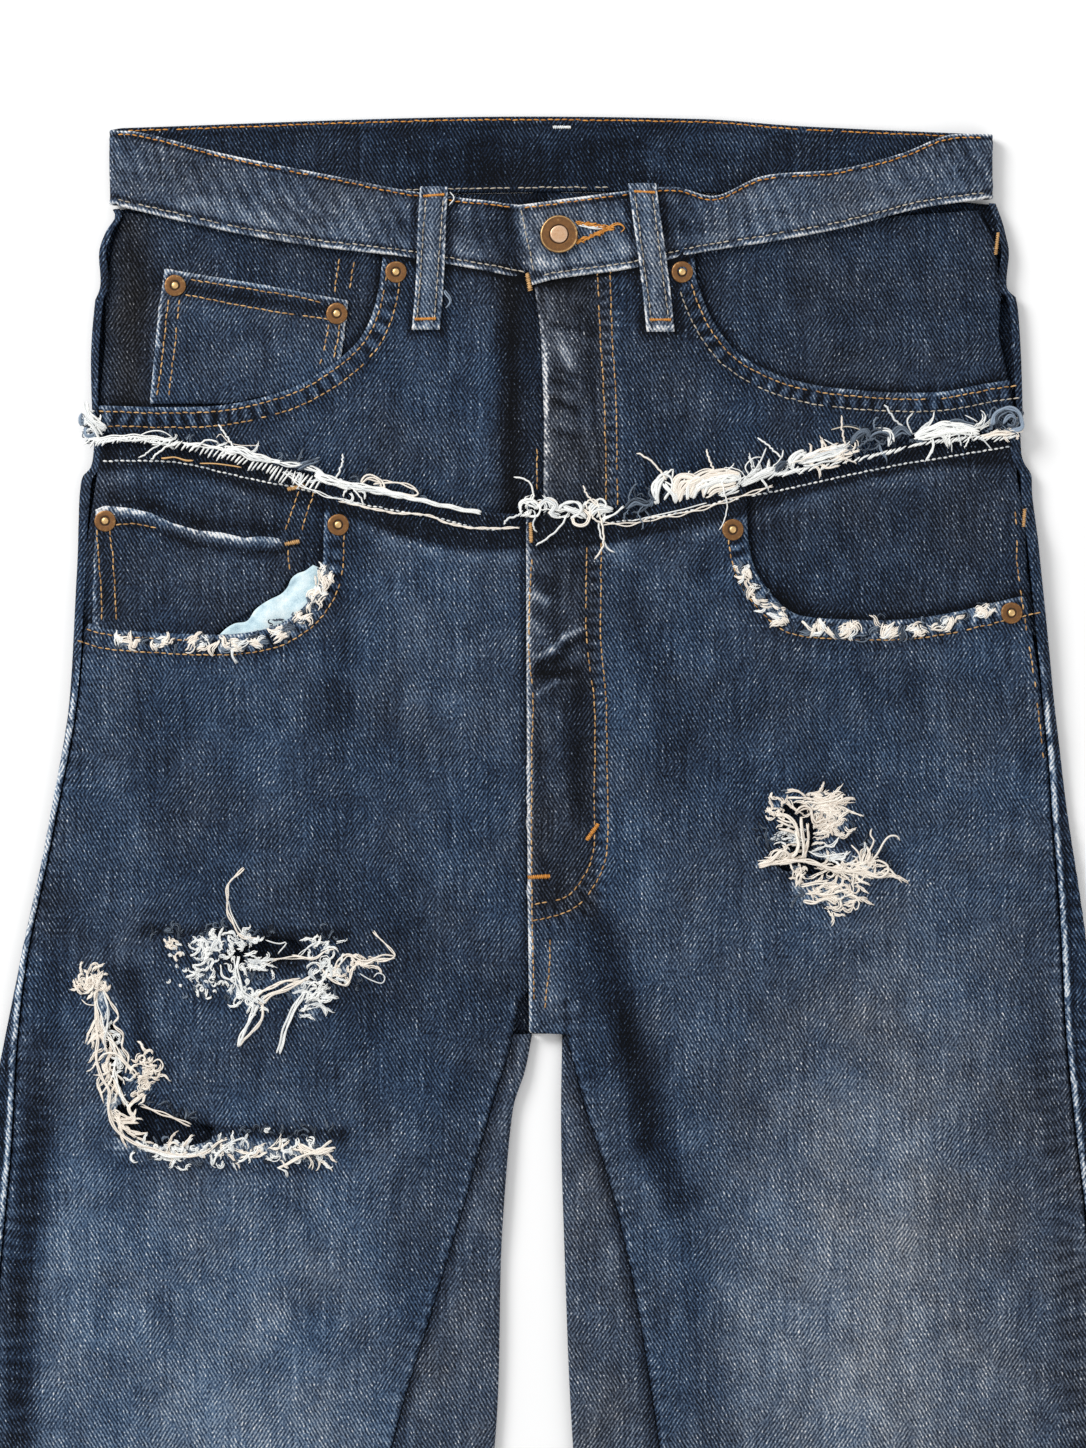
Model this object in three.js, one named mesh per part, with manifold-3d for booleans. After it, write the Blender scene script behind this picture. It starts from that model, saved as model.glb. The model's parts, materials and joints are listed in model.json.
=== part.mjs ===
// A pair of ripped, wide-leg jeans with a double waist, laid flat on its back.
// The top of one pair, cut off below its front pockets, is tucked into the raw top edge of a
// second pair. Millimetres: X across, Y up the garment from the crotch to the waist, Z off the floor.
import * as THREE from "three";
import Module from "manifold-3d";
import { mergeVertices } from "three/addons/utils/BufferGeometryUtils.js";

const wasm = await Module();
wasm.setup();

// ---- driving dimensions ----
const seamGap = 0.3; // between two pieces that are sewn together
const denim = 1.4; // one ply of denim
const bandPly = 2.6; // the waistband, two plies and its turnings
const facingPly = 1.2;
const patchPly = 0.9; // coin pockets and pocket bag
const backPocketPly = 1.0;
const loopPly = 1.6;
const loopWidth = 13.2;
const hemY = -780; // inside leg length below the crotch
const bandTopZ = 9.2; // top of the waistband's front stretch
const rivetRadius = 5;
const rivetHeight = 1.7;
const buttonRadius = 8.8;
const tuckDepth = 25; // how far the upper pair reaches inside the lower one
const lowerTopY = 284; // raw top edge of the lower pair's back
const wrapStartY = 285; // the upper pair's sides wrap round above this
const upperTopY = 399;

// Heights of the plies from the floor, at the pieces that lie on one another.
const tuckedBackZ = 1.7;
const tuckedFrontZ = 3.5;
const upperFrontZ = 6.4;
const upperFacingZ = 3.4;
const upperCoinZ = 4.9;
const lowerFacingZ = 5.6;
const lowerPatchZ = 7.1;
const lowerHipZ = 8.3;
const legFrontZ = 5.0;
const liftedBackZ = 1.3; // a back panel where a pocket or loop lies under it

// ---- lines of the garment ----

// A smooth line through a few [along, across] points, read at any place along it.
function smoothLine(points) {
  const last = points.length - 1;
  const slopeAt = (i) => {
    const before = points[Math.max(i - 1, 0)];
    const after = points[Math.min(i + 1, last)];
    return (after[1] - before[1]) / (after[0] - before[0]);
  };
  return (along) => {
    const place = THREE.MathUtils.clamp(along, points[0][0], points[last][0]);
    const i = Math.max(points.findIndex(([end]) => end >= place), 1) - 1;
    const [start, first] = points[i];
    const [end, second] = points[i + 1];
    const span = end - start;
    const t = (place - start) / span;
    const bend = t * t * (3 - 2 * t);
    const leave = slopeAt(i) * span * (t * t * t - 2 * t * t + t);
    const arrive = slopeAt(i + 1) * span * (t * t * t - t * t);
    return first + (second - first) * bend + leave + arrive;
  };
}

function ramp(value, from, to) {
  return THREE.MathUtils.clamp((value - from) / (to - from), 0, 1);
}

// Outer folds of the lower pair, Y to X.
const lowerOuter = {
  left: smoothLine([
    [hemY, -359], [-450, -322], [-194, -291], [-9, -257], [50, -245], [92, -236],
    [148, -226], [194, -221.5], [227, -220], [243, -218.6], [256, -215], [284, -213],
  ]),
  right: smoothLine([
    [hemY, 313], [-450, 297], [-194, 281.5], [0, 259], [52, 253], [106, 245],
    [162, 238], [218, 229], [243, 228], [266, 224], [284, 223],
  ]),
};
// Inner folds of the legs, beside the gap between them.
const lowerInner = {
  left: smoothLine([
    [hemY, -117], [-450, -64], [-300, -41], [-194, -24.7], [-94, -21.2], [-35, -16], [-17, -10.3], [0, -7],
  ]),
  right: smoothLine([
    [hemY, 68], [-450, 35], [-300, 22], [-194, 12.2], [-82, 7.5], [-43, 6.6], [0, 7],
  ]),
};
// Inseams, which lie on top because the back panels come round the folds.
const inseam = {
  left: smoothLine([
    [hemY, -142], [-450, -112], [-300, -95], [-194, -73.3], [-134, -55.5], [-73, -37],
    [-31, -25.4], [-8, -17.9], [16, -13.6], [31, -10.6],
  ]),
  right: smoothLine([
    [hemY, 90], [-450, 76], [-300, 68], [-194, 53.1], [-118, 40.9], [-70, 29.6], [-35, 18.3],
    [-10, 11.6], [1, 9],
  ]),
};
// How far the side seams lie in from the outer folds.
const seamInset = {
  left: smoothLine([
    [hemY, 14], [-450, 26], [-194, 30], [-125, 21], [-59, 14.3], [0, 6.5], [50, 3], [284, 3],
  ]),
  right: smoothLine([[hemY, 12], [-194, 18], [-87, 16.2], [0, 15], [88, 9], [129, 6.6], [284, 5.5]]),
};
const upperOuter = {
  left: smoothLine([
    [230, -212], [285, -214], [302, -214.8], [324, -210.6], [353, -211], [371, -207.7],
    [383, -203.5], [392, -205.5],
  ]),
  right: smoothLine([
    [230, 222], [285, 224], [309, 222], [320, 216.8], [349, 217.6], [364, 216], [375, 214.3],
    [393, 210.6],
  ]),
};

// Lines across the garment, X to Y.
const rawEdge = smoothLine([
  [-216, 279], [-186, 281], [-151, 273.5], [-107, 261.3], [-78, 254.3], [-35, 246], [36, 246],
  [59, 256], [91, 261], [142, 270], [187, 279.7], [225, 281.5],
]);
const bandLower = {
  left: smoothLine([[-206, 390.6], [-151, 377.9], [-110, 370.8], [-63.5, 365.2], [-7, 355]]),
  right: smoothLine([
    [-7, 352.5], [4, 355.3], [41, 360.5], [72, 367.8], [107, 373.2], [141, 379.8], [176, 388.7],
    [210.6, 393.4],
  ]),
};
const bandUpper = {
  left: smoothLine([[-206, 425], [-192, 424.4], [-151, 414.1], [-100, 403.7], [-60, 396], [-14, 390.6]]),
  right: smoothLine([
    [-14, 390], [33, 396.2], [60, 398.6], [79, 394.5], [101, 403.7], [137, 407], [167, 414.5],
    [188, 422.8], [208, 423.5],
  ]),
};
const bandBackUpper = smoothLine([[-206, 427], [-41, 432.4], [72, 431.5], [118, 428.2], [210, 424]]);
const bandBackLower = smoothLine([[-206, 390.6], [0, 397], [210, 393.4]]);
const bandSide = { left: -206, right: 210 };
// Top of the upper yokes, under the band at the back and under its front stretch at the side folds.
const upperYokeTop = (x) => bandBackLower(x) - seamGap - 1.8 * ramp(Math.abs(x), 188, 198);
const flyEdge = smoothLine([[1, -8.5], [16, -8.5], [80, -9.2], [250, -9.9]]);
const upperFlyEdge = smoothLine([[220, -1.9], [318, -1.9], [353, -6.6]]);

// Yoke seams, from the side seam to the middle of the back, X's distance from the middle to Y.
const upperYokeSeam = (x) => 312 + 0.16 * Math.abs(x);
const lowerYokeSeam = (x) => 218 + 0.14 * Math.abs(x);

// ---- heights ----

// Underside of the lower pair's back: flat on the floor, a pocket's thickness up over the pockets.
function lowerBackZ(y) {
  return liftedBackZ * ramp(y, 26, 38) * (1 - ramp(y, 208, 220));
}

// Underside of the upper pair's back: over the lower one in the tuck, and over the belt loops.
function upperBackZ(y) {
  return tuckedBackZ * (1 - ramp(y, 290, 302)) + liftedBackZ * ramp(y, 340, 354);
}

// The largest folds of the fronts: [x, y] to [x, y], spread and height of each soft ridge.
const folds = [
  { from: [-30, 352], to: [-27, 262], spread: 7, height: 2.2 },
  { from: [14, 34], to: [44, -46], spread: 8, height: 2.4 },
  { from: [30, 52], to: [66, -80], spread: 12, height: 2.0 },
  { from: [-102, 165], to: [-70, 62], spread: 15, height: 1.8 },
  { from: [-148, 150], to: [-128, 80], spread: 14, height: 1.4 },
  { from: [120, 160], to: [92, 70], spread: 16, height: 1.6 },
  { from: [-24, 26], to: [-64, -60], spread: 9, height: 1.6 },
  { from: [-250, -420], to: [-130, -460], spread: 18, height: 1.8 },
  { from: [90, -430], to: [230, -400], spread: 18, height: 1.8 },
];

function foldHeight(x, y) {
  let height = 0;
  for (const fold of folds) {
    const runX = fold.to[0] - fold.from[0];
    const runY = fold.to[1] - fold.from[1];
    const along = (x - fold.from[0]) * runX + (y - fold.from[1]) * runY;
    const t = THREE.MathUtils.clamp(along / (runX * runX + runY * runY), 0, 1);
    const away = Math.hypot(x - fold.from[0] - t * runX, y - fold.from[1] - t * runY);
    height += fold.height * Math.exp(-((away / fold.spread) ** 2));
  }
  return height;
}

// The lower pair's front lies higher over its pockets than down the legs.
const lowerFrontZ = (y) => legFrontZ + (lowerHipZ - legFrontZ) * ramp(y, 110, 170);
const lowerTopZ = (y) => lowerFrontZ(y) + denim;
const upperTopZ = upperFrontZ + denim;

function lowerFrontUnderside(x, y) {
  return lowerFrontZ(y) + foldHeight(x, y);
}

function upperFrontUnderside(x, y) {
  const outOfTuck = ramp(y - rawEdge(x), 0, 16);
  return tuckedFrontZ + (upperFrontZ - tuckedFrontZ + foldHeight(x, y)) * outOfTuck;
}

// ---- solids ----

function toSolid(geometry) {
  const bare = geometry.clone();
  bare.deleteAttribute("normal");
  bare.deleteAttribute("uv");
  const merged = mergeVertices(bare, 1e-4);
  const vertProperties = new Float32Array(merged.attributes.position.array);
  const triVerts = new Uint32Array(merged.index.array);
  return new wasm.Manifold(new wasm.Mesh({ numProp: 3, vertProperties, triVerts }));
}

function toGeometry(solid) {
  const mesh = solid.getMesh();
  const geometry = new THREE.BufferGeometry();
  geometry.setAttribute("position", new THREE.BufferAttribute(new Float32Array(mesh.vertProperties), 3));
  geometry.setIndex(new THREE.BufferAttribute(new Uint32Array(mesh.triVerts), 1));
  geometry.computeVertexNormals();
  return geometry;
}

// A box whose points are moved: place(s, t, w) gives where each point of a unit box goes.
function shapedBox(across, along, place) {
  const geometry = new THREE.BoxGeometry(1, 1, 1, across, along, 1);
  const points = geometry.attributes.position;
  for (let i = 0; i < points.count; i += 1) {
    const [x, y, z] = place(points.getX(i) + 0.5, points.getY(i) + 0.5, points.getZ(i) + 0.5);
    points.setXYZ(i, x, y, z);
  }
  return turnedOut(geometry);
}

// The same mesh with its faces pointing out, whichever hand it was built with.
function turnedOut(geometry) {
  const points = geometry.attributes.position;
  const index = geometry.index.array;
  const corner = [new THREE.Vector3(), new THREE.Vector3(), new THREE.Vector3()];
  let volume = 0;
  for (let i = 0; i < index.length; i += 3) {
    corner.forEach((point, k) => point.fromBufferAttribute(points, index[i + k]));
    volume += corner[0].dot(corner[1].clone().cross(corner[2]));
  }
  if (volume < 0) {
    for (let i = 0; i < index.length; i += 3) {
      [index[i], index[i + 1]] = [index[i + 1], index[i]];
    }
  }
  return geometry;
}

// Cutting prisms run from below the whole garment to above it.
const belowAll = -10;
const aboveAll = 40;

function prism(outline, from, to) {
  const shape = new THREE.Shape(outline.map(([x, y]) => new THREE.Vector2(x, y)));
  const geometry = new THREE.ExtrudeGeometry(shape, { depth: to - from, bevelEnabled: false });
  return toSolid(geometry.translate(0, 0, from));
}

// A ply of denim over an outline, its underside at underside(x, y). Its rows follow rowY(x, row).
function ply(outline, columnWidth, rows, rowY, underside) {
  const xs = outline.map(([x]) => x);
  const margin = 1;
  const left = Math.min(...xs) - margin;
  const width = Math.max(...xs) + margin - left;
  const sheet = shapedBox(Math.round(width / columnWidth), rows.length - 1, (s, t, w) => {
    const x = left + s * width;
    const y = rowY(x, rows[Math.round(t * (rows.length - 1))]);
    return [x, y, underside(x, y) + w * denim];
  });
  return toSolid(sheet).intersect(prism(outline, belowAll, aboveAll));
}

function flatPly(outline, underside, thickness) {
  return prism(outline, underside, underside + thickness);
}

// Points of a line between two places along it; toPoint(place) gives each.
function sample(from, to, count, toPoint) {
  return Array.from({ length: count + 1 }, (_, i) => toPoint(from + ((to - from) * i) / count));
}


// Where the side seams lie: never nearer the edge than the round of the fold.
const foldMargin = 0.6;
function lowerSeamX(side, y) {
  const radius = (lowerTopZ(y) - lowerBackZ(y)) / 2;
  const inset = Math.max(seamInset[side](y), radius + foldMargin);
  return lowerOuter[side](y) + (side === "left" ? inset : -inset);
}
function upperSeamX(side, y) {
  const inset = (upperTopZ - upperBackZ(y)) / 2 + foldMargin;
  return upperOuter[side](y) + (side === "left" ? inset : -inset);
}

// Section of a wall's outside: from a seam on top, round a side fold and along the floor, and,
// with an inner fold, round that to the inseam. Each point has its outward direction.
const arcSteps = 4;
const floorSteps = 3;
function wallSection({ out, seam, end, inner, backZ, topZ, hand }) {
  const radius = (topZ - backZ) / 2;
  const midZ = (topZ + backZ) / 2;
  const points = [{ x: seam, z: topZ, nx: 0, nz: 1 }];
  const addArc = (centre, direction, from, to) => {
    for (let i = 0; i <= arcSteps; i += 1) {
      const angle = from + ((to - from) * i) / arcSteps;
      const nx = direction * Math.cos(angle);
      const nz = Math.sin(angle);
      points.push({ x: centre + nx * radius, z: midZ + nz * radius, nx, nz });
    }
  };
  const quarter = Math.PI / 2;
  addArc(out - hand * radius, hand, quarter, -quarter);
  const floorEnd = inner === undefined ? end : inner + hand * radius;
  const floorStart = out - hand * radius;
  for (let i = 1; i < floorSteps; i += 1) {
    points.push({ x: floorStart + ((floorEnd - floorStart) * i) / floorSteps, z: backZ, nx: 0, nz: -1 });
  }
  if (inner === undefined) {
    points.push({ x: end, z: backZ, nx: 0, nz: -1 });
  } else {
    addArc(inner + hand * radius, -hand, -quarter, quarter);
    points.push({ x: end, z: topZ, nx: 0, nz: 1 });
  }
  return points;
}

// A wall through sections at rows of Y; w runs from its inside to its outside.
function sectionWall(rows, sectionAt) {
  const sections = rows.map(sectionAt);
  const steps = sections[0].length - 1;
  return toSolid(
    shapedBox(steps, rows.length - 1, (s, t, w) => {
      const row = Math.round(t * (rows.length - 1));
      const point = sections[row][Math.round(s * steps)];
      const inwards = (1 - w) * denim;
      return [point.x - point.nx * inwards, rows[row], point.z - point.nz * inwards];
    }),
  );
}

const hands = { left: -1, right: 1 };

// Rows of Y that the panels on both sides of a seam share.
const legRows = [
  hemY, -700, -600, -500, -450, -400, -330, -260, -194, -150, -110, -73, -51, -35, -17, -8, 0,
];
const hipRows = [-6, 10, 26, 38, 60, 92, 110, 130, 150, 170, 194, 208, 220, 240, 262, lowerTopY];
const upperRows = [wrapStartY, 290, 302, 312, 324, 340, 354, 371, 383, upperTopY];

function lowerBackShell(side) {
  const hand = hands[side];
  const base = (y) => ({
    out: lowerOuter[side](y),
    seam: lowerSeamX(side, y) + (hand * seamGap) / 2,
    backZ: lowerBackZ(y),
    topZ: lowerTopZ(y),
    hand,
  });
  const leg = sectionWall(legRows, (y) => {
    const end = inseam[side](y) - (hand * seamGap) / 2;
    return wallSection({ ...base(y), inner: lowerInner[side](y), end });
  });
  const middle = (hand * seamGap) / 2;
  const hip = sectionWall(hipRows, (y) => {
    const end = y < 0 ? lowerInner[side](0) : middle;
    return wallSection({ ...base(y), end });
  });
  return leg.add(hip);
}

function upperBackShell(side) {
  const hand = hands[side];
  const middle = (hand * seamGap) / 2;
  const wrapped = sectionWall(upperRows, (y) =>
    wallSection({
      out: upperOuter[side](y),
      seam: upperSeamX(side, y) + (hand * seamGap) / 2,
      end: middle,
      backZ: upperBackZ(y),
      topZ: upperTopZ,
      hand,
    }),
  );
  const tailSide = upperOuter[side](wrapStartY) - hand * 6;
  const tail = [[middle, 226], [tailSide, 254], [tailSide, 290], [middle, 290]];
  return wrapped.add(flatPly(tail, tuckedBackZ, denim));
}

// ---- outlines of the fronts ----

const pocketMouth = {
  upperLeft: [
    [-77, 367], [-80, 347], [-84, 334.6], [-91, 324], [-106, 312], [-123, 303.2], [-151, 296.4],
    [-176, 295.2], [-212, 296],
  ],
  upperRight: [
    [69, 368], [71, 353], [78, 336], [89, 321.5], [107, 311], [124, 306], [141.5, 303.6], [164.5, 302],
    [187, 302.6], [205, 306], [221, 308.5],
  ],
  lowerLeft: [
    [-104, 261], [-105, 232], [-105.5, 221], [-108, 211], [-115, 200.7], [-128, 192.2], [-147, 188.5],
    [-168, 188.5], [-186, 189.4], [-207, 191.3], [-219, 195],
  ],
  lowerRight: [
    [94, 262], [94, 242], [95.4, 227], [99.6, 215.3], [110, 202.6], [118, 197.5], [137, 195.5],
    [164.5, 195.2], [187.5, 198], [211, 203.5], [230, 208],
  ],
};

// What is cut away above a pocket's mouth, out to past the side and past the top.
function mouthPrism(mouth, side, top) {
  const far = hands[side] * 240;
  const low = mouth[mouth.length - 1][1];
  return prism([...mouth, [far, low], [far, top], [mouth[0][0], top]], belowAll, aboveAll);
}

function upperFrontOutline(side) {
  const hand = hands[side];
  const bottom = (x) => rawEdge(x) - tuckDepth;
  const sideX = (y) => upperSeamX(side, Math.max(y, wrapStartY)) - (hand * seamGap) / 2;
  const centreX = (y) => upperFlyEdge(y) + (side === "left" ? -seamGap : 0);
  const cornerX = sideX(wrapStartY) - hand * 2;
  const topY = (x) => bandLower[side](x) - seamGap;
  const highest = 383;
  const centreTopX = side === "left" ? -8.8 : upperFlyEdge(352);
  const overlapY = wrapStartY - 2;
  return [
    [cornerX, bottom(cornerX)],
    [cornerX, overlapY],
    ...upperRows.filter((y) => y <= highest).map((y) => [sideX(y), y]),
    ...sample(sideX(highest), centreTopX, 24, (x) => [x, topY(x)]),
    ...sample(351, bottom(centreX(240)), 4, (y) => [centreX(y), y]),
    ...sample(centreX(240), cornerX, 5, (x) => [x, bottom(x)]).slice(1, -1),
  ];
}

function upperFront(side) {
  const rowsAboveEdge = [-32, 0, 16, 34, 52, 70, 90, 112, 150];
  const rowY = (x, row) => rawEdge(x) + row;
  const panel = ply(upperFrontOutline(side), 19, rowsAboveEdge, rowY, upperFrontUnderside);
  return panel.subtract(mouthPrism(pocketMouth[side === "left" ? "upperLeft" : "upperRight"], side, 420));
}

function lowerFrontOutline(side) {
  const hand = hands[side];
  const sideX = (y) => lowerSeamX(side, y) - (hand * seamGap) / 2;
  const insideX = (y) => inseam[side](y) + (hand * seamGap) / 2;
  const sideY = 279;
  const seamRows = [...legRows, ...hipRows.slice(1)].filter((y) => y < sideY);
  const outer = [...seamRows, sideY].map((y) => [sideX(y), y]);
  const flyX = (y) => flyEdge(y) + (side === "left" ? -seamGap : 0);
  const top = sample(sideX(sideY), flyX(246), 14, (x) => [x, rawEdge(x)]).slice(1);
  const fly =
    side === "left"
      ? sample(230, 40, 4, (y) => [flyX(y), y])
      : [...sample(230, 16, 4, (y) => [flyX(y), y]), [-8.5, 0]];
  const crotchRows = side === "left" ? [28, 16] : [];
  const inner = [...crotchRows, ...legRows.toReversed()].map((y) => [insideX(y), y]);
  return [...outer, ...top, ...fly, ...inner];
}

// Holes worn right through the left thigh.
const rips = [
  [[-137, 42], [-131, 45], [-119, 44], [-116, 40], [-122, 37], [-133, 37.5]],
  [[-198, -31], [-186, -35], [-157, -43], [-164, -50.5], [-186, -51.5], [-198, -46]],
];

function lowerFront(side) {
  const rows = sample(hemY - 1, 290, 35, (y) => y);
  let panel = ply(lowerFrontOutline(side), 24, rows, (x, row) => row, lowerFrontUnderside);
  panel = panel.subtract(mouthPrism(pocketMouth[side === "left" ? "lowerLeft" : "lowerRight"], side, 330));
  if (side === "left") {
    for (const rip of rips) {
      panel = panel.subtract(prism(rip, belowAll, aboveAll));
    }
  }
  return panel;
}

// ---- pocket pieces ----

const facingOutline = {
  upperLeft: [
    [-211.5, 294], [-176, 293.4], [-151, 294.5], [-122, 301], [-104, 310], [-88, 322], [-78, 334], [-72, 348],
    [-69, 372], [-110, 378], [-151, 384], [-199, 387], [-204, 374], [-208, 352], [-208, 325],
  ],
  upperRight: [
    [218.5, 300], [187, 298], [164, 297], [141, 299], [122, 302], [104, 308], [86, 319], [73, 335], [65, 353],
    [62, 372], [107, 378], [141, 384], [203, 388], [211, 374], [214, 350], [212.5, 330], [216, 315],
  ],
  lowerLeft: [
    [-219, 184], [-168, 181], [-140, 183], [-120, 190], [-107, 200], [-98, 215], [-94, 232], [-92, 257.3],
    [-107, 261.3], [-151, 273.5], [-186, 280.5], [-209, 279.4], [-212.5, 256], [-217, 227],
  ],
  lowerRight: [
    [231, 188], [187, 188], [137, 186], [112, 190], [97, 203], [90, 220], [88, 240], [87, 260], [142, 270],
    [187, 279.5], [219.5, 281], [221, 262], [225, 240], [226, 218],
  ],
};

const patchOutline = {
  upperCoin: [
    [-180, 360.5], [-140, 354], [-93.5, 345.5], [-97, 318], [-104, 311.5], [-122, 303], [-150, 297],
    [-187, 297], [-183, 340],
  ],
  lowerCoin: [
    [-212, 246.3], [-207, 248.6], [-186, 245.3], [-164, 237], [-142, 233.6], [-127, 233.6], [-114.7, 228.4],
    [-114.7, 218.6], [-120.8, 215.3], [-126, 207.7], [-137.7, 200.7], [-152.8, 190.8], [-160, 184.5],
    [-214, 187],
  ],
  pocketBag: [
    [-110, 221], [-114.1, 218], [-120.2, 214.7], [-125.3, 207.1], [-137.1, 200.1], [-152, 190.2],
    [-156, 184.5], [-135, 184.5], [-117, 192], [-104, 204], [-101, 216],
  ],
};

const backPocket = { x: 108, topY: 206, halfTop: 75, halfFoot: 66, footY: 72, tipY: 42 };
function backPocketOutline(side) {
  const centre = hands[side] * backPocket.x;
  const { topY, halfTop, halfFoot, footY, tipY } = backPocket;
  return [
    [centre - halfTop, topY],
    [centre - halfFoot, footY],
    [centre, tipY],
    [centre + halfFoot, footY],
    [centre + halfTop, topY],
  ];
}

// Yoke and panel cut from one back: the outline from the yoke seam to another line across.
function cutPiece(shell, side, seamLine, otherLine) {
  const hand = hands[side];
  const shift = otherLine(0) > seamLine(0) ? seamGap / 2 : -seamGap / 2;
  const nearX = -hand;
  const farX = hand * 400;
  const seam = [[nearX, seamLine(0) + shift], [0, seamLine(0) + shift], [farX, seamLine(farX) + shift]];
  const other = sample(hand * 230, nearX, 30, (x) => [x, otherLine(x)]);
  return shell.intersect(prism([...seam, [farX, otherLine(farX)], ...other], belowAll, aboveAll));
}

// ---- waistband ----

// One long strip: from its buttonhole end on the left, round both side folds, to its button end.
function waistband() {
  const radius = (bandTopZ - liftedBackZ) / 2;
  const midZ = (bandTopZ + liftedBackZ) / 2;
  const frontAt = (side) => (x) => ({
    x, z: bandTopZ, nx: 0, nz: 1, low: bandLower[side](x), high: bandUpper[side](x), slant: 0,
  });
  const backAt = (x) => ({
    x, z: liftedBackZ, nx: 0, nz: -1, low: bandBackLower(x), high: bandBackUpper(x), slant: 0,
  });
  const turn = (side) =>
    Array.from({ length: 7 }, (_, i) => {
      const share = i / 6;
      const angle = Math.PI * (0.5 - share);
      const nx = hands[side] * Math.cos(angle);
      const nz = Math.sin(angle);
      const edge = bandSide[side];
      const low = THREE.MathUtils.lerp(bandLower[side](edge), bandBackLower(edge), share);
      const high = THREE.MathUtils.lerp(bandUpper[side](edge), bandBackUpper(edge), share);
      const x = edge - hands[side] * radius + nx * radius;
      return { x, z: midZ + nz * radius, nx, nz, low, high, slant: 0 };
    });
  const tabTop = -14;
  const tabFoot = -7;
  const tabCorner = 390;
  const end = (side, shift) => ({
    ...frontAt(side)(tabFoot), x: tabFoot + shift, high: tabCorner, slant: tabTop - tabFoot,
  });
  const stations = [
    end("left", -2 * seamGap),
    ...sample(-19, bandSide.left + radius + 6, 15, frontAt("left")),
    ...turn("left"),
    ...sample(bandSide.left + radius + 20, bandSide.right - radius - 20, 9, backAt),
    ...turn("right").reverse(),
    ...sample(bandSide.right - radius - 5, 6, 15, frontAt("right")),
    end("right", 0),
  ];
  const steps = stations.length - 1;
  return toSolid(
    shapedBox(steps, 1, (s, t, w) => {
      const station = stations[Math.round(s * steps)];
      const inwards = (1 - w) * bandPly;
      const x = station.x + station.slant * t - station.nx * inwards;
      return [x, THREE.MathUtils.lerp(station.low, station.high, t), station.z - station.nz * inwards];
    }),
  );
}

// A belt loop over the front of the band, its foot sewn to the panel below.
function frontLoop(top, foot) {
  const overBandZ = bandTopZ + seamGap;
  const overPanelZ = upperTopZ + seamGap;
  const rows = [0, 0.28, 0.46, 0.7, 1];
  const heights = [overPanelZ, overPanelZ, overBandZ, overBandZ, overBandZ];
  return toSolid(
    shapedBox(3, rows.length - 1, (s, t, w) => {
      const row = Math.round(t * (rows.length - 1));
      const share = rows[row];
      const y = THREE.MathUtils.lerp(foot[1], top[1], share);
      const x = THREE.MathUtils.lerp(foot[0], top[0], share) + (s - 0.5) * loopWidth;
      const crown = s > 0.1 && s < 0.9 ? 0.4 * w : 0;
      return [x, y, heights[row] + w * loopPly + crown];
    }),
  );
}

function backLoop(x) {
  const half = loopWidth / 2;
  const foot = 362;
  const top = 428;
  const thickness = 1.0;
  return flatPly([[x - half, foot], [x + half, foot], [x + half, top], [x - half, top]], 0, thickness);
}

// ---- metal ----

function rivet(z) {
  const profile = [
    new THREE.Vector2(0, 0),
    new THREE.Vector2(rivetRadius, 0),
    new THREE.Vector2(rivetRadius, 0.6),
    new THREE.Vector2(rivetRadius * 0.78, 1.1),
    new THREE.Vector2(rivetRadius * 0.42, 1.0),
    new THREE.Vector2(rivetRadius * 0.3, rivetHeight),
    new THREE.Vector2(0, rivetHeight),
  ];
  const sides = 10;
  return new THREE.LatheGeometry(profile, sides).rotateX(Math.PI / 2).translate(0, 0, z);
}

function buttonHead(z) {
  const profile = [
    new THREE.Vector2(0, 0),
    new THREE.Vector2(buttonRadius * 0.8, 0),
    new THREE.Vector2(buttonRadius, 0.9),
    new THREE.Vector2(buttonRadius, 1.8),
    new THREE.Vector2(buttonRadius * 0.85, 2.5),
    new THREE.Vector2(buttonRadius * 0.52, 1.9),
    new THREE.Vector2(buttonRadius * 0.46, 2.6),
    new THREE.Vector2(buttonRadius * 0.25, 3.0),
    new THREE.Vector2(0, 3.1),
  ];
  const sides = 24;
  return new THREE.LatheGeometry(profile, sides).rotateX(Math.PI / 2).translate(0, 0, z);
}

// ---- materials ----

const finish = (color, roughness, metalness) =>
  new THREE.MeshStandardMaterial({ color, roughness, metalness });
const materials = {
  upperDenim: finish(0x33425a, 0.9, 0),
  lowerDenim: finish(0x3a4c68, 0.9, 0),
  bandDenim: finish(0x525c70, 0.9, 0),
  facingDenim: finish(0x2d3b52, 0.9, 0),
  bagCotton: finish(0xc3ced2, 0.95, 0),
  antiqueBrass: finish(0x7a5a34, 0.45, 0.9),
};

// ---- the garment ----

const jeans = new THREE.Group();

function add(name, geometry, material, x = 0, y = 0) {
  const mesh = new THREE.Mesh(geometry, material);
  mesh.name = name;
  mesh.position.set(x, y, 0);
  jeans.add(mesh);
}

add("waistband", toGeometry(waistband()), materials.bandDenim);
add("belt_loop_front_left", toGeometry(frontLoop([-52.6, 397], [-57, 333])), materials.bandDenim);
add("belt_loop_front_right", toGeometry(frontLoop([45, 399], [53, 333])), materials.bandDenim);
for (const [name, x] of [["left", -118], ["center", 0], ["right", 122]]) {
  add(`belt_loop_back_${name}`, toGeometry(backLoop(x)), materials.bandDenim);
}

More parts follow.
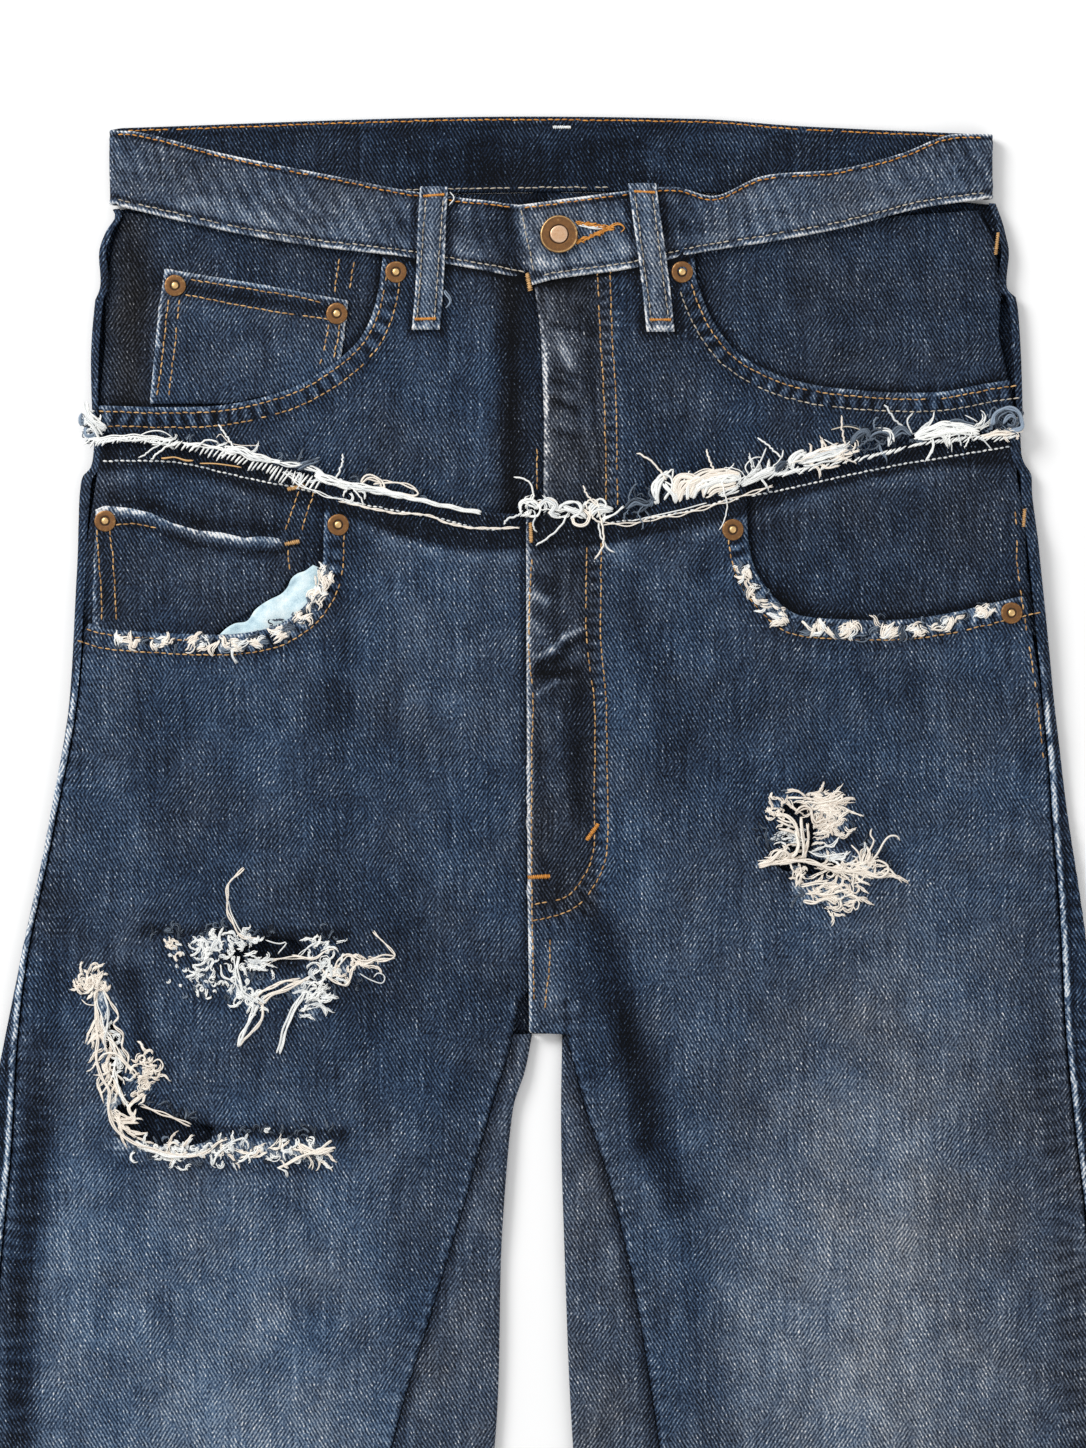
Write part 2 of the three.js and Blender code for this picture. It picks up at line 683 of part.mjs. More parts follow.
for (const side of ["left", "right"]) {
  const key = (level) => level + (side === "left" ? "Left" : "Right");
  const upperBack = upperBackShell(side);
  const lowerBack = lowerBackShell(side);
  const wholeTop = () => 500;
  const wholeFoot = () => -900;
  const upperFacing = flatPly(facingOutline[key("upper")], upperFacingZ, facingPly);
  const lowerFacing = flatPly(facingOutline[key("lower")], lowerFacingZ, facingPly);
  add(`upper_front_${side}`, toGeometry(upperFront(side)), materials.upperDenim);
  add(`upper_pocket_facing_${side}`, toGeometry(upperFacing), materials.facingDenim);
  const upperPieces = {
    yoke: cutPiece(upperBack, side, upperYokeSeam, upperYokeTop),
    back: cutPiece(upperBack, side, upperYokeSeam, wholeFoot),
  };
  add(`upper_yoke_${side}`, toGeometry(upperPieces.yoke), materials.upperDenim);
  add(`upper_back_${side}`, toGeometry(upperPieces.back), materials.upperDenim);
  add(`lower_front_${side}`, toGeometry(lowerFront(side)), materials.lowerDenim);
  add(`lower_pocket_facing_${side}`, toGeometry(lowerFacing), materials.facingDenim);
  const lowerPieces = {
    yoke: cutPiece(lowerBack, side, lowerYokeSeam, wholeTop),
    back: cutPiece(lowerBack, side, lowerYokeSeam, wholeFoot),
  };
  add(`lower_yoke_${side}`, toGeometry(lowerPieces.yoke), materials.lowerDenim);
  add(`lower_back_${side}`, toGeometry(lowerPieces.back), materials.lowerDenim);
  const pocket = flatPly(backPocketOutline(side), 0, backPocketPly);
  add(`lower_back_pocket_${side}`, toGeometry(pocket), materials.lowerDenim);
}

const patches = [
  ["upper_coin_pocket", patchOutline.upperCoin, upperCoinZ, materials.upperDenim],
  ["lower_coin_pocket", patchOutline.lowerCoin, lowerPatchZ, materials.lowerDenim],
  ["lower_pocket_bag_left", patchOutline.pocketBag, lowerPatchZ, materials.bagCotton],
];
for (const [name, outline, underside, material] of patches) {
  add(name, toGeometry(flatPly(outline, underside, patchPly)), material);
}

const upperCoinTopZ = upperCoinZ + patchPly;
const lowerCoinTopZ = lowerPatchZ + patchPly;
const lowerFrontTopZ = lowerHipZ + denim;
const rivets = [
  ["rivet_upper_pocket_left", -71, 358.6, upperTopZ],
  ["rivet_upper_pocket_right", 63.5, 358.6, upperTopZ],
  ["rivet_upper_coin_left", -175, 352.5, upperCoinTopZ],
  ["rivet_upper_coin_right", -98.9, 339.3, upperCoinTopZ],
  ["rivet_lower_coin_left", -207.6, 241.6, lowerCoinTopZ],
  ["rivet_lower_pocket_left", -98, 239.7, lowerFrontTopZ],
  ["rivet_lower_pocket_right", 87.2, 237.4, lowerFrontTopZ],
  ["rivet_lower_side_right", 218, 198.3, lowerFrontTopZ],
];
for (const [name, x, y, under] of rivets) {
  add(name, rivet(under + seamGap), materials.antiqueBrass, x, y);
}
add("button", buttonHead(bandTopZ + seamGap), materials.antiqueBrass, 5.6, 376);

// The origin is the middle of the garment's box, on the floor.
jeans.updateMatrixWorld(true);
const extent = new THREE.Box3().setFromObject(jeans);
const middle = extent.getCenter(new THREE.Vector3());
jeans.position.set(-middle.x, -middle.y, -extent.min.z);

export default jeans;
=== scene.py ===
import json
import math
import bpy
import bmesh
import numpy as np
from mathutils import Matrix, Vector
from mathutils.geometry import delaunay_2d_cdt
from mathutils.kdtree import KDTree

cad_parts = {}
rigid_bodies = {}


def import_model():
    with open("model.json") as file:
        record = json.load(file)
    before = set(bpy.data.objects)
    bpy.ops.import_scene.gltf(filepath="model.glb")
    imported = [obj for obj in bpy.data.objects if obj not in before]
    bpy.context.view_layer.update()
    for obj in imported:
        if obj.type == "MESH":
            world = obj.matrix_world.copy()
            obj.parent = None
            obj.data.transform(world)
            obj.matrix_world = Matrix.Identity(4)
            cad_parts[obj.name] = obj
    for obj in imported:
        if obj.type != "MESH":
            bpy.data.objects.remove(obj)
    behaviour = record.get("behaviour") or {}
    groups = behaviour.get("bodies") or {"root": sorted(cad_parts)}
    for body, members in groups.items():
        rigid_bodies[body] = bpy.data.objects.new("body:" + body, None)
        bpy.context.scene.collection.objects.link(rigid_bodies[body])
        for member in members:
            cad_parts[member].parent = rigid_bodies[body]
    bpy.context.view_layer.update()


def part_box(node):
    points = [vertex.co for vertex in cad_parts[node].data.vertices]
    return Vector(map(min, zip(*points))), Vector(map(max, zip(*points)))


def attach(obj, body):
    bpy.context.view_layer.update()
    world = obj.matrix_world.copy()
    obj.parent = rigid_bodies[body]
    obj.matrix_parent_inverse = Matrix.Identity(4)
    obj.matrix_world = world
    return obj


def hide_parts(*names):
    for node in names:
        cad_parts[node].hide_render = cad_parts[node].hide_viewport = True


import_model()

mm = 0.001

# Everything below is drawn flat in millimetres, x across and y along from the middle of the
# crotch, z up off the floor, and set down where the frame has the button.
buttonSpot = {"x": 5.6, "y": 376, "z": 9.5}
buttonLow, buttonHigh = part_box("button")
crotch = (buttonLow + buttonHigh) / 2 / mm - Vector((buttonSpot["x"], buttonSpot["y"], 0))


def toWorld(points):
    points = np.asarray(points, float)
    return (points + np.array([crotch.x, crotch.y, 0])) * mm


# Numbers, noise and lines

def rise(value, start, end):
    share = np.clip((value - start) / (end - start), 0, 1)
    return share * share * (3 - 2 * share)


def bell(distance, reach):
    return np.exp(-(distance / reach) ** 2)


noiseKnots = 97  # the noise repeats after this many sizes


def softNoise(x, y, size, seed):
    table = np.random.default_rng(seed).uniform(-1, 1, (noiseKnots, noiseKnots))
    x, y = np.asarray(x, float) / size, np.asarray(y, float) / size
    column, row = np.floor(x).astype(int), np.floor(y).astype(int)
    u, v = x - column, y - row
    u, v = u * u * (3 - 2 * u), v * v * (3 - 2 * v)

    def knot(right, up):
        return table[(column + right) % noiseKnots, (row + up) % noiseKnots]

    near = knot(0, 0) * (1 - u) + knot(1, 0) * u
    far = knot(0, 1) * (1 - u) + knot(1, 1) * u
    return near * (1 - v) + far * v


def waves(along, pitch, sway, x, y, size, seed):  # puckers a pitch apart that wander a little
    return np.sin(along * 2 * math.pi / pitch + sway * softNoise(x, y, size, seed))


def smoothLine(points):  # a smooth line through a few [along, across] points
    along, across = np.array(points, float).T
    after, before = np.r_[1:len(along), len(along) - 1], np.r_[0, 0:len(along) - 1]
    slope = (across[after] - across[before]) / (along[after] - along[before])

    def read(place):
        place = np.clip(np.asarray(place, float), along[0], along[-1])
        i = np.clip(np.searchsorted(along, place) - 1, 0, len(along) - 2)
        span = along[i + 1] - along[i]
        t = (place - along[i]) / span
        bend = t * t * (3 - 2 * t)
        leave = slope[i] * span * (t ** 3 - 2 * t * t + t)
        arrive = slope[i + 1] * span * (t ** 3 - t * t)
        return across[i] + (across[i + 1] - across[i]) * bend + leave + arrive

    return read


def pairs(numbers):
    return np.reshape(numbers, (-1, 2)).astype(float)


def evenly(points, step):  # the same path with points a step apart
    points = np.asarray(points, float)
    walked = np.r_[0, np.cumsum(np.linalg.norm(np.diff(points, axis=0), axis=1))]
    count = max(2, int(round(walked[-1] / step)) + 1)
    place = np.linspace(0, walked[-1], count)
    return np.column_stack([np.interp(place, walked, axis) for axis in points.T])


def curve(points, step=1.0):  # a smooth path through a few given points
    points = np.asarray(points, float)
    walked = np.r_[0, np.cumsum(np.linalg.norm(np.diff(points, axis=0), axis=1))]
    place = np.linspace(0, walked[-1], max(3, int(walked[-1] / 0.5) + 1))
    axes = [smoothLine(np.column_stack([walked, axis]))(place) for axis in points.T]
    return evenly(np.column_stack(axes), step)


def beside(path, distance):  # a path to the left of another
    run = np.gradient(path, axis=0)
    run /= np.linalg.norm(run, axis=1)[:, None]
    return path + distance * np.column_stack([-run[:, 1], run[:, 0]])


def nearPath(x, y, path):  # how far each point is from a path, and how far along it
    nearest, along = np.full(np.shape(x), 1e9), np.zeros(np.shape(x))
    walked = 0
    for (x0, y0), (x1, y1) in zip(path, path[1:]):
        runX, runY = x1 - x0, y1 - y0
        length = math.hypot(runX, runY)
        share = np.clip(((x - x0) * runX + (y - y0) * runY) / length ** 2, 0, 1)
        away = np.hypot(x - x0 - share * runX, y - y0 - share * runY)
        closer = away < nearest
        nearest = np.where(closer, away, nearest)
        along = np.where(closer, walked + share * length, along)
        walked += length
    return nearest, along


def marks(x, y, rows):  # soft marks, each [x, y, x, y, reach, amount] from end to end
    total = np.zeros(np.shape(x))
    for x0, y0, x1, y1, reach, amount in rows:
        away, _ = nearPath(x, y, [(x0, y0), (x1 + 1e-3, y1)])
        total += amount * bell(away, reach)
    return total


def inside(x, y, outline):
    hit = np.zeros(np.shape(x), bool)
    for (x0, y0), (x1, y1) in zip(outline, np.roll(outline, -1, axis=0)):
        if y0 == y1:
            continue
        crosses = (y0 > y) != (y1 > y)
        hit ^= crosses & (x < (x1 - x0) * (y - y0) / (y1 - y0) + x0)
    return hit


def areaOf(outline):
    x, y = np.asarray(outline, float).T
    return abs(np.dot(x, np.roll(y, -1)) - np.dot(y, np.roll(x, -1))) / 2


# Lines of the garment

hemY = -780
lowerOuter = {
    "left": smoothLine([
        [hemY, -359], [-450, -322], [-194, -291], [-9, -257], [50, -245], [92, -236],
        [148, -226], [194, -221.5], [227, -220], [243, -218.6], [256, -215], [284, -213]]),
    "right": smoothLine([
        [hemY, 313], [-450, 297], [-194, 281.5], [0, 259], [52, 253], [106, 245],
        [162, 238], [218, 229], [243, 228], [266, 224], [284, 223]]),
}
lowerInner = {
    "left": smoothLine([
        [hemY, -117], [-450, -64], [-300, -41], [-194, -24.7], [-94, -21.2], [-35, -16],
        [-17, -10.3], [0, -7]]),
    "right": smoothLine([
        [hemY, 68], [-450, 35], [-300, 22], [-194, 12.2], [-82, 7.5], [-43, 6.6], [0, 7]]),
}
inseam = {
    "left": smoothLine([
        [hemY, -142], [-450, -112], [-300, -95], [-194, -73.3], [-134, -55.5], [-73, -37],
        [-31, -25.4], [-8, -17.9], [16, -13.6], [31, -10.6]]),
    "right": smoothLine([
        [hemY, 90], [-450, 76], [-300, 68], [-194, 53.1], [-118, 40.9], [-70, 29.6],
        [-35, 18.3], [-10, 11.6], [1, 9]]),
}
seamInset = {
    "left": smoothLine([
        [hemY, 14], [-450, 26], [-194, 30], [-125, 21], [-59, 14.3], [0, 6.5], [50, 3], [284, 3]]),
    "right": smoothLine([
        [hemY, 12], [-194, 18], [-87, 16.2], [0, 15], [88, 9], [129, 6.6], [284, 5.5]]),
}
upperOuter = {
    "left": smoothLine([
        [230, -212], [285, -214], [302, -214.8], [324, -210.6], [353, -211], [371, -207.7],
        [383, -203.5], [392, -205.5]]),
    "right": smoothLine([
        [230, 222], [285, 224], [309, 222], [320, 216.8], [349, 217.6], [364, 216], [375, 214.3],
        [393, 210.6]]),
}
rawEdge = smoothLine([
    [-216, 279], [-186, 281], [-151, 273.5], [-107, 261.3], [-78, 254.3], [-35, 246], [36, 246],
    [59, 256], [91, 261], [142, 270], [187, 279.7], [225, 281.5]])
darkFoot = smoothLine([  # where the strip that was under the old waistband ends
    [-216, 265], [-186, 265.6], [-164, 263.2], [-135, 255.2], [-102, 245.8], [-78, 237.8],
    [-57, 231.2], [-35, 227.5], [-13, 228.4], [27, 230.8], [51, 235.5], [81, 241.1], [94, 244.4],
    [118, 253.3], [153, 261.8], [187, 267.4], [222, 268]])
bandLower = {
    "left": smoothLine([[-206, 390.6], [-151, 377.9], [-110, 370.8], [-63.5, 365.2], [-7, 355]]),
    "right": smoothLine([
        [-7, 352.5], [4, 355.3], [41, 360.5], [72, 367.8], [107, 373.2], [141, 379.8],
        [176, 388.7], [210.6, 393.4]]),
}
bandUpper = {
    "left": smoothLine([
        [-206, 425], [-192, 424.4], [-151, 414.1], [-100, 403.7], [-60, 396], [-14, 390.6]]),
    "right": smoothLine([
        [-14, 390], [33, 396.2], [60, 398.6], [79, 394.5], [101, 403.7], [137, 407], [167, 414.5],
        [188, 422.8], [208, 423.5]]),
}
bandBackUpper = smoothLine([[-206, 427], [-41, 432.4], [72, 431.5], [118, 428.2], [210, 424]])
bandBackLower = smoothLine([[-206, 390.6], [0, 397], [210, 393.4]])
flyEdge = smoothLine([[1, -8.5], [16, -8.5], [80, -9.2], [250, -9.9]])
upperFlyEdge = smoothLine([[220, -1.9], [318, -1.9], [353, -6.6]])
hands = {"left": -1, "right": 1}

mouths = {  # pocket mouths, from the waist down and out to the side
    "upperLeft": curve([
        [-77, 367], [-80, 347], [-84, 334.6], [-91, 324], [-106, 312], [-123, 303.2],
        [-151, 296.4], [-176, 295.2], [-212, 296]]),
    "upperRight": curve([
        [69, 368], [71, 353], [78, 336], [89, 321.5], [107, 311], [124, 306], [141.5, 303.6],
        [164.5, 302], [187, 302.6], [205, 306], [221, 308.5]]),
    "lowerLeft": curve([
        [-104, 261], [-105, 232], [-105.5, 221], [-108, 211], [-115, 200.7], [-128, 192.2],
        [-147, 188.5], [-168, 188.5], [-186, 189.4], [-207, 191.3], [-219, 195]]),
    "lowerRight": curve([
        [94, 262], [94, 242], [95.4, 227], [99.6, 215.3], [110, 202.6], [118, 197.5], [137, 195.5],
        [164.5, 195.2], [187.5, 198], [211, 203.5], [230, 208]]),
}
flyTurn = {  # the rows of stitches that hold the flies down
    "upperInner": curve([[23.7, 360], [24.9, 331.3], [26.8, 298.4], [27.7, 265.6], [27.7, 247]]),
    "upperOuter": curve([[29.6, 361], [30.5, 331.3], [32.4, 298.4], [32.9, 265.6], [33.4, 247]]),
    "lowerInner": curve([
        [18.8, 229.8], [18.3, 209.1], [18.8, 184.2], [22.1, 157.4], [22.6, 133.9], [22.1, 110.4],
        [22.1, 88.8], [18.8, 77.1], [10.3, 65.8], [0.5, 62.5], [-8.4, 60.8]]),
    "lowerOuter": curve([
        [25.4, 239.7], [25.4, 213.8], [25.4, 184.2], [27.7, 157.4], [28.2, 129.2], [28.2, 86.9],
        [24, 73.3], [15.5, 61.6], [7, 56.9], [-8.4, 53.1]]),
}
print("lines of the garment drawn")


# Heights and washes of the cloth

drapes = {"broad": 0.55, "middle": 0.28, "small": 0.13}  # how far the laid cloth rolls, by size
shadeOf = {  # how faded each cloth is, 0 unwashed to 1 worn white
    "lower": 0.34, "upper": 0.29, "upperFly": 0.27, "band": 0.405, "bandInside": 0.165,
    "upperFacing": 0.243, "upperCoin": 0.292, "lowerFacing": 0.245, "lowerCoin": 0.255,
    "lowerFly": 0.2, "sideStrip": 0.235, "unfaded": 0.04,
}
folds = [  # [x, y, x, y, reach, height] of each soft ridge
    [-30, 352, -27, 262, 7, 2.2], [14, 34, 44, -46, 8, 2.4], [30, 52, 66, -80, 12, 2.0],
    [-102, 165, -70, 62, 15, 1.8], [-148, 150, -128, 80, 14, 1.4], [120, 160, 92, 70, 16, 1.6],
    [-24, 26, -64, -60, 9, 1.6], [-250, -420, -130, -460, 18, 1.8], [90, -430, 230, -400, 18, 1.8],
]
creases = [  # smaller ridges and troughs that the eye still reads
    [-7, 179, 17, 191, 2.2, 1.3], [-4, 172, 14, 178, 2.6, -0.7], [-6, 150, 9, 146, 2.4, 0.7],
    [15, 160, 15.5, 104, 1.8, -0.9], [8, 120, 7, 88, 2.4, 0.6], [-2, 228, 26, 229, 1.6, -0.8],
    [2, 212, 14, 206, 3, 0.8], [33, 30, 36, -20, 3.2, 0.9], [47, 18, 52, -40, 3.6, 0.8],
    [27, 20, 26, -14, 2.8, -0.9], [58, -30, 60, -95, 4, -0.7], [42, 60, 60, 30, 5, 0.6],
    [-60, 232, -52, 196, 5, 0.7], [-88, 214, -96, 170, 5, -0.6], [-120, 172, -122, 120, 6, 0.6],
    [60, 232, 70, 190, 5, 0.6], [46, 214, 50, 160, 5, -0.5], [150, 176, 138, 120, 8, 0.6],
    [-46, 12, -78, -88, 5, 0.6], [-186, 172, -196, 110, 6, 0.5], [196, 176, 206, 96, 7, 0.6],
    [-52, 356, -49, 300, 5, 0.6], [-64, 330, -62, 276, 6, -0.5], [44, 352, 46, 300, 5, 0.6],
    [100, 292, 130, 282, 4, 0.5], [5, 340, 16, 330, 3, 0.6], [3, 318, 17, 311, 3, 0.7],
    [4, 300, 15, 296, 3, 0.5], [2, 282, 18, 275, 3, 0.6], [6, 262, 16, 258, 3, 0.5],
]
washesAndShading = {  # [x, y, x, y, reach, amount] of each soft patch of fading, and of painted light and shade on folds, creases and puckers
    "lower": [
        # mostly fades; the dark streaks along the crotch creases are painted shade
        [-94, 236, -101, 150, 9, -0.1], [-101, 150, -100, 96, 10, -0.05],
        [-190, 168, -186, 110, 11, -0.07], [-86, 230, -85, 222, 6, -0.1],
        [73, 227, 73, 219, 6, -0.09], [-60, 205, -54, 90, 26, 0.05],
        [-150, 130, -150, 60, 26, -0.03], [-90, 60, -80, 10, 24, -0.04],
        [-146, -110, -140, -210, 78, 0.12], [-224, -60, -238, -190, 17, 0.1],
        [-146, -240, -160, -700, 90, 0.12], [-22, 30, -60, -110, 17, -0.06],
        [-60, -110, -100, -300, 15, -0.03], [-236, 90, -252, 10, 8, -0.05],
        [-214, 80, -226, 20, 16, -0.04], [142, -84, 150, -150, 66, 0.17],
        [168, 20, 175, -40, 44, 0.06], [-160, 60, -120, 10, 40, -0.03],
        [55, 230, 200, 120, 60, -0.02], [86, 66, 214, 84, 26, 0.03], [100, 30, 210, 20, 30, 0.04],
        [150, -190, 150, -700, 76, 0.1], [55, 180, 60, 118, 10, -0.08],
        [40, 214, 44, 176, 8, -0.05], [25, 50, 60, -78, 9, -0.23], [36, 8, 44, -50, 7, -0.12],
        [66, -70, 78, -190, 9, -0.06], [14, 30, 22, -20, 6, -0.08], [226, 60, 232, -30, 9, -0.04],
        [120, 150, 128, 110, 18, 0.02], [-120, 24, -130, -60, 30, -0.02],
        [-12, 240, -12, 20, 5, -0.03], [86, 170, 92, 120, 9, -0.04],
        [-60, 120, -70, 20, 44, -0.065], [90, 160, 120, 130, 50, -0.03],
        [-232, 60, -262, -400, 10, -0.05], [33, 226, 34, 214, 5, 0.06], [44, 120, 48, 70, 8, 0.04],
    ],
    "upper": [
        # the dark band beside the fly is the painted shade of a fold, and the dark lines beside and
        # under the belt loops are painted shadows
        [80, 340, 60, 275, 60, -0.05], [-17.5, 354, -16.5, 247, 5.4, -0.3],
        [-7.5, 356, -6, 247, 5, -0.16], [-64.6, 333, -62, 366, 2.0, -0.22],
        [-49.4, 333, -46.4, 366, 2.4, -0.26], [45.2, 333, 42.4, 366, 2.0, -0.22],
        [61.6, 332, 57.4, 366, 2.4, -0.26], [-64, 330.4, -50, 330.4, 2.0, -0.2],
        [46, 329.4, 60, 329.4, 2.0, -0.2], [-34, 352, -31, 262, 5, 0.04],
        [-58, 330, -58, 270, 12, 0.04], [-120, 286, -90, 272, 12, 0.02],
        [60, 300, 90, 285, 15, 0.02], [46, 352, 46, 260, 7, -0.03], [150, 284, 200, 286, 8, -0.02],
    ],
    "upperFly": [
        # worn pale patches, with painted highlights and painted shade on the fly's puckers and
        # creases
        [2, 344, 4, 336, 2.6, 0.12], [5, 330, 7, 324, 2.6, 0.24], [8, 320, 11, 315, 2.6, 0.34],
        [3, 324, 12, 321, 1.6, 0.12], [12, 306, 10, 300, 3, 0.08], [2, 308, 12, 305, 1.5, -0.18],
        [3, 298, 14, 294, 1.5, -0.18], [2, 334, 15, 332, 1.7, -0.16],
        [3, 284, 14, 281, 1.5, -0.14], [3, 302, 13, 299, 1.4, 0.12], [3, 288, 12, 286, 1.4, 0.12],
        [16, 340, 20, 330, 3, -0.12], [3, 352, 20, 351, 3, -0.14], [4, 313, 12, 310, 2, -0.1],
        [0.5, 350, 0.5, 250, 2.2, 0.13], [18, 290, 22, 270, 3, 0.08], [6, 292, 12, 290, 2.5, 0.08],
        [14, 290, 14, 250, 4, -0.05], [21, 350, 24, 250, 3, -0.08], [4, 275, 10, 262, 5, 0.05],
        [18, 322, 20, 300, 3, -0.1],
    ],
    "lowerFly": [
        # the pale line down the fly's edge is wear; the pale lines on the creases are painted
        # highlights and the dark lines beside them painted shade
        [-8, 240, -8, 40, 2.4, 0.2], [0, 200, 10, 196, 6, 0.05], [4, 130, 8, 100, 6, 0.08],
        [16, 165, 16, 100, 3, -0.12], [0, 170, 8, 166, 3, -0.08], [0, 90, 10, 84, 5, 0.06],
        [2, 40, 0, 14, 5, 0.1], [-2, 222, 14, 222, 4, -0.05], [-5, 177.6, 2, 181, 1.4, 0.42],
        [2, 181, 8, 187, 1.4, 0.4], [8, 187.4, 16, 190.6, 1.3, 0.36],
        [-4, 173.6, 6, 177, 1.8, -0.22], [9, 182.4, 17, 186.6, 2.0, -0.22],
        [2, 185, 6, 189, 1.8, -0.12], [-5.5, 207, -1, 204, 2.2, 0.4],
        [-4, 221, -1, 219, 3.4, 0.18], [-6, 193, -3, 190, 2.6, 0.24], [-3, 185, 1, 184, 2, 0.12],
        [3, 214, 4, 193, 3, -0.1], [9, 225, 8, 200, 3.4, 0.09], [-5, 160, 4, 166, 1.6, 0.24],
        [4, 166, 12, 166.5, 1.6, 0.2], [-5, 170, 16, 171, 2.2, -0.2], [-1, 152, 0, 138, 2.6, 0.12],
        [10, 155, 12, 110, 3, -0.08], [5, 150, 6, 132, 1.6, 0.08], [14, 212, 13, 196, 2.2, 0.08],
        [12, 176, 16, 179, 1.8, 0.1],
    ],
}

frayed = {  # the same for cotton showing white through the blue
    "left": [
        [-162, 43, -142, 43, 4.5, 0.5], [-161, 42, -161, 25, 4, 0.45],
        [-178, 45, -173, 39, 3, 0.4], [-150, 28, -118, 24, 6, 0.3], [-146, 20, -138, 15, 4, 0.5],
        [-112, 42, -100, 40, 3, 0.35], [-110, 33, -98, 29, 5, 0.5], [-116, 22, -110, 12, 5, 0.5],
        [-98, 30, -78, 36, 4, 0.35], [-215, 25, -211, 22, 5, 0.6], [-210, 16, -204, -30, 4, 0.45],
        [-204, -34, -198, -44, 4, 0.6], [-200, -51, -106, -55, 5, 0.42],
        [-190, -12, -189, -26, 4, 0.5], [-199, 184.5, -193, 184.5, 4, 0.4],
        [-184, 184.5, -179, 184, 4, 0.35], [-168, 185, -162, 184.5, 4, 0.4],
        [-150, 184, -142, 184, 5, 0.45], [-124, 190, -118, 193.5, 4, 0.4],
        [-111, 204, -103, 218, 4, 0.4],
    ],
    "right": [
        [110, 109, 135, 108, 4, 0.5], [133, 107, 137, 100, 5, 0.6], [124, 102, 131, 92, 7, 0.4],
        [104, 93, 115, 92, 4, 0.3], [122, 67, 141, 67, 8, 0.45], [117, 77, 118, 70, 3, 0.4],
        [126, 83, 146, 82, 4, 0.35], [100, 80, 156, 76, 3, 0.4], [96, 210, 102, 203, 4, 0.4],
        [106, 199, 112, 194, 4, 0.35], [122, 190.5, 146, 190, 4, 0.35],
        [154, 189, 164, 189, 4.5, 0.45], [183, 192, 192, 194.5, 4, 0.4],
        [201, 197, 210, 200, 4, 0.35],
    ],
}
ripShade = {  # and for painted shade in the hollows and painted shadows round the rips
    "left": [
        [-190, 49, -96, 47, 3, -0.2], [-186, 46, -168, 34, 7, -0.08],
        [-150, 34, -104, 32, 9, -0.18], [-168, 20, -148, 14, 4, -0.08],
        [-120, 14, -104, 16, 5, -0.08], [-195, 28, -190, -12, 5.5, -0.24],
        [-203, 30, -198, 16, 4, -0.1], [-178, -6, -180, -22, 5, -0.12],
        [-186, -30, -160, -40, 4, -0.12], [-156, -45, -96, -47, 3.2, -0.24],
        [-200, -61, -104, -63, 3, -0.1], [-96, -52, -90, -54, 6, -0.06],
        [-208, 191, -160, 190, 2.5, -0.12], [-160, 180, -120, 183, 3, -0.08],
    ],
    "right": [
        [106, 116, 140, 117, 4, -0.1], [103, 100, 104, 84, 4, -0.1], [134, 92, 146, 92, 6, -0.14],
        [110, 88, 126, 86, 4, -0.14], [112, 76, 118, 66, 5, -0.1], [146, 70, 158, 68, 4, -0.08],
        [156, 84, 162, 78, 4, -0.1], [118, 74, 142, 75, 3, -0.16], [122, 60, 142, 59, 3, -0.08],
    ],
}

holes = {  # worn right through the left thigh, and through the right one
    "left": [
        [[-150, 38], [-144, 43], [-137, 42], [-131, 45.4], [-119, 44.4], [-114, 40.5],
         [-118, 36], [-126, 35], [-134, 37], [-143, 33.5]],
        [[-202, -33], [-196, -32], [-186, -35.4], [-172, -39.5], [-157, -43.6], [-158, -50],
         [-170, -52.5], [-184, -52], [-197, -48], [-203, -41]],
        [[-206, 6], [-203.4, 4], [-201.6, -10], [-200, -24], [-203, -28], [-205.6, -20],
         [-207, -6]]],
    "right": [
        [[111, 108], [118, 109.4], [124, 106], [127, 97], [124, 88], [117, 86], [111, 92]],
        [[104, 82], [113, 83.6], [128, 82.4], [141, 80], [139, 75.4], [127, 75], [112, 77]]],
}


def drape(x, y):
    return (drapes["broad"] * softNoise(x, y, 62, 11) + drapes["middle"] * softNoise(x, y, 27, 12)
            + drapes["small"] * softNoise(x, y, 11, 13))


def lowerLevel(y):  # top of the lower front, which lies higher over its pockets
    return 6.4 + 3.3 * np.clip((y - 110) / 60, 0, 1)


def hipLevel(side):  # the side fold steps down beside the pocket, where no front covers it
    mouthEnd = mouths["lower" + side.title()][-1][1]
    return lambda y: lowerLevel(y) - 2.6 * rise(y, mouthEnd - 5, mouthEnd + 3)


def lowerBackLevel(y):
    return 1.3 * np.clip((y - 26) / 12, 0, 1) * (1 - np.clip((y - 208) / 12, 0, 1))


def upperBackLevel(y):
    return 1.7 * (1 - np.clip((y - 290) / 12, 0, 1)) + 1.3 * np.clip((y - 340) / 14, 0, 1)


def lowerSeamX(side, y):
    inset = np.maximum(seamInset[side](y), (lowerLevel(y) - lowerBackLevel(y)) / 2 + 0.6)
    return lowerOuter[side](y) - hands[side] * inset


def upperSeamX(side, y):
    return upperOuter[side](y) - hands[side] * ((7.8 - upperBackLevel(y)) / 2 + 0.6)


def seamPath(seamX, side, start, end):
    rows = np.linspace(start, end, 60)
    return np.column_stack([seamX(side, rows), rows])


mouthPucker = 6.4  # mm from one pucker to the next along the pocket mouths


def blank(x, height, shade):
    flat = np.zeros(np.shape(x))
    return {"height": height + flat, "shade": shade + flat, "wear": flat.copy(),
            "grey": flat.copy()}


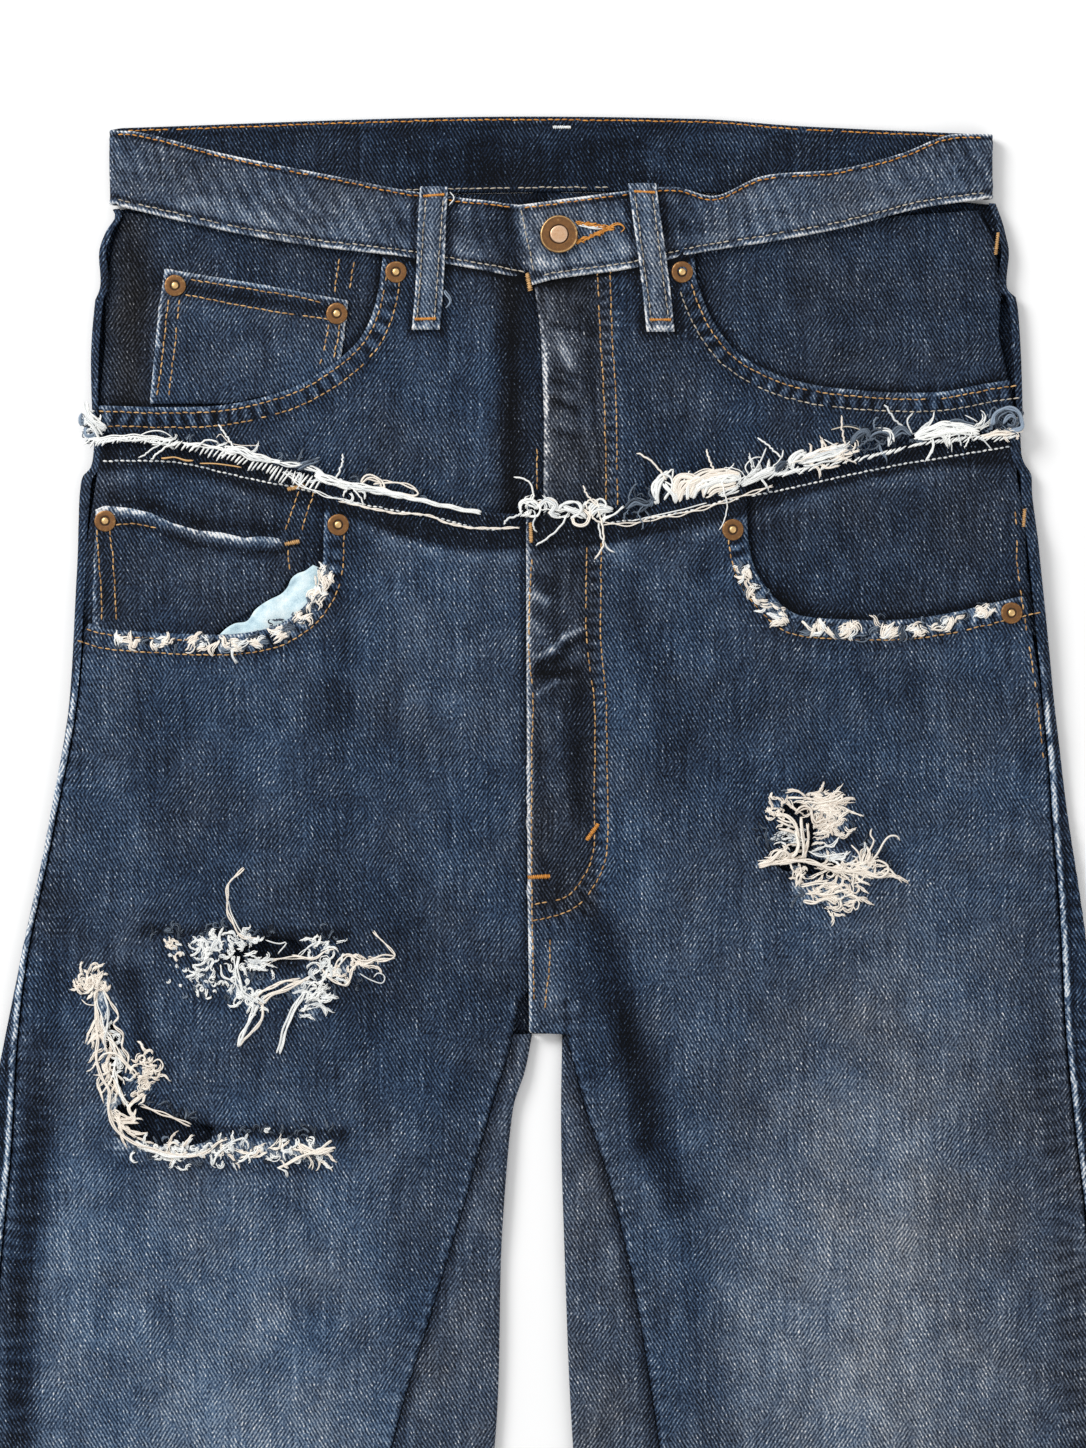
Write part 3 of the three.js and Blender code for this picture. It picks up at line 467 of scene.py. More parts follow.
def foldedEdge(cloth, x, y, path, width, rows, seed, worn):
    # A turned and stitched edge: a raised band that puckers between its rows of stitches.
    away, along = nearPath(x, y, path[::4])
    band = 1 - rise(away, width, width + 1.6)
    ripple = waves(along, mouthPucker, 2.6, x, y, 14, seed)
    ripple = np.clip(ripple * 1.8, -1, 1) * band * (0.7 + 0.5 * softNoise(x, y, 15, seed + 1))
    between = bell(away - (rows[0] + rows[-1]) / 2, (rows[-1] - rows[0]) / 2 + 0.6)
    cloth["height"] += 0.45 * band - 0.8 * bell(away, 0.7) + 0.36 * ripple * between
    # painted light and shade on the puckers, and a painted highlight along the lip
    cloth["shade"] += 0.21 * ripple * between - 0.05 * band + 0.17 * bell(away - 1.1, 1.3)
    cloth["shade"] += 0.05 * np.sin(along * 2 * math.pi / 1.7) * bell(away - 1.2, 1.5)
    # painted shadow just past the band
    cloth["shade"] -= 0.06 * bell(away - width - 2.4, 1.6)
    cloth["wear"] += worn * bell(away - 0.5, 1.1) * (0.8 + 0.5 * softNoise(x, y, 7, seed + 2))
    cloth["wear"] += 0.16 * np.clip(ripple, 0, 1) * between
    for row in rows:
        groove = bell(away - row, 0.8)
        cloth["height"] -= 0.34 * groove
        # painted shade in the stitch groove
        cloth["shade"] -= 0.1 * groove


def commonWash(cloth, x, y, seed):
    streaks = 0.018 * softNoise(x, y / 14, 3.2, seed) + 0.014 * softNoise(x, y / 9, 8, seed + 1)
    cloud = 0.025 * softNoise(x, y, 34, seed + 2) + 0.018 * softNoise(x, y, 12, seed + 3)
    cloth["shade"] += streaks + cloud


def unfadedStrip(cloth, x, y):  # dark strip below the raw edge, where the waistband came off
    below = rise(rawEdge(x) - y, -1, 1.5) * rise(y - darkFoot(x), -1.2, 1.2)
    cloth["shade"] += (shadeOf["unfaded"] - cloth["shade"]) * 0.94 * below
    # painted highlight along the fold just below the strip
    cloth["shade"] += 0.07 * bell(darkFoot(x) - 4 - y, 3.0) * (1 + softNoise(x, y, 9, 32))
    cloth["height"] += 0.25 * below * softNoise(x, y, 5, 31)
    return below


def lowerCloth(x, y, side):
    x, y = np.asarray(x, float), np.asarray(y, float)
    height = lowerLevel(y) + drape(x, y) + marks(x, y, folds) + marks(x, y, creases)
    cloth = blank(x, height, shadeOf["lower"])
    commonWash(cloth, x, y, 41)
    cloth["shade"] += marks(x, y, washesAndShading["lower"])
    cloth["grey"] += 0.15 + 0.5 * rise(x, 40, 150) * (1 - rise(y, -60, 120))
    if side == "left":
        cloth["height"] -= 1.9 * rise(x, flyEdge(y) - 3.5, flyEdge(y) + 0.5)
        # painted shade where the left front dips under the fly's edge
        cloth["shade"] -= 0.15 * rise(x, flyEdge(y) - 4, flyEdge(y))
        foldedEdge(cloth, x, y, mouths["lowerLeft"], 10.4, [3.0, 9.6], 51, worn=0.3)
    else:
        foldedEdge(cloth, x, y, mouths["lowerRight"], 10.8, [2.6, 9.4], 54, worn=0.3)
        flap = (x < 60) & (y > 0)
        outer, along = nearPath(x, y, flyTurn["lowerOuter"][::4])
        onFly = (1 - rise(x, 22, 26)) * rise(y, 50, 62)
        cloth["shade"] += (shadeOf["lowerFly"] - shadeOf["lower"]) * onFly
        cloth["shade"] += marks(x, y, washesAndShading["lowerFly"]) * flap
        cloth["grey"] += 0.45 * onFly
        edge = x - flyEdge(y)
        cloth["height"] += (0.5 * (1 - rise(edge, 4, 8)) - 0.8 * bell(edge, 0.8)) * flap
        cloth["height"] -= 0.28 * bell(edge - 2.3, 0.7) * flap
        cloth["wear"] += 1.0 * bell(edge - 0.2, 1.5) * flap
        ripple = waves(along, 5.4, 2, x, y, 12, 57)
        ripple = ripple * bell(outer - 3.2, 3.0) * (x < 27) * flap
        cloth["height"] += 0.36 * ripple
        # painted light and shade on the fly's puckers
        cloth["shade"] += 0.14 * ripple
        cloth["wear"] += 0.12 * np.clip(ripple, 0, 1)
        for path in (flyTurn["lowerInner"], flyTurn["lowerOuter"]):
            away, _ = nearPath(x, y, path[::4])
            cloth["height"] -= 0.26 * bell(away, 0.8)
            # painted shade in the stitch groove
            cloth["shade"] -= 0.06 * bell(away, 0.9)
    for which, start, end in (("side", hemY, 279), ("inner", hemY, 16)):
        if which == "side":
            path = seamPath(lowerSeamX, side, start, end)
        else:
            rows = np.linspace(start, end, 60)
            path = np.column_stack([inseam[side](rows), rows])
        away, along = nearPath(x, y, path)
        shown = 1 - 0.85 * rise(y, 150, 195)
        ripple = waves(along, 6.8, 3, x, y, 15, 61) * bell(away, 6)
        cloth["height"] += shown * (0.2 * ripple - 0.7 * bell(away, 1.0)
                                    + 0.3 * bell(away - 3, 2.5))
        # painted shade along the seam, a painted highlight on the ridge beside it, and painted
        # light and shade on the puckers
        cloth["shade"] += shown * (0.07 * ripple - 0.12 * bell(away, 1.2)
                                   + 0.04 * bell(away - 3, 1.6))
        cloth["wear"] += 0.2 * bell(away - 1.6, 1.2) * (1 + softNoise(x, y, 9, 62)) * shown
        if which == "side":
            felled = bell(away - 11, 8) * rise(-y, -40, 60)
            squares = waves(along, 8, 3, x, y, 18, 63)
            # a darker stripe along the side seam, with painted light and shade on its puckers
            cloth["shade"] += felled * (0.08 * squares - (0.24 if side == "left" else 0.06))
    bare = marks(x, y, frayed[side])
    cloth["wear"] += 1.25 * bare
    cloth["shade"] += marks(x, y, ripShade[side])
    cloth["height"] += 0.8 * np.clip(bare, 0, 0.6)
    for hole in holes[side]:
        away, _ = nearPath(x, y, hole + hole[:1])
        cloth["height"] += 0.45 * bell(away - 1.5, 1.6) - 0.5 * bell(away, 0.9)
        # painted shade round each hole's edge
        cloth["shade"] -= 0.16 * bell(away, 2.0)
    unfadedStrip(cloth, x, y)
    hem = y - hemY
    cloth["height"] += (0.5 * (1 - rise(hem, 12, 14)) - 0.5 * bell(hem, 0.9)
                        - 0.2 * bell(hem - 12, 1))
    cloth["wear"] += 0.7 * bell(hem, 2)
    return cloth


def upperCloth(x, y, side):
    x, y = np.asarray(x, float), np.asarray(y, float)
    outOfTuck = np.clip((y - rawEdge(x)) / 16, 0, 1)
    height = 4.9 + (2.9 + marks(x, y, folds) + marks(x, y, creases)) * outOfTuck + drape(x, y)
    cloth = blank(x, height, shadeOf["upper"])
    commonWash(cloth, x, y, 71)
    cloth["grey"] += 0.2
    if side == "left":
        cloth["shade"] += marks(x, y, washesAndShading["upper"]) * (x < 0)
        cloth["height"] -= 1.6 * rise(x, upperFlyEdge(y) - 3.5, upperFlyEdge(y) + 0.5)
        # the fold beside the fly is greyer as well as darker, both its painted shade
        cloth["grey"] += marks(x, y, [[-17.5, 354, -16.5, 247, 6, 0.5]])
        foldedEdge(cloth, x, y, mouths["upperLeft"], 10.2, [2.8, 9.4], 81, worn=0.6)
    else:
        cloth["shade"] += marks(x, y, washesAndShading["upper"]) * (x > 36)
        foldedEdge(cloth, x, y, mouths["upperRight"], 9.8, [3.1, 8.9], 84, worn=0.6)
        onFly = 1 - rise(x, 28, 32)
        edge = x - upperFlyEdge(y)
        cloth["shade"] += (shadeOf["upperFly"] - shadeOf["upper"]) * onFly
        cloth["shade"] += marks(x, y, washesAndShading["upperFly"]) * onFly
        cloth["grey"] += 0.6 * onFly
        cloth["height"] += 0.5 * (1 - rise(edge, 5, 9)) - 0.8 * bell(edge, 0.8)
        cloth["wear"] += 0.85 * bell(edge - 0.6, 1.3) * (1 + 0.7 * softNoise(x, y, 6, 85))
        outer, along = nearPath(x, y, flyTurn["upperOuter"][::4])
        ripple = waves(along, 5.2, 2, x, y, 12, 87)
        ripple = ripple * bell(outer - 2.8, 2.6) * (x < 33)
        cloth["height"] += 0.34 * ripple
        # painted light and shade on the fly's puckers
        cloth["shade"] += 0.15 * ripple
        cloth["wear"] += 0.18 * np.clip(ripple, 0, 1)
    bandAway = bandLower[side](x) - y
    ripple = waves(x, 7.5, 3, x, y, 20, 88) * bell(bandAway, 7)
    cloth["height"] += 0.2 * ripple
    # painted shadow under the waistband's lower edge, and painted light and shade on its ripples
    cloth["shade"] += 0.03 * ripple - 0.42 * bell(bandAway, 2.6)
    seam, _ = nearPath(x, y, seamPath(upperSeamX, side, 285, 390))
    cloth["height"] -= 0.6 * bell(seam, 1.2)
    # painted shade along the seam
    cloth["shade"] -= 0.1 * bell(seam, 1.6)
    edgeAway = y - rawEdge(x)
    # painted shadow just above the raw edge, where the lower front lies over this cloth
    cloth["shade"] -= 0.12 * bell(edgeAway, 3.5)
    return cloth


def pieceCloth(x, y, kind):  # facings, coin pockets and the pocket bag
    x, y = np.asarray(x, float), np.asarray(y, float)
    levels = {"upperFacing": 4.6, "upperCoin": 5.9, "lowerFacing": 6.8, "lowerCoin": 8.1,
              "bag": 8.2}
    cloth = blank(x, levels[kind] + drape(x, y), shadeOf.get(kind, 0.9))
    commonWash(cloth, x, y, 91 if kind.startswith("upper") else 95)
    cloth["grey"] += 0.32
    if kind == "upperFacing":
        for mouth in ("upperLeft", "upperRight"):
            away, _ = nearPath(x, y, mouths[mouth][::4])
            # painted shadow cast on the facing by the mouth's edge
            cloth["shade"] -= 0.22 * bell(away, 3.2)
        cloth["grey"] += marks(x, y, [[-196, 378, -196, 300, 11, 0.7]])
        cloth["shade"] += marks(x, y, [
            [-196, 378, -196, 300, 8, -0.09], [-190, 372, -193, 340, 5, -0.06],
            [120, 340, 180, 350, 22, 0.02], [-186, 356, -100, 340, 4, -0.12]])
    if kind == "lowerFacing":
        for mouth in ("lowerLeft", "lowerRight"):
            away, _ = nearPath(x, y, mouths[mouth][::4])
            # painted shadow cast on the facing by the mouth's edge
            cloth["shade"] -= 0.22 * bell(away, 3.6)
        # painted shade in the gap above the coin pocket's lip and beside the right pocket mouth
        cloth["shade"] += marks(x, y, [
            [-204, 252, -186, 249, 3, -0.16], [-186, 249, -164, 241, 3, -0.18],
            [-164, 241, -128, 237.5, 3, -0.18], [110, 205, 120, 200, 7, -0.15],
            [150, 225, 190, 235, 20, 0.02]])
        cloth["shade"] -= 0.03 * (x < 0)
        cloth["height"] += 0.9 * (1 - rise(x, -211, -202))
        unfadedStrip(cloth, x, y)
    if kind == "upperCoin":
        for path, reach in (([[-187, 297], [-183, 340], [-180, 360.5]], 8),
                            ([[-180, 360.5], [-140, 354], [-93.5, 345.5]], 7),
                            ([[-93.5, 345.5], [-97, 318]], 7)):
            away, along = nearPath(x, y, path)
            ripple = waves(along, 5, 2, x, y, 10, 97)
            cloth["height"] += 0.3 * (1 - rise(away, reach, reach + 1)) - 0.5 * bell(away, 0.8)
            cloth["height"] += 0.15 * ripple * bell(away - 4, 3)
            # painted light and shade on the puckers
            cloth["shade"] += 0.05 * ripple * bell(away - 4, 3)
            cloth["wear"] += 0.75 * bell(away, 1.5) * (1 + 0.6 * softNoise(x, y, 8, 98))
        cloth["shade"] += marks(x, y, [
            [-172, 351.5, -100, 340.5, 3.4, -0.22], [-140, 325, -120, 322, 22, 0.03],
            [-180, 336, -184, 305, 2.2, -0.1], [-174, 344, -100, 332, 2, 0.06]])
    if kind == "lowerCoin":
        away, _ = nearPath(x, y, [
            [-212, 246.3], [-207, 248.6], [-186, 245.3], [-164, 237], [-142, 233.6],
            [-127, 233.6]])
        cloth["height"] += 0.9 * bell(away, 2.5) + 0.6 * softNoise(x, y, 9, 99) * bell(away, 8)
        # a pale lip, partly worn and partly a painted highlight, and a painted shadow below it
        cloth["shade"] += 0.2 * bell(away - 1, 3.0) - 0.22 * bell(away - 6.4, 2.2)
        sideLip, _ = nearPath(x, y, [[-213.2, 240], [-212.6, 190]])
        cloth["wear"] += 0.8 * bell(away, 2.0) * (0.9 + 0.9 * softNoise(x, y, 3.4, 96))
        cloth["wear"] += 0.7 * bell(sideLip, 1.3)
        # darker along the pocket's left side and painted shade under the mouth's edge; the broad
        # pale patch is fading
        cloth["shade"] += marks(x, y, [
            [-206, 235, -204, 200, 5, -0.08], [-190, 190, -150, 189, 5, -0.1],
            [-174, 222, -150, 214, 14, 0.04]])
    if kind == "bag":
        cloth["height"] += marks(x, y, [
            [-108, 206, -116, 200, 3, 0.8], [-128, 200, -136, 192, 4, 0.9],
            [-118, 212, -126, 203, 2, -0.7], [-140, 196, -146, 189, 2, -0.4]])
    return cloth


# Mesh making

def makeObject(name, points, faces):
    mesh = bpy.data.meshes.new(name)
    mesh.from_pydata([tuple(p) for p in toWorld(points)], [], faces)
    mesh.update()
    mesh.polygons.foreach_set("use_smooth", [True] * len(mesh.polygons))
    made = bpy.data.objects.new(name, mesh)
    bpy.context.scene.collection.objects.link(made)
    return made


def paint(made, values):  # one number at each point, for the material to read
    for name, numbers in values.items():
        layer = made.data.attributes.new(name, "FLOAT", "POINT")
        layer.data.foreach_set("value", np.asarray(numbers, np.float32))


def settle(made, replaced, material, flat, area):
    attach(made, "root")
    if replaced:
        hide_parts(*replaced)
    made.data.materials.append(material)
    if flat is not None:
        area * mm * mm


def thicken(made, thickness):
    wall = made.modifiers.new("thickness", "SOLIDIFY")
    wall.thickness = thickness * mm
    wall.offset = -1
    wall.use_quality_normals = True


viewFoot = -205  # below this the cloth is plainer


def gridPoints(low, high, pitch):
    columns = np.arange(low[0], high[0], pitch)
    rows = np.arange(low[1], high[1], pitch * 0.866)
    x, y = np.meshgrid(columns, rows)
    x[1::2] += pitch / 2
    return x.ravel(), y.ravel()


def panelMesh(name, outline, cuts, cloth, fine, pitches):
    # A cut piece of cloth filled with triangles, closer together near its seams.
    rings = [evenly(np.vstack([ring, ring[:1]]), pitches["edge"])[:-1]
             for ring in [outline] + cuts]
    low, high = rings[0].min(axis=0), rings[0].max(axis=0)
    xs, ys = [], []
    for size, floor, ceiling in (
            (pitches["fine"], viewFoot, 999), (pitches["plain"], viewFoot, 999),
            (pitches["far"], -999, viewFoot)):
        x, y = gridPoints(low, high, size)
        kept = (y >= floor) & (y < ceiling)
        x, y = x[kept], y[kept]
        if floor == viewFoot:
            away = np.full(x.shape, 1e9)
            for path, reach in fine:
                away = np.minimum(away, nearPath(x, y, path)[0] - reach)
            kept = away < 0 if size == pitches["fine"] else away > size * 0.4
            x, y = x[kept], y[kept]
        kept = inside(x, y, rings[0])
        for hole in rings[1:]:
            kept &= ~inside(x, y, hole)
        xs.append(x[kept])
        ys.append(y[kept])
    x, y = np.concatenate(xs), np.concatenate(ys)
    ringPoints = np.vstack(rings)
    tree = KDTree(len(ringPoints))
    for i, (px, py) in enumerate(ringPoints):
        tree.insert((px, py, 0), i)
    tree.balance()
    clear = np.array([tree.find((px, py, 0))[2] for px, py in zip(x, y)]) > pitches["edge"] * 0.6
    points = np.vstack([ringPoints, np.column_stack([x[clear], y[clear]])])
    edges, start = [], 0
    for ring in rings:
        count = len(ring)
        edges += [(start + i, start + (i + 1) % count) for i in range(count)]
        start += count
    flat, _, faces, *_ = delaunay_2d_cdt([Vector(p) for p in points], edges, [], 0, 1e-5, False)
    flat = np.array([tuple(p) for p in flat])
    faces = np.array([f for f in faces if len(f) == 3])
    middle = flat[faces].mean(axis=1)
    kept = inside(middle[:, 0], middle[:, 1], rings[0])
    for hole in rings[1:]:
        kept &= ~inside(middle[:, 0], middle[:, 1], hole)
    faces = faces[kept]
    corners = flat[faces]
    sideA, sideB = corners[:, 1] - corners[:, 0], corners[:, 2] - corners[:, 0]
    turned = sideA[:, 0] * sideB[:, 1] - sideA[:, 1] * sideB[:, 0] < 0
    faces[turned] = faces[turned][:, ::-1]
    used = np.unique(faces)
    number = np.full(len(flat), -1)
    number[used] = np.arange(len(used))
    flat, faces = flat[used], number[faces]
    look = cloth(flat[:, 0], flat[:, 1])
    points = np.column_stack([flat, look.pop("height")])
    made = makeObject(name, points, faces.tolist())
    paint(made, look)
    return made, areaOf(outline) - sum(areaOf(cut) for cut in cuts), high - low


def gridMesh(name, points, looks, closed=False):
    # points is rows by columns by 3; looks has the same rows and columns.
    rows, columns = points.shape[:2]
    faces = []
    last = columns if closed else columns - 1
    for row in range(rows - 1):
        for column in range(last):
            right = (column + 1) % columns
            faces.append((row * columns + column, row * columns + right,
                          (row + 1) * columns + right, (row + 1) * columns + column))
    if closed:
        faces.append(tuple(reversed(range(columns))))
        faces.append(tuple(range((rows - 1) * columns, rows * columns)))
    made = makeObject(name, points.reshape(-1, 3), faces)
    paint(made, {key: value.reshape(-1) for key, value in looks.items()})
    return made


# Materials

def srgb(red, green, blue):  # a colour as the eye names it, 0 to 255, to linear light
    linear = [(c / 255 / 12.92) if c / 255 <= 0.04045 else ((c / 255 + 0.055) / 1.055) ** 2.4
              for c in (red, green, blue)]
    return (*linear, 1)


class Signal:  # a socket that takes part in plain arithmetic
    def __init__(self, shader, socket):
        self.shader, self.socket = shader, socket

    def join(self, operation, first, second):
        wide = any(isinstance(v, Signal) and v.socket.type != "VALUE" for v in (first, second))
        kind = "VectorMath" if wide else "Math"
        return self.shader.node(kind, {"operation": operation}, {0: first, 1: second})

    def __add__(self, other):
        return self.join("ADD", self, other)

    def __sub__(self, other):
        return self.join("SUBTRACT", self, other)

    def __rsub__(self, other):
        return self.join("SUBTRACT", other, self)

    def __mul__(self, other):
        return self.join("MULTIPLY", self, other)

    __radd__, __rmul__ = __add__, __mul__

    def clamped(self):
        return self.shader.node("Clamp", {}, {0: self})

    def toward(self, other, share):  # a colour mixed with another
        return self.shader.node("Mix", {"data_type": "RGBA"}, {0: share, 6: self, 7: other}, 2)


class Shader:
    def __init__(self, name):
        self.material = bpy.data.materials.new(name)
        self.material.use_nodes = True
        self.tree = self.material.node_tree
        self.surface = self.tree.nodes["Principled BSDF"]

    def feed(self, socket, value):
        if isinstance(value, Signal):
            self.tree.links.new(value.socket, socket)
        elif socket.type == "VECTOR" and isinstance(value, (int, float)):
            socket.default_value = (value, value, value)
        else:
            socket.default_value = value

    def node(self, kind, settings, sockets, out=0):
        made = self.tree.nodes.new("ShaderNode" + kind)
        for key, value in settings.items():
            if key == "stops":
                ramp = made.color_ramp
                while len(ramp.elements) < len(value):
                    ramp.elements.new(0.5)
                for element, (position, colour) in zip(ramp.elements, value):
                    element.position, element.color = position, colour
            else:
                setattr(made, key, value)
        for key, value in sockets.items():
            self.feed(made.inputs[key], value)
        return Signal(self, made.outputs[out])

    def painted(self, name):
        return self.node("Attribute", {"attribute_name": name}, {}, "Fac")

    def place(self):  # millimetres over the object
        return self.node("TexCoord", {}, {}, "Object") * 1000

    def noise(self, where, scale, detail=2, roughness=0.5):
        return self.node("TexNoise", {}, {"Vector": where * scale, "Scale": 1.0, "Detail": detail,
                                          "Roughness": roughness})

    def finish(self, sockets):
        for name, value in sockets.items():
            self.feed(self.surface.inputs[name], value)
        return self.material


denimLook = {
    "twillPitch": 1.55,  # mm between the ribs of the twill
    "twill": 0.17,       # how strongly each part of the weave shows
    "slub": 0.46,
    "grain": 1.12,
    "mottle": 0.32,
    "fleck": 0.25,
    "wear": 0.52,
    "roughness": 0.9,
    "sheen": 0.12,       # how much the cloth mirrors the lights
    "wash": [            # the dye from unwashed to worn white
        (0.00, srgb(6, 9, 15)), (0.12, srgb(17, 24, 37)), (0.25, srgb(30, 42, 61)),
        (0.36, srgb(44, 61, 84)), (0.46, srgb(61, 81, 107)), (0.56, srgb(83, 105, 132)),
        (0.68, srgb(116, 136, 159)), (0.82, srgb(163, 177, 190)), (1.00, srgb(234, 236, 238))],
}


def denim(name, look, shade=None):
    shader = Shader(name)
    place = shader.place()
    across, along = [shader.node("SeparateXYZ", {}, {0: place}, axis) for axis in "XY"]

    def stretched(acrossScale, alongScale):
        return shader.node("CombineXYZ", {}, {0: across * acrossScale, 1: along * alongScale})

    def ribs(direction):
        return shader.node("Math", {"operation": "SINE"}, {0: direction * turn})

    bend = shader.noise(place, 0.2, 2) * 1.1
    turn = 2 * math.pi / look["twillPitch"]
    patch = ((shader.noise(place, 0.022, 2) - 0.52) * 16).clamped()
    twill = (ribs(across * 0.86 + along * 0.5 + bend) * (1 - patch)
             + ribs(across * 0.84 - along * 0.54 + bend) * patch)
    broken = shader.noise(stretched(0.55, 0.42), 1, 2, 0.6) * 2.2
    slub = shader.noise(stretched(0.95, 0.035), 1, 3, 0.6) - 0.5
    weft = shader.noise(stretched(0.07, 1.0), 1, 2, 0.5) - 0.5
    grain = shader.noise(stretched(1.0, 0.72), 1, 3, 0.74) - 0.5
    mottle = shader.noise(place, 0.075, 4, 0.62) - 0.5
    flecks = ((slub * 1.7 + grain * 3.4 + twill * 0.22 - 0.52) * 2.8).clamped()
    # the painted "shade" layer holds each cloth's fade together with painted light and shade
    base = shader.painted("shade") if shade is None else shade
    wear = shader.painted("wear") if shade is None else 0.1
    ragged = shader.noise(place, 0.42, 4, 0.68)
    worn = ((ragged - 0.62) * 2.4 + wear * 1.5 if shade is None else ragged * 0).clamped()
    value = (base + twill * broken * look["twill"] + slub * look["slub"]
             + weft * (look["slub"] * 0.3) + grain * look["grain"] + mottle * look["mottle"]
             + flecks * look["fleck"] + worn * look["wear"])
    dye = shader.node("ValToRGB", {"stops": look["wash"]}, {0: value})
    bare = shader.node("RGBToBW", {}, {0: dye})
    plain = shader.node("Mix", {"data_type": "RGBA", "blend_type": "MULTIPLY"},
                        {0: 1.0, 6: bare, 7: (1.07, 1.0, 0.95, 1)}, 2)
    cast = (shader.noise(place, 0.03, 3) - 0.5) * 1.5 + (shader.noise(place, 0.4, 2) - 0.5) * 0.7
    grey = (shader.painted("grey") * 0.62 + cast * 0.5).clamped() if shade is None else 0.2
    colour = dye.toward(plain, grey)
    bump = shader.node("Bump", {}, {
        "Strength": 0.6, "Distance": 0.0006,
        "Height": twill * broken * 0.25 + grain * 1.3 + slub * 0.7 + worn * 0.3})
    return shader.finish({"Base Color": colour, "Roughness": look["roughness"],
                          "Specular IOR Level": look["sheen"], "Normal": bump})


threadLooks = {  # darkest and lightest of each thread, and how rough it is
    "gold": [srgb(132, 94, 54), srgb(228, 184, 126), 0.6],
    "orange": [srgb(160, 98, 34), srgb(232, 164, 80), 0.6],
    "beige": [srgb(132, 122, 108), srgb(214, 204, 186), 0.7],
    # the dark ends of cotton and cream stand for painted shade among the fibres
    "cotton": [srgb(160, 172, 184), srgb(254, 254, 250), 0.85],
    "cream": [srgb(198, 178, 160), srgb(254, 247, 236), 0.85],
    "blueYarn": [srgb(20, 27, 40), srgb(150, 166, 184), 0.85],
}


def thread(name, look):
    shader = Shader(name)
    dark, light, roughness = look
    fuzz = shader.noise(shader.place(), 2.4, 2)
    tint = (shader.painted("tint") + (fuzz - 0.5) * 0.7).clamped()
    colour = shader.node("ValToRGB", {"stops": [(0.0, dark), (1.0, light)]}, {0: tint})
    bump = shader.node("Bump", {}, {"Strength": 0.5, "Distance": 0.0003, "Height": fuzz})
    return shader.finish({"Base Color": colour, "Roughness": roughness,
                          "Specular IOR Level": 0.25, "Normal": bump})


def bagCloth(name):
    shader = Shader(name)
    place = shader.place()
    cloud = shader.noise(place, 0.16, 3)
    weave = shader.noise(place, 1.6, 2)
    tone = (cloud * 0.7 + weave * 0.3 + shader.painted("shade") - 0.9).clamped()
    colour = shader.node("ValToRGB", {"stops": [
        (0.25, srgb(142, 170, 186)), (0.45, srgb(196, 220, 228)), (0.7, srgb(238, 246, 246))]},
        {0: tone})
    bump = shader.node("Bump", {}, {"Strength": 0.4, "Distance": 0.0004, "Height": weave + cloud})
    return shader.finish({"Base Color": colour, "Roughness": 0.85,
                          "Specular IOR Level": 0.2, "Normal": bump})


def metal(name, bright, middle, patina, roughness):
    shader = Shader(name)
    place = shader.place()
    stain = shader.noise(place, 0.55, 4, 0.65)
    fine = shader.noise(place, 3.0, 3, 0.7)
    dull = (shader.painted("hollow") + (stain - 0.5) * 0.7 + (fine - 0.5) * 0.3).clamped()
    colour = shader.node("ValToRGB", {"stops": [(0.0, bright), (0.4, middle), (1.0, patina)]},
                         {0: dull})
    bump = shader.node("Bump", {}, {"Strength": 0.3, "Distance": 0.0002, "Height": fine})
    return shader.finish({"Base Color": colour, "Metallic": 1 - dull * 0.7,
                          "Roughness": dull * 0.35 + roughness, "Normal": bump})


denimCloth = denim("washedDenim", denimLook)
hiddenCloth = denim("plainDenim", denimLook, 0.34)
threadOf = {name: thread(name + "Thread", look) for name, look in threadLooks.items()}
bagCotton = bagCloth("pocketCotton")
brass = metal("antiqueBrass", srgb(240, 200, 140), srgb(132, 92, 54), srgb(30, 20, 14), 0.36)
pale = metal("paleBrass", srgb(240, 206, 176), srgb(206, 164, 126), srgb(96, 66, 44), 0.36)
print("materials made")


# Cut panels

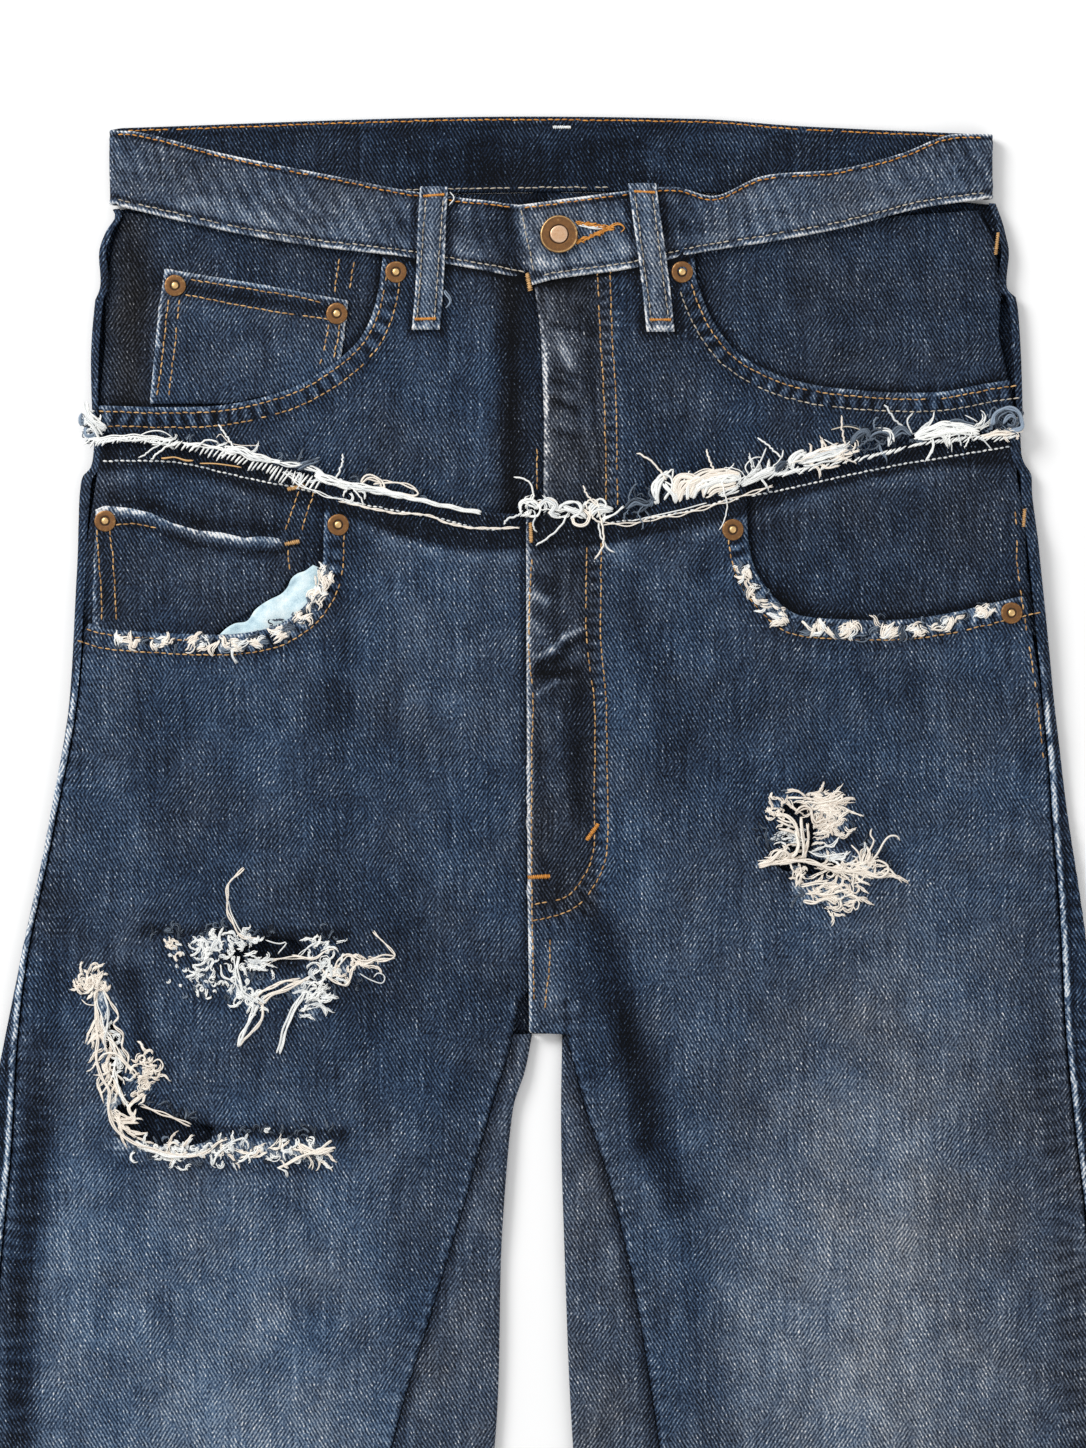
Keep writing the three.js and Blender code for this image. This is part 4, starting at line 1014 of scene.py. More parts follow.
panelPitches = {"edge": 1.4, "fine": 1.5, "plain": 2.6, "far": 6.5}
wallThickness = 1.1
patchOutline = {
    "upperCoin": [
        [-180, 360.5], [-140, 354], [-93.5, 345.5], [-97, 318], [-104, 311.5], [-122, 303],
        [-150, 297], [-187, 297], [-183, 340]],
    "lowerCoin": [
        [-212, 246.3], [-207, 248.6], [-196, 247.6], [-186, 245.3], [-176, 240.4], [-164, 237],
        [-153, 236.2], [-142, 233.6], [-134, 234.4], [-127, 233.6], [-114.7, 228.4],
        [-114.7, 218.6], [-120.8, 215.3], [-126, 207.7], [-137.7, 200.7], [-152.8, 190.8],
        [-160, 184.5], [-214, 187]],
    "bag": [
        [-110, 221], [-114.1, 218], [-117, 217.2], [-120.2, 214.7], [-122, 210.4], [-125.3, 207.1],
        [-130.6, 204.6], [-137.1, 200.1], [-141, 194.6], [-147, 193.4], [-152, 190.2],
        [-156, 184.5], [-135, 184.5], [-117, 192], [-104, 204], [-101, 216]],
    "upperFacingleft": [
        [-211.5, 294], [-176, 293.4], [-151, 294.5], [-122, 301], [-104, 310], [-88, 322],
        [-78, 334], [-72, 348], [-69, 372], [-110, 378], [-151, 384], [-199, 387], [-204, 374],
        [-208, 352], [-208, 325]],
    "upperFacingright": [
        [218.5, 300], [187, 298], [164, 297], [141, 299], [122, 302], [104, 308], [86, 319],
        [73, 335], [65, 353], [62, 372], [107, 378], [141, 384], [203, 388], [211, 374],
        [214, 350], [212.5, 330], [216, 315]],
    "lowerFacingleft": [
        [-219, 184], [-168, 181], [-140, 183], [-120, 190], [-107, 200], [-98, 215], [-94, 232],
        [-92, 257.3], [-107, 261.3], [-151, 273.5], [-186, 280.5], [-209, 279.4], [-212.5, 256],
        [-217, 227]],
    "lowerFacingright": [
        [231, 188], [187, 188], [137, 186], [112, 190], [97, 203], [90, 220], [88, 240], [87, 260],
        [142, 270], [187, 279.5], [219.5, 281], [221, 262], [225, 240], [226, 218]],
}


def frontOutline(side):
    seamY = mouths["lower" + side.title()][-1][1]
    rows = np.arange(hemY, seamY, 8)
    outer = np.column_stack([lowerSeamX(side, rows), rows])
    mouth = mouths["lower" + side.title()][::-1]
    mouth = mouth[mouth[:, 1] < rawEdge(mouth[:, 0])]
    mouth = mouth[np.abs(mouth[:, 0]) < abs(float(lowerSeamX(side, seamY))) - 0.5]
    ends = [mouth[-1][0], flyEdge(246) + (6 if side == "left" else 0)]
    across = np.linspace(*ends, 30)[1:]
    top = np.column_stack([across, rawEdge(across)])
    if side == "left":
        fly = [[flyEdge(y) + 6, y] for y in (236, 180, 120, 60, 40)] + [[-6, 24], [-13, 16]]
    else:
        fly = [[flyEdge(y), y] for y in (236, 180, 120, 60, 30, 10)] + [[-8.4, 1]]
    down = np.arange(8 if side == "left" else 0, hemY, -8)
    inner = np.column_stack([inseam[side](down), down])
    inner = np.vstack([inner, [[float(inseam[side](hemY)), hemY]]])
    return np.vstack([outer, mouth, top, fly, inner])


def upperOutline(side):
    def bottom(x):
        return rawEdge(x) - 22
    seamY = mouths["upper" + side.title()][-1][1]
    corner = float(upperSeamX(side, 285)) - hands[side] * 2
    mouth = mouths["upper" + side.title()][::-1]
    mouth = mouth[mouth[:, 1] < bandLower[side](mouth[:, 0]) + 5]
    mouth = mouth[np.abs(mouth[:, 0]) < abs(float(upperSeamX(side, seamY))) - 0.5]
    middle = float(upperFlyEdge(352)) + (5 if side == "left" else 0)
    across = np.linspace(mouth[-1][0], middle, 20)[1:]
    top = np.column_stack([across, bandLower[side](across) + 4])
    fly = [[upperFlyEdge(y) + (5 if side == "left" else 0), y] for y in (330, 290, 250)]
    low = np.linspace(float(upperFlyEdge(240)), corner, 20)
    foot = np.column_stack([low, bottom(low)])
    outer = [[corner, 283]] + [[float(upperSeamX(side, y)), y] for y in (290, seamY)]
    return np.vstack([outer, mouth, top, fly, foot])


for side in hands:
    title = side.title()
    seamLine = seamPath(lowerSeamX, side, -200, 279)[::3]
    legLine = np.column_stack([inseam[side](np.arange(-200, 20, 10)), np.arange(-200, 20, 10)])
    mouth = mouths["lower" + title][::5]
    raw = np.column_stack([np.linspace(-214, 224, 40), rawEdge(np.linspace(-214, 224, 40)) - 8])
    fine = [(mouth, 12), (seamLine, 8), (legLine, 7), (raw, 9)]
    if side == "right":
        fine += [(flyTurn["lowerOuter"][::6], 6), (np.array([[4, 240], [6, 60], [0, 0]]), 15)]
    front, area, size = panelMesh(
        "lowerFront" + title, frontOutline(side), holes[side],
        lambda x, y: lowerCloth(x, y, side), fine, panelPitches)
    thicken(front, wallThickness)
    settle(front, ["lower_front_" + side], denimCloth, size, area)
    mouth = mouths["upper" + title][::5]
    fine = [(mouth, 12), (np.array([[-12, 350], [-12, 250]]), 14),
            (np.array([[14, 350], [20, 250]]), 18), (raw, 6)]
    front, area, size = panelMesh(
        "upperFront" + title, upperOutline(side), [], lambda x, y: upperCloth(x, y, side), fine,
        panelPitches)
    thicken(front, wallThickness)
    settle(front, ["upper_front_" + side], denimCloth, size, area)
    for pair in ("upper", "lower"):
        mouth = mouths[pair + title][::5]
        facing, area, size = panelMesh(
            pair + "Facing" + title, np.array(patchOutline[pair + "Facing" + side], float), [],
            lambda x, y: pieceCloth(x, y, pair + "Facing"), [(mouth, 5), (raw, 6)], panelPitches)
        thicken(facing, 1.0)
        settle(facing, [pair + "_pocket_facing_" + side], denimCloth, size, area)
    print(side, "panels cut")

for name, node, slot, material, on, kind in (
        ("upperCoinPocket", "upper_coin_pocket", "upper_denim", denimCloth,
         "upper_pocket_facing_left", "upperCoin"),
        ("lowerCoinPocket", "lower_coin_pocket", "lower_denim", denimCloth,
         "lower_pocket_facing_left", "lowerCoin"),
        ("lowerPocketBag", "lower_pocket_bag_left", "bag_cotton", bagCotton,
         "lower_pocket_facing_left", "bag")):
    outline = curve(patchOutline[kind] + patchOutline[kind][:1], 1.5)[:-1] if kind == "bag" else (
        np.array(patchOutline[kind], float))
    patch, area, size = panelMesh(name, outline, [], lambda x, y: pieceCloth(x, y, kind),
                                  [(outline[::2], 8)], panelPitches)
    thicken(patch, 0.8)
    settle(patch, [node], material, size, area)
print("pockets cut")


# Backs and yokes, which come round the side folds and the inner folds to lie on top

def wallPoints(side, rows, level, backLevel, outer, seamX, ends, inner, steps):
    # Rows of points from the seam on top, round the outer fold, under, and up to the inseam.
    hand = hands[side]
    stack = []
    for y in rows:
        top, low = float(level(y)), float(backLevel(y))
        radius, centre = (top - low) / 2, (top + low) / 2
        out, seam = float(outer(y)), float(seamX(side, y)) + hand * 0.3
        turnX = out - hand * radius
        line = [(x, top, 0, 1) for x in np.linspace(seam, turnX, steps["strip"])[:-1]]
        for angle in np.linspace(math.pi / 2, -math.pi / 2, steps["turn"]):
            line.append((turnX + hand * radius * math.cos(angle),
                         centre + radius * math.sin(angle), hand * math.cos(angle),
                         math.sin(angle)))
        if inner is None:
            line += [(x, low, 0, -1) for x in np.linspace(turnX, ends(y), steps["floor"])[1:]]
        else:
            back = float(inner(y)) + hand * radius
            line += [(x, low, 0, -1) for x in np.linspace(turnX, back, steps["floor"])[1:-1]]
            for angle in np.linspace(-math.pi / 2, math.pi / 2, steps["turn"]):
                line.append((back - hand * radius * math.cos(angle),
                             centre + radius * math.sin(angle), -hand * math.cos(angle),
                             math.sin(angle)))
            line += [(x, top, 0, 1) for x in np.linspace(back, ends(y), steps["strip"])[1:]]
        stack.append([(x, y, z, nx, nz) for x, z, nx, nz in line])
    return np.array(stack)


backSteps = {"strip": 16, "turn": 9, "floor": 14}


def legBackLook(side, wall):
    x, y, z, nx, nz = np.moveaxis(wall, 2, 0)
    onTop = rise(nz, -0.2, 0.9)
    seam = np.abs(x - lowerSeamX(side, y))
    innerSeam = np.abs(x - inseam[side](y))
    innerStrip = (innerSeam < seam) & (y < 20)
    lift = drape(x, y) * onTop
    ripple = waves(y, 9, 3, x, y, 16, 111)
    outerZone = (~innerStrip) * onTop * (1 - 0.9 * rise(y, 150, 195))
    lift += outerZone * (1.0 * bell(seam - 1.8, 1.7) - 0.5 * bell(seam - 5.5, 2.0)
                         + 0.45 * ripple * bell(seam - 9, 5) + 0.2 * ripple * bell(seam - 2, 2))
    lift -= innerStrip * onTop * 0.9 * (1 - rise(innerSeam, 1, 10))
    lift += innerStrip * onTop * 0.4 * softNoise(x, y / 4, 9, 112)
    shade = shadeOf["sideStrip"] + 0.02 * ripple + 0.04 * rise(y, 150, 195)
    # painted highlight on the roped seam ridge, painted shade in the gap beside it, and painted
    # light and shade on the puckers; paler further from the seam and down the leg
    shade += outerZone * (0.09 * bell(seam - 2, 1.6) - 0.12 * bell(seam - 4.6, 1.6)
                          + 0.1 * ripple * bell(seam - 9, 5) + 0.1 * rise(seam, 8, 22)
                          + 0.08 * rise(-y, 40, 400))
    # painted shade on the inner strip next to the inseam, under the front's edge
    strip = 0.39 - 0.2 * (1 - rise(innerSeam, 0, 7)) + 0.03 * softNoise(x, y / 6, 6, 114)
    # painted shade on the underside, which shows through the holes
    shade = np.where(innerStrip, strip, shade) - 0.15 * (1 - rise(nz, -0.7, 0))
    rope = 1 + 0.5 * np.sin((y + 0.6 * x) * 2 * math.pi / 2.6) + 0.6 * softNoise(x, y, 7, 113)
    wear = outerZone * (0.85 * bell(seam - 1.8, 1.4) * rope
                        + 0.25 * bell(z - 5, 4) * bell(nx - hands[side], 0.8))
    grey = np.where(innerStrip, 0.55, 0.1)
    hem = y - hemY
    wear = wear + 0.6 * bell(hem, 2)
    points = np.stack([x + nx * lift, y, np.maximum(z + nz * lift, 0.02)], axis=2)
    return points, {"shade": shade, "wear": wear, "grey": grey}


def upperLevel(y):
    return 7.8 - 1.2 * rise(y, 376, 388)


def hipBackLook(side, wall):
    x, y, z, nx, nz = np.moveaxis(wall, 2, 0)
    onTop = rise(nz, -0.2, 0.9)
    seam = np.abs(x - upperSeamX(side, y))
    lift = drape(x, y) * 0.5 * onTop
    shade = shadeOf["upper"] - 0.04 + 0.04 * softNoise(x, y, 12, 116)
    # painted shade on the underside and along the seam
    shade = shade - 0.12 * (1 - rise(nz, -0.7, 0))
    shade -= 0.12 * bell(seam, 1.2) * onTop
    wear = 0.2 * bell(seam - 1.6, 1.1) * onTop
    points = np.stack([x + nx * lift, y, np.maximum(z + nz * lift, 0.02)], axis=2)
    return points, {"shade": shade, "wear": wear, "grey": 0.2 + 0 * x}


def addBack(name, node, grids, cut):
    parts = []
    for number, (points, looks) in enumerate(grids):
        parts.append(gridMesh(name if number == 0 else name + "Part", points, looks))
    made = parts[0]
    if len(parts) > 1:
        with bpy.context.temp_override(active_object=made, object=made,
                                       selected_objects=parts, selected_editable_objects=parts):
            bpy.ops.object.join()
    hold = bpy.data.meshes[made.data.name]

    work = bmesh.new()
    work.from_mesh(hold)
    bmesh.ops.remove_doubles(work, verts=work.verts, dist=0.02 * mm)
    bmesh.ops.recalc_face_normals(work, faces=work.faces)
    lowest = min(work.faces, key=lambda face: face.calc_center_median().z)
    if lowest.normal.z > 0:
        bmesh.ops.reverse_faces(work, faces=work.faces)
    work.to_mesh(hold)
    work.free()
    area = sum(face.area for face in hold.polygons) / mm / mm
    thicken(made, wallThickness)
    print(name, "cloth", round(area), "square mm")
    settle(made, [node], denimCloth, cut, area)


cutSize = {  # mm across and along of each piece of cloth before it is sewn
    "lowerBack": (340, 1030), "lowerYoke": (236, 98), "upperBack": (226, 92),
    "upperYoke": (226, 86),
}
yokeSeam = {"back": 216, "yoke": 216.05, "top": 284, "lean": 0.14}  # it slants up to the sides
for side in hands:
    hand = hands[side]
    title = side.title()
    legRows = np.r_[np.linspace(hemY, viewFoot, 58), np.linspace(viewFoot + 4, 0, 52)]
    hipRows = np.linspace(0, yokeSeam["back"], 54)
    leg = wallPoints(side, legRows, lowerLevel, lowerBackLevel, lowerOuter[side], lowerSeamX,
                     lambda y: float(inseam[side](y)) - hand * 0.3, lowerInner[side], backSteps)
    hip = wallPoints(side, hipRows, hipLevel(side), lowerBackLevel, lowerOuter[side], lowerSeamX,
                     lambda y: hand * 0.15, None, backSteps)
    hip[:, :, 1] += yokeSeam["lean"] * np.abs(hip[:, :, 0]) * rise(
        hip[:, :, 1], 150, yokeSeam["back"])
    hipLook = legBackLook(side, hip)
    addBack("lowerBack" + title, "lower_back_" + side,
            [legBackLook(side, leg), hipLook], cutSize["lowerBack"])
    yokeRows = np.linspace(yokeSeam["yoke"], yokeSeam["top"], 18)
    yoke = wallPoints(side, yokeRows, hipLevel(side), lowerBackLevel, lowerOuter[side], lowerSeamX,
                      lambda y: hand * 0.15, None, backSteps)
    yoke[:, :, 1] += yokeSeam["lean"] * np.abs(yoke[:, :, 0]) * (
        1 - rise(yoke[:, :, 1], yokeSeam["yoke"], yokeSeam["top"]))
    addBack("lowerYoke" + title, "lower_yoke_" + side, [legBackLook(side, yoke)],
            cutSize["lowerYoke"])
    for name, start, end, leanA, leanB, node in (
            ("upperBack", 286, 311.9, 0, 0.16, "upper_back_"),
            ("upperYoke", 312.05, 389, 0.16, 0, "upper_yoke_")):
        rows = np.linspace(start, end, 22)
        wall = wallPoints(side, rows, upperLevel, upperBackLevel, upperOuter[side], upperSeamX,
                          lambda y: hand * 0.15, None, backSteps)
        shareUp = (wall[:, :, 1] - start) / (end - start)
        across = np.abs(wall[:, :, 0])
        high = bandBackLower(wall[:, :, 0]) - 0.4 - 1.8 * rise(across, 188, 198) - end
        wall[:, :, 1] += across * (leanA * (1 - shareUp) + leanB * shareUp)
        if node == "upper_yoke_":
            wall[:, :, 1] += high * shareUp
        addBack(name + title, node + side, [hipBackLook(side, wall)],
                cutSize[name])
print("backs laid")


# Waistband and belt loops: closed strips with rounded edges

def stripSection(faces, backs, edge):  # [share across, share of the thickness] round a strip
    rounding = [(0.0, 0.5), (0.12 * edge, 0.24), (0.45 * edge, 0.07), (edge, 0.0)]
    front = rounding + [(t, 0.0) for t in np.linspace(edge * 2, 1 - edge * 2, faces)]
    front += [(1 - t, depth) for t, depth in reversed(rounding)]
    back = [(1 - 0.12 * edge, 0.76), (1 - edge, 1.0)]
    back += [(t, 1.0) for t in np.linspace(1 - edge * 2, edge * 2, backs)]
    return np.array(front + back + [(edge, 1.0), (0.12 * edge, 0.76)])


def strip(name, edgeA, edgeB, normals, thickness, section, look):
    t, depth = section[:, 0][None, :, None], section[:, 1][None, :]
    points = edgeA[:, None] * (1 - t) + edgeB[:, None] * t
    lift, looks = look(points, section[:, 0][None, :] + 0 * points[..., 0],
                       depth + 0 * points[..., 0])
    points = points + normals[:, None] * (lift - depth * thickness)[..., None]
    return gridMesh(name, points, looks, closed=True)


bandSize = {"thickness": 2.6, "frontZ": 9.2, "backZ": 1.3, "left": -206, "right": 210,
            "cut": (834, 40), "sewn": (834, 37)}


def bandLift(x, y, side):
    low = y - bandLower[side](x)
    high = bandUpper[side](x) - y
    ripple = waves(x + 0.5 * y, 8.4, 4.5, x, y, 22, 121)
    ripple = ripple * (0.6 + 0.6 * softNoise(x, y, 26, 129))
    lift = 0.3 * ripple * bell(low - 6, 6) + 0.2 * ripple * bell(high - 4, 4)
    lift += 0.3 * softNoise(x, y, 24, 122) + 0.22 * softNoise(x, y, 8, 123)
    lift -= 0.3 * bell(high - 1.9, 0.7) + 0.36 * bell(low - 3.0, 0.8) - 0.35 * bell(low - 1.2, 1.0)
    return lift, ripple


def bandLook(points, t, depth):
    x, y = points[..., 0], points[..., 1]
    front = np.where(points[..., 2] > 5, 1.0, 0.0) * (depth < 0.6)
    onLeft = x < -5
    (liftA, rippleA), (liftB, rippleB) = (bandLift(x, y, side) for side in hands)
    lift, ripple = np.where(onLeft, liftA, liftB) * front, np.where(onLeft, rippleA, rippleB)
    # the lower part is paler; the ripple term is painted light and shade
    shade = shadeOf["band"] - 0.03 + 0.08 * (1 - rise(t, 0.2, 0.45)) + 0.07 * ripple * front
    shade = shade + 0.05 * softNoise(x, y, 14, 124) + 0.05 * softNoise(x / 6, y, 3, 125)
    # painted shade in the stitch grooves near the lower and upper edges
    shade -= 0.28 * bell(t - 0.105, 0.032) + 0.24 * bell(t - 0.925, 0.028)
    # worn pale patches on the tab, painted shadows beside the belt loops, and painted shade where
    # the left end runs under the tab
    shade += marks(x, y, [
        [-200, 402, -120, 398, 12, -0.03], [18, 366, 40, 370, 8, 0.08],
        [-3, 384, -2, 362, 4, 0.12], [20, 392, 38, 394, 5, -0.1], [2, 358, 34, 363, 3, 0.08],
        [150, 400, 200, 410, 14, -0.02], [-30, 386, -26, 362, 7, -0.16],
        [-20, 388, -16, 360, 6, -0.22], [-44, 392, -40, 368, 5, -0.05],
        [-61.4, 394, -62.4, 366, 1.8, -0.24], [-44.8, 396, -46.2, 364, 2.6, -0.3],
        [37.8, 398, 41.2, 362, 2.0, -0.26], [53.6, 396, 57.6, 368, 2.6, -0.3],
        [-5, 364, 2, 362, 3.4, 0.22], [-13, 390, -8.6, 362, 2.2, 0.16],
        [-12, 389, 20, 394, 1.6, 0.08], [-74, 396, -70, 368, 6, -0.06],
        [62, 398, 66, 370, 5, -0.08], [-130, 396, -90, 384, 5, 0.06],
        [100, 392, 150, 398, 6, 0.05], [-180, 396, -150, 390, 5, 0.05]]) * front
    inner = shadeOf["bandInside"] + 0.05 * softNoise(x / 3, y, 6, 126)
    smudge = rise(x, -40, -37) * (1 - rise(x, 45, 48)) * rise(y, 399, 401) * (1 - rise(y, 421, 424))
    inner = inner - 0.09 * smudge + 0.06 * softNoise(x, y, 30, 127)
    for seamX in (-152, -89, 128):
        inner = inner - 0.08 * bell(x - seamX, 0.8) + 0.07 * bell(x - seamX - 2, 1.0)
    inner = inner + 0.06 * bell(t - 0.93, 0.03) - 0.08 * bell(t - 0.87, 0.03)
    shade = np.where(front > 0, shade, inner)
    tab = np.maximum(x + 14 - (390 - y) * 0.2, 0) + 99 * onLeft
    wear = front * (0.75 * bell(t - 1, 0.035) + 0.7 * bell(t - 0.01, 0.03))
    wear = wear * (1 + 0.7 * softNoise(x, y, 7, 128)) + 0.65 * bell(tab - 0.4, 1.7) * front
    wear += 0.14 * np.clip(ripple, 0, 1) * front + (1 - front) * 0.3 * bell(t - 1, 0.025)
    return lift, {"shade": shade, "wear": wear, "grey": np.where(front > 0, 0.5, 0.1)}


def bandStations():
    radius = (bandSize["frontZ"] - bandSize["backZ"]) / 2
    centre = (bandSize["frontZ"] + bandSize["backZ"]) / 2
    rows = []
    for x in np.arange(-1, bandSize["left"] + radius, -1.6):
        dip = 2.5 * float(rise(x, -24, -12))
        slant = -7 * float(rise(x, -34, -8))
        rows.append((x, float(bandLower["left"](x)), x + slant,
                     float(bandUpper["left"](min(x + slant, -14))), bandSize["frontZ"] - dip, 0, 1))

    def turn(side, shares):
        hand, edge = hands[side], bandSize[side]
        for share in shares:
            angle = math.pi * (0.5 - share)
            x = edge - hand * radius + hand * math.cos(angle) * radius
            low = float(bandLower[side](edge)) * (1 - share) + float(bandBackLower(edge)) * share
            high = float(bandUpper[side](edge)) * (1 - share) + float(bandBackUpper(edge)) * share
            rows.append((x, low, x, high, centre + math.sin(angle) * radius,
                         hand * math.cos(angle), math.sin(angle)))

    turn("left", np.linspace(0, 1, 13))
    for x in np.linspace(bandSize["left"] + radius + 2, bandSize["right"] - radius - 2, 230):
        rows.append((x, float(bandBackLower(x)), x, float(bandBackUpper(x)), bandSize["backZ"],
                     0, -1))
    turn("right", np.linspace(1, 0, 13))
    for x in np.arange(bandSize["right"] - radius - 1.6, -7, -1.6):
        slant = -7 * (1 - float(rise(x, -6, 20)))
        rows.append((x, float(bandLower["right"](x)), x + slant,
                     float(bandUpper["right"](max(x + slant, -14))), bandSize["frontZ"], 0, 1))
    rows.append((-7, float(bandLower["right"](-7)), -14, 390.0, bandSize["frontZ"] - 0.3, 0, 1))
    return np.array(rows)


stations = bandStations()
lowLine, highLine = stations[:, [0, 1, 4]], stations[:, [2, 3, 4]]
band = strip("waistbandCloth", lowLine, highLine,
             np.column_stack([stations[:, 5], 0 * stations[:, 5], stations[:, 6]]),
             bandSize["thickness"], stripSection(24, 22, 0.02), bandLook)
settle(band, ["waistband"], denimCloth, bandSize["cut"],
       math.prod(bandSize["sewn"]))

loopSize = {"width": 13.2, "thickness": 1.6, "overBand": 11.1, "overPanel": 9.7,
            "cut": (13.4, 70), "sewn": (13.4, 69)}
frontLoops = {"left": [[-52.6, 398.5], [-57, 331.5]], "right": [[45.1, 400], [53.3, 330.5]]}


def loopLook(points, t, depth):
    x, y = points[..., 0], points[..., 1]
    middle = np.abs(t - 0.5)
    ripple = waves(y, 5.2, 3, x, y, 9, 131)
    lift = 0.5 * bell(middle, 0.2) + 0.3 * ripple * bell(middle - 0.42, 0.09)
    lift = (lift - 0.4 * bell(middle - 0.3, 0.04) + 0.3 * softNoise(x, y, 9, 132)) * (depth < 0.6)
    # painted light and shade on the edge puckers, a painted highlight down the rounded middle, and
    # painted shade in the stitch grooves and on the underside
    shade = 0.47 + 0.09 * softNoise(x, y, 6, 133) + 0.1 * ripple * bell(middle - 0.42, 0.09)
    shade = shade + 0.06 * bell(middle, 0.14) - 0.14 * bell(middle - 0.3, 0.05)
    shade = shade - 0.2 * (depth > 0.6)
    wear = 0.55 * bell(middle - 0.47, 0.05) * (1 + 0.8 * softNoise(x, y, 5, 134))
    wear = wear + 0.5 * (1 - rise(y, 332, 335)) + 0.12 * np.clip(softNoise(x, y, 5, 135), 0, 1)
    return lift, {"shade": shade, "wear": wear, "grey": 0.5 + 0 * x}


def loopBow(y, rests):  # a loop steps up onto the waistband, which rests there, and bows out
    step = loopSize["overBand"] - loopSize["overPanel"]
    return (loopSize["overPanel"] + step * rise(y, rests - 6, rests + 3)
            + 0.7 * bell(y - rests - 20, 9))


for side, (top, foot) in frontLoops.items():
    share = np.linspace(0, 1, 56)
    x = foot[0] + (top[0] - foot[0]) * share + 0.4 * np.sin(share * 5)
    y = foot[1] + (top[1] - foot[1]) * share
    rests = float(bandLower[side](np.mean([top[0], foot[0]])))
    z = loopBow(y, rests) - 0.5 * (1 - rise(share, 0, 0.03)) - 0.5 * rise(share, 0.97, 1)
    half = loopSize["width"] / 2
    left, right = np.column_stack([x - half, y, z]), np.column_stack([x + half, y, z])
    up = np.tile([0.0, 0.0, 1.0], (len(share), 1))
    loop = strip("beltLoop" + side.title(), left, right, up, loopSize["thickness"],
                 stripSection(16, 6, 0.05), loopLook)
    settle(loop, ["belt_loop_front_" + side], denimCloth, loopSize["cut"],
           math.prod(loopSize["sewn"]))
print("waistband and loops laid")

for node in ("belt_loop_back_left", "belt_loop_back_center", "belt_loop_back_right",
             "lower_back_pocket_left", "lower_back_pocket_right"):
    for place in bpy.data.objects[node].material_slots:
        place.material = hiddenCloth


# Rivets and button

rivetShape = {  # radius, height and how dark the old brass is there
    "profile": [
        [5.0, 0.0, 0.9], [5.08, 0.5, 0.7], [4.85, 0.86, 0.34], [4.3, 0.98, 0.44], [3.4, 1.0, 0.5],
        [2.6, 0.96, 0.56], [2.3, 0.8, 0.9], [2.05, 0.66, 1.0], [1.8, 0.8, 0.8], [1.62, 1.25, 0.2],
        [1.3, 1.55, 0.0], [0.7, 1.68, 0.0], [0.0, 1.7, 0.05]],
    "nodes": ["rivet_upper_pocket_left", "rivet_upper_pocket_right", "rivet_upper_coin_left",
              "rivet_upper_coin_right", "rivet_lower_coin_left", "rivet_lower_pocket_left",
              "rivet_lower_pocket_right", "rivet_lower_side_right"],
}
buttonShape = {
    "rim": [
        [8.4, 0.0, 0.95], [8.8, 0.5, 0.8], [8.8, 1.5, 0.4], [8.6, 2.0, 0.16], [8.2, 2.15, 0.2],
        [7.7, 2.0, 0.6], [7.0, 1.98, 0.48], [5.6, 2.0, 0.5], [4.8, 1.98, 0.5], [4.5, 1.8, 0.9],
        [4.3, 1.7, 1.0], [3.9, 1.7, 1.0]],
    "cap": [
        [4.1, 1.6, 0.9], [4.1, 2.2, 0.5], [3.95, 2.55, 0.05], [3.5, 2.66, 0.2], [2.0, 2.7, 0.34],
        [0.0, 2.72, 0.3]],
}


def turned(name, spot, profile, lean, material, replaced, seed):
    fine = curve(profile, 0.16)
    sides = 48
    angles = np.linspace(0, 2 * math.pi, sides, endpoint=False)
    radius, height, hollow = fine[:, 0:1], fine[:, 1:2], fine[:, 2:3]
    wobble = 1 + 0.012 * np.sin(3 * angles + seed)[None, :]
    x, y = radius * np.cos(angles) * wobble, radius * np.sin(angles) * wobble
    z = height + lean * x / 10
    points = np.stack([x + spot[0], y + spot[1], z + spot[2]], axis=2)
    made = gridMesh(name, points, {"hollow": np.repeat(hollow, sides, axis=1)}, closed=True)
    made.data.flip_normals()
    settle(made, replaced, material, None, 0)


for number, node in enumerate(rivetShape["nodes"]):
    low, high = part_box(node)
    spot = (low + high) / 2 / mm - crotch
    turned("rivet" + str(number + 1), (spot.x, spot.y, low.z / mm), rivetShape["profile"],
           0.12 * math.sin(number * 2.1), brass, [node], number)
spot = (buttonSpot["x"], buttonSpot["y"], buttonSpot["z"])
turned("buttonRim", spot, buttonShape["rim"], 0, brass, ["button"], 3)
turned("buttonCap", spot, buttonShape["cap"], 0, pale, [], 5)
print("metal turned")


# Thread: every stitch, tack and loose yarn is a tube of its own

spool = {}  # batches of tubes for each piece and kind of thread


def wind(piece, kind, points, radius, tint):
    points = np.asarray(points, float)
    spool.setdefault((piece, kind), []).append(
        (points, np.broadcast_to(radius, len(points)), np.broadcast_to(tint, len(points))))


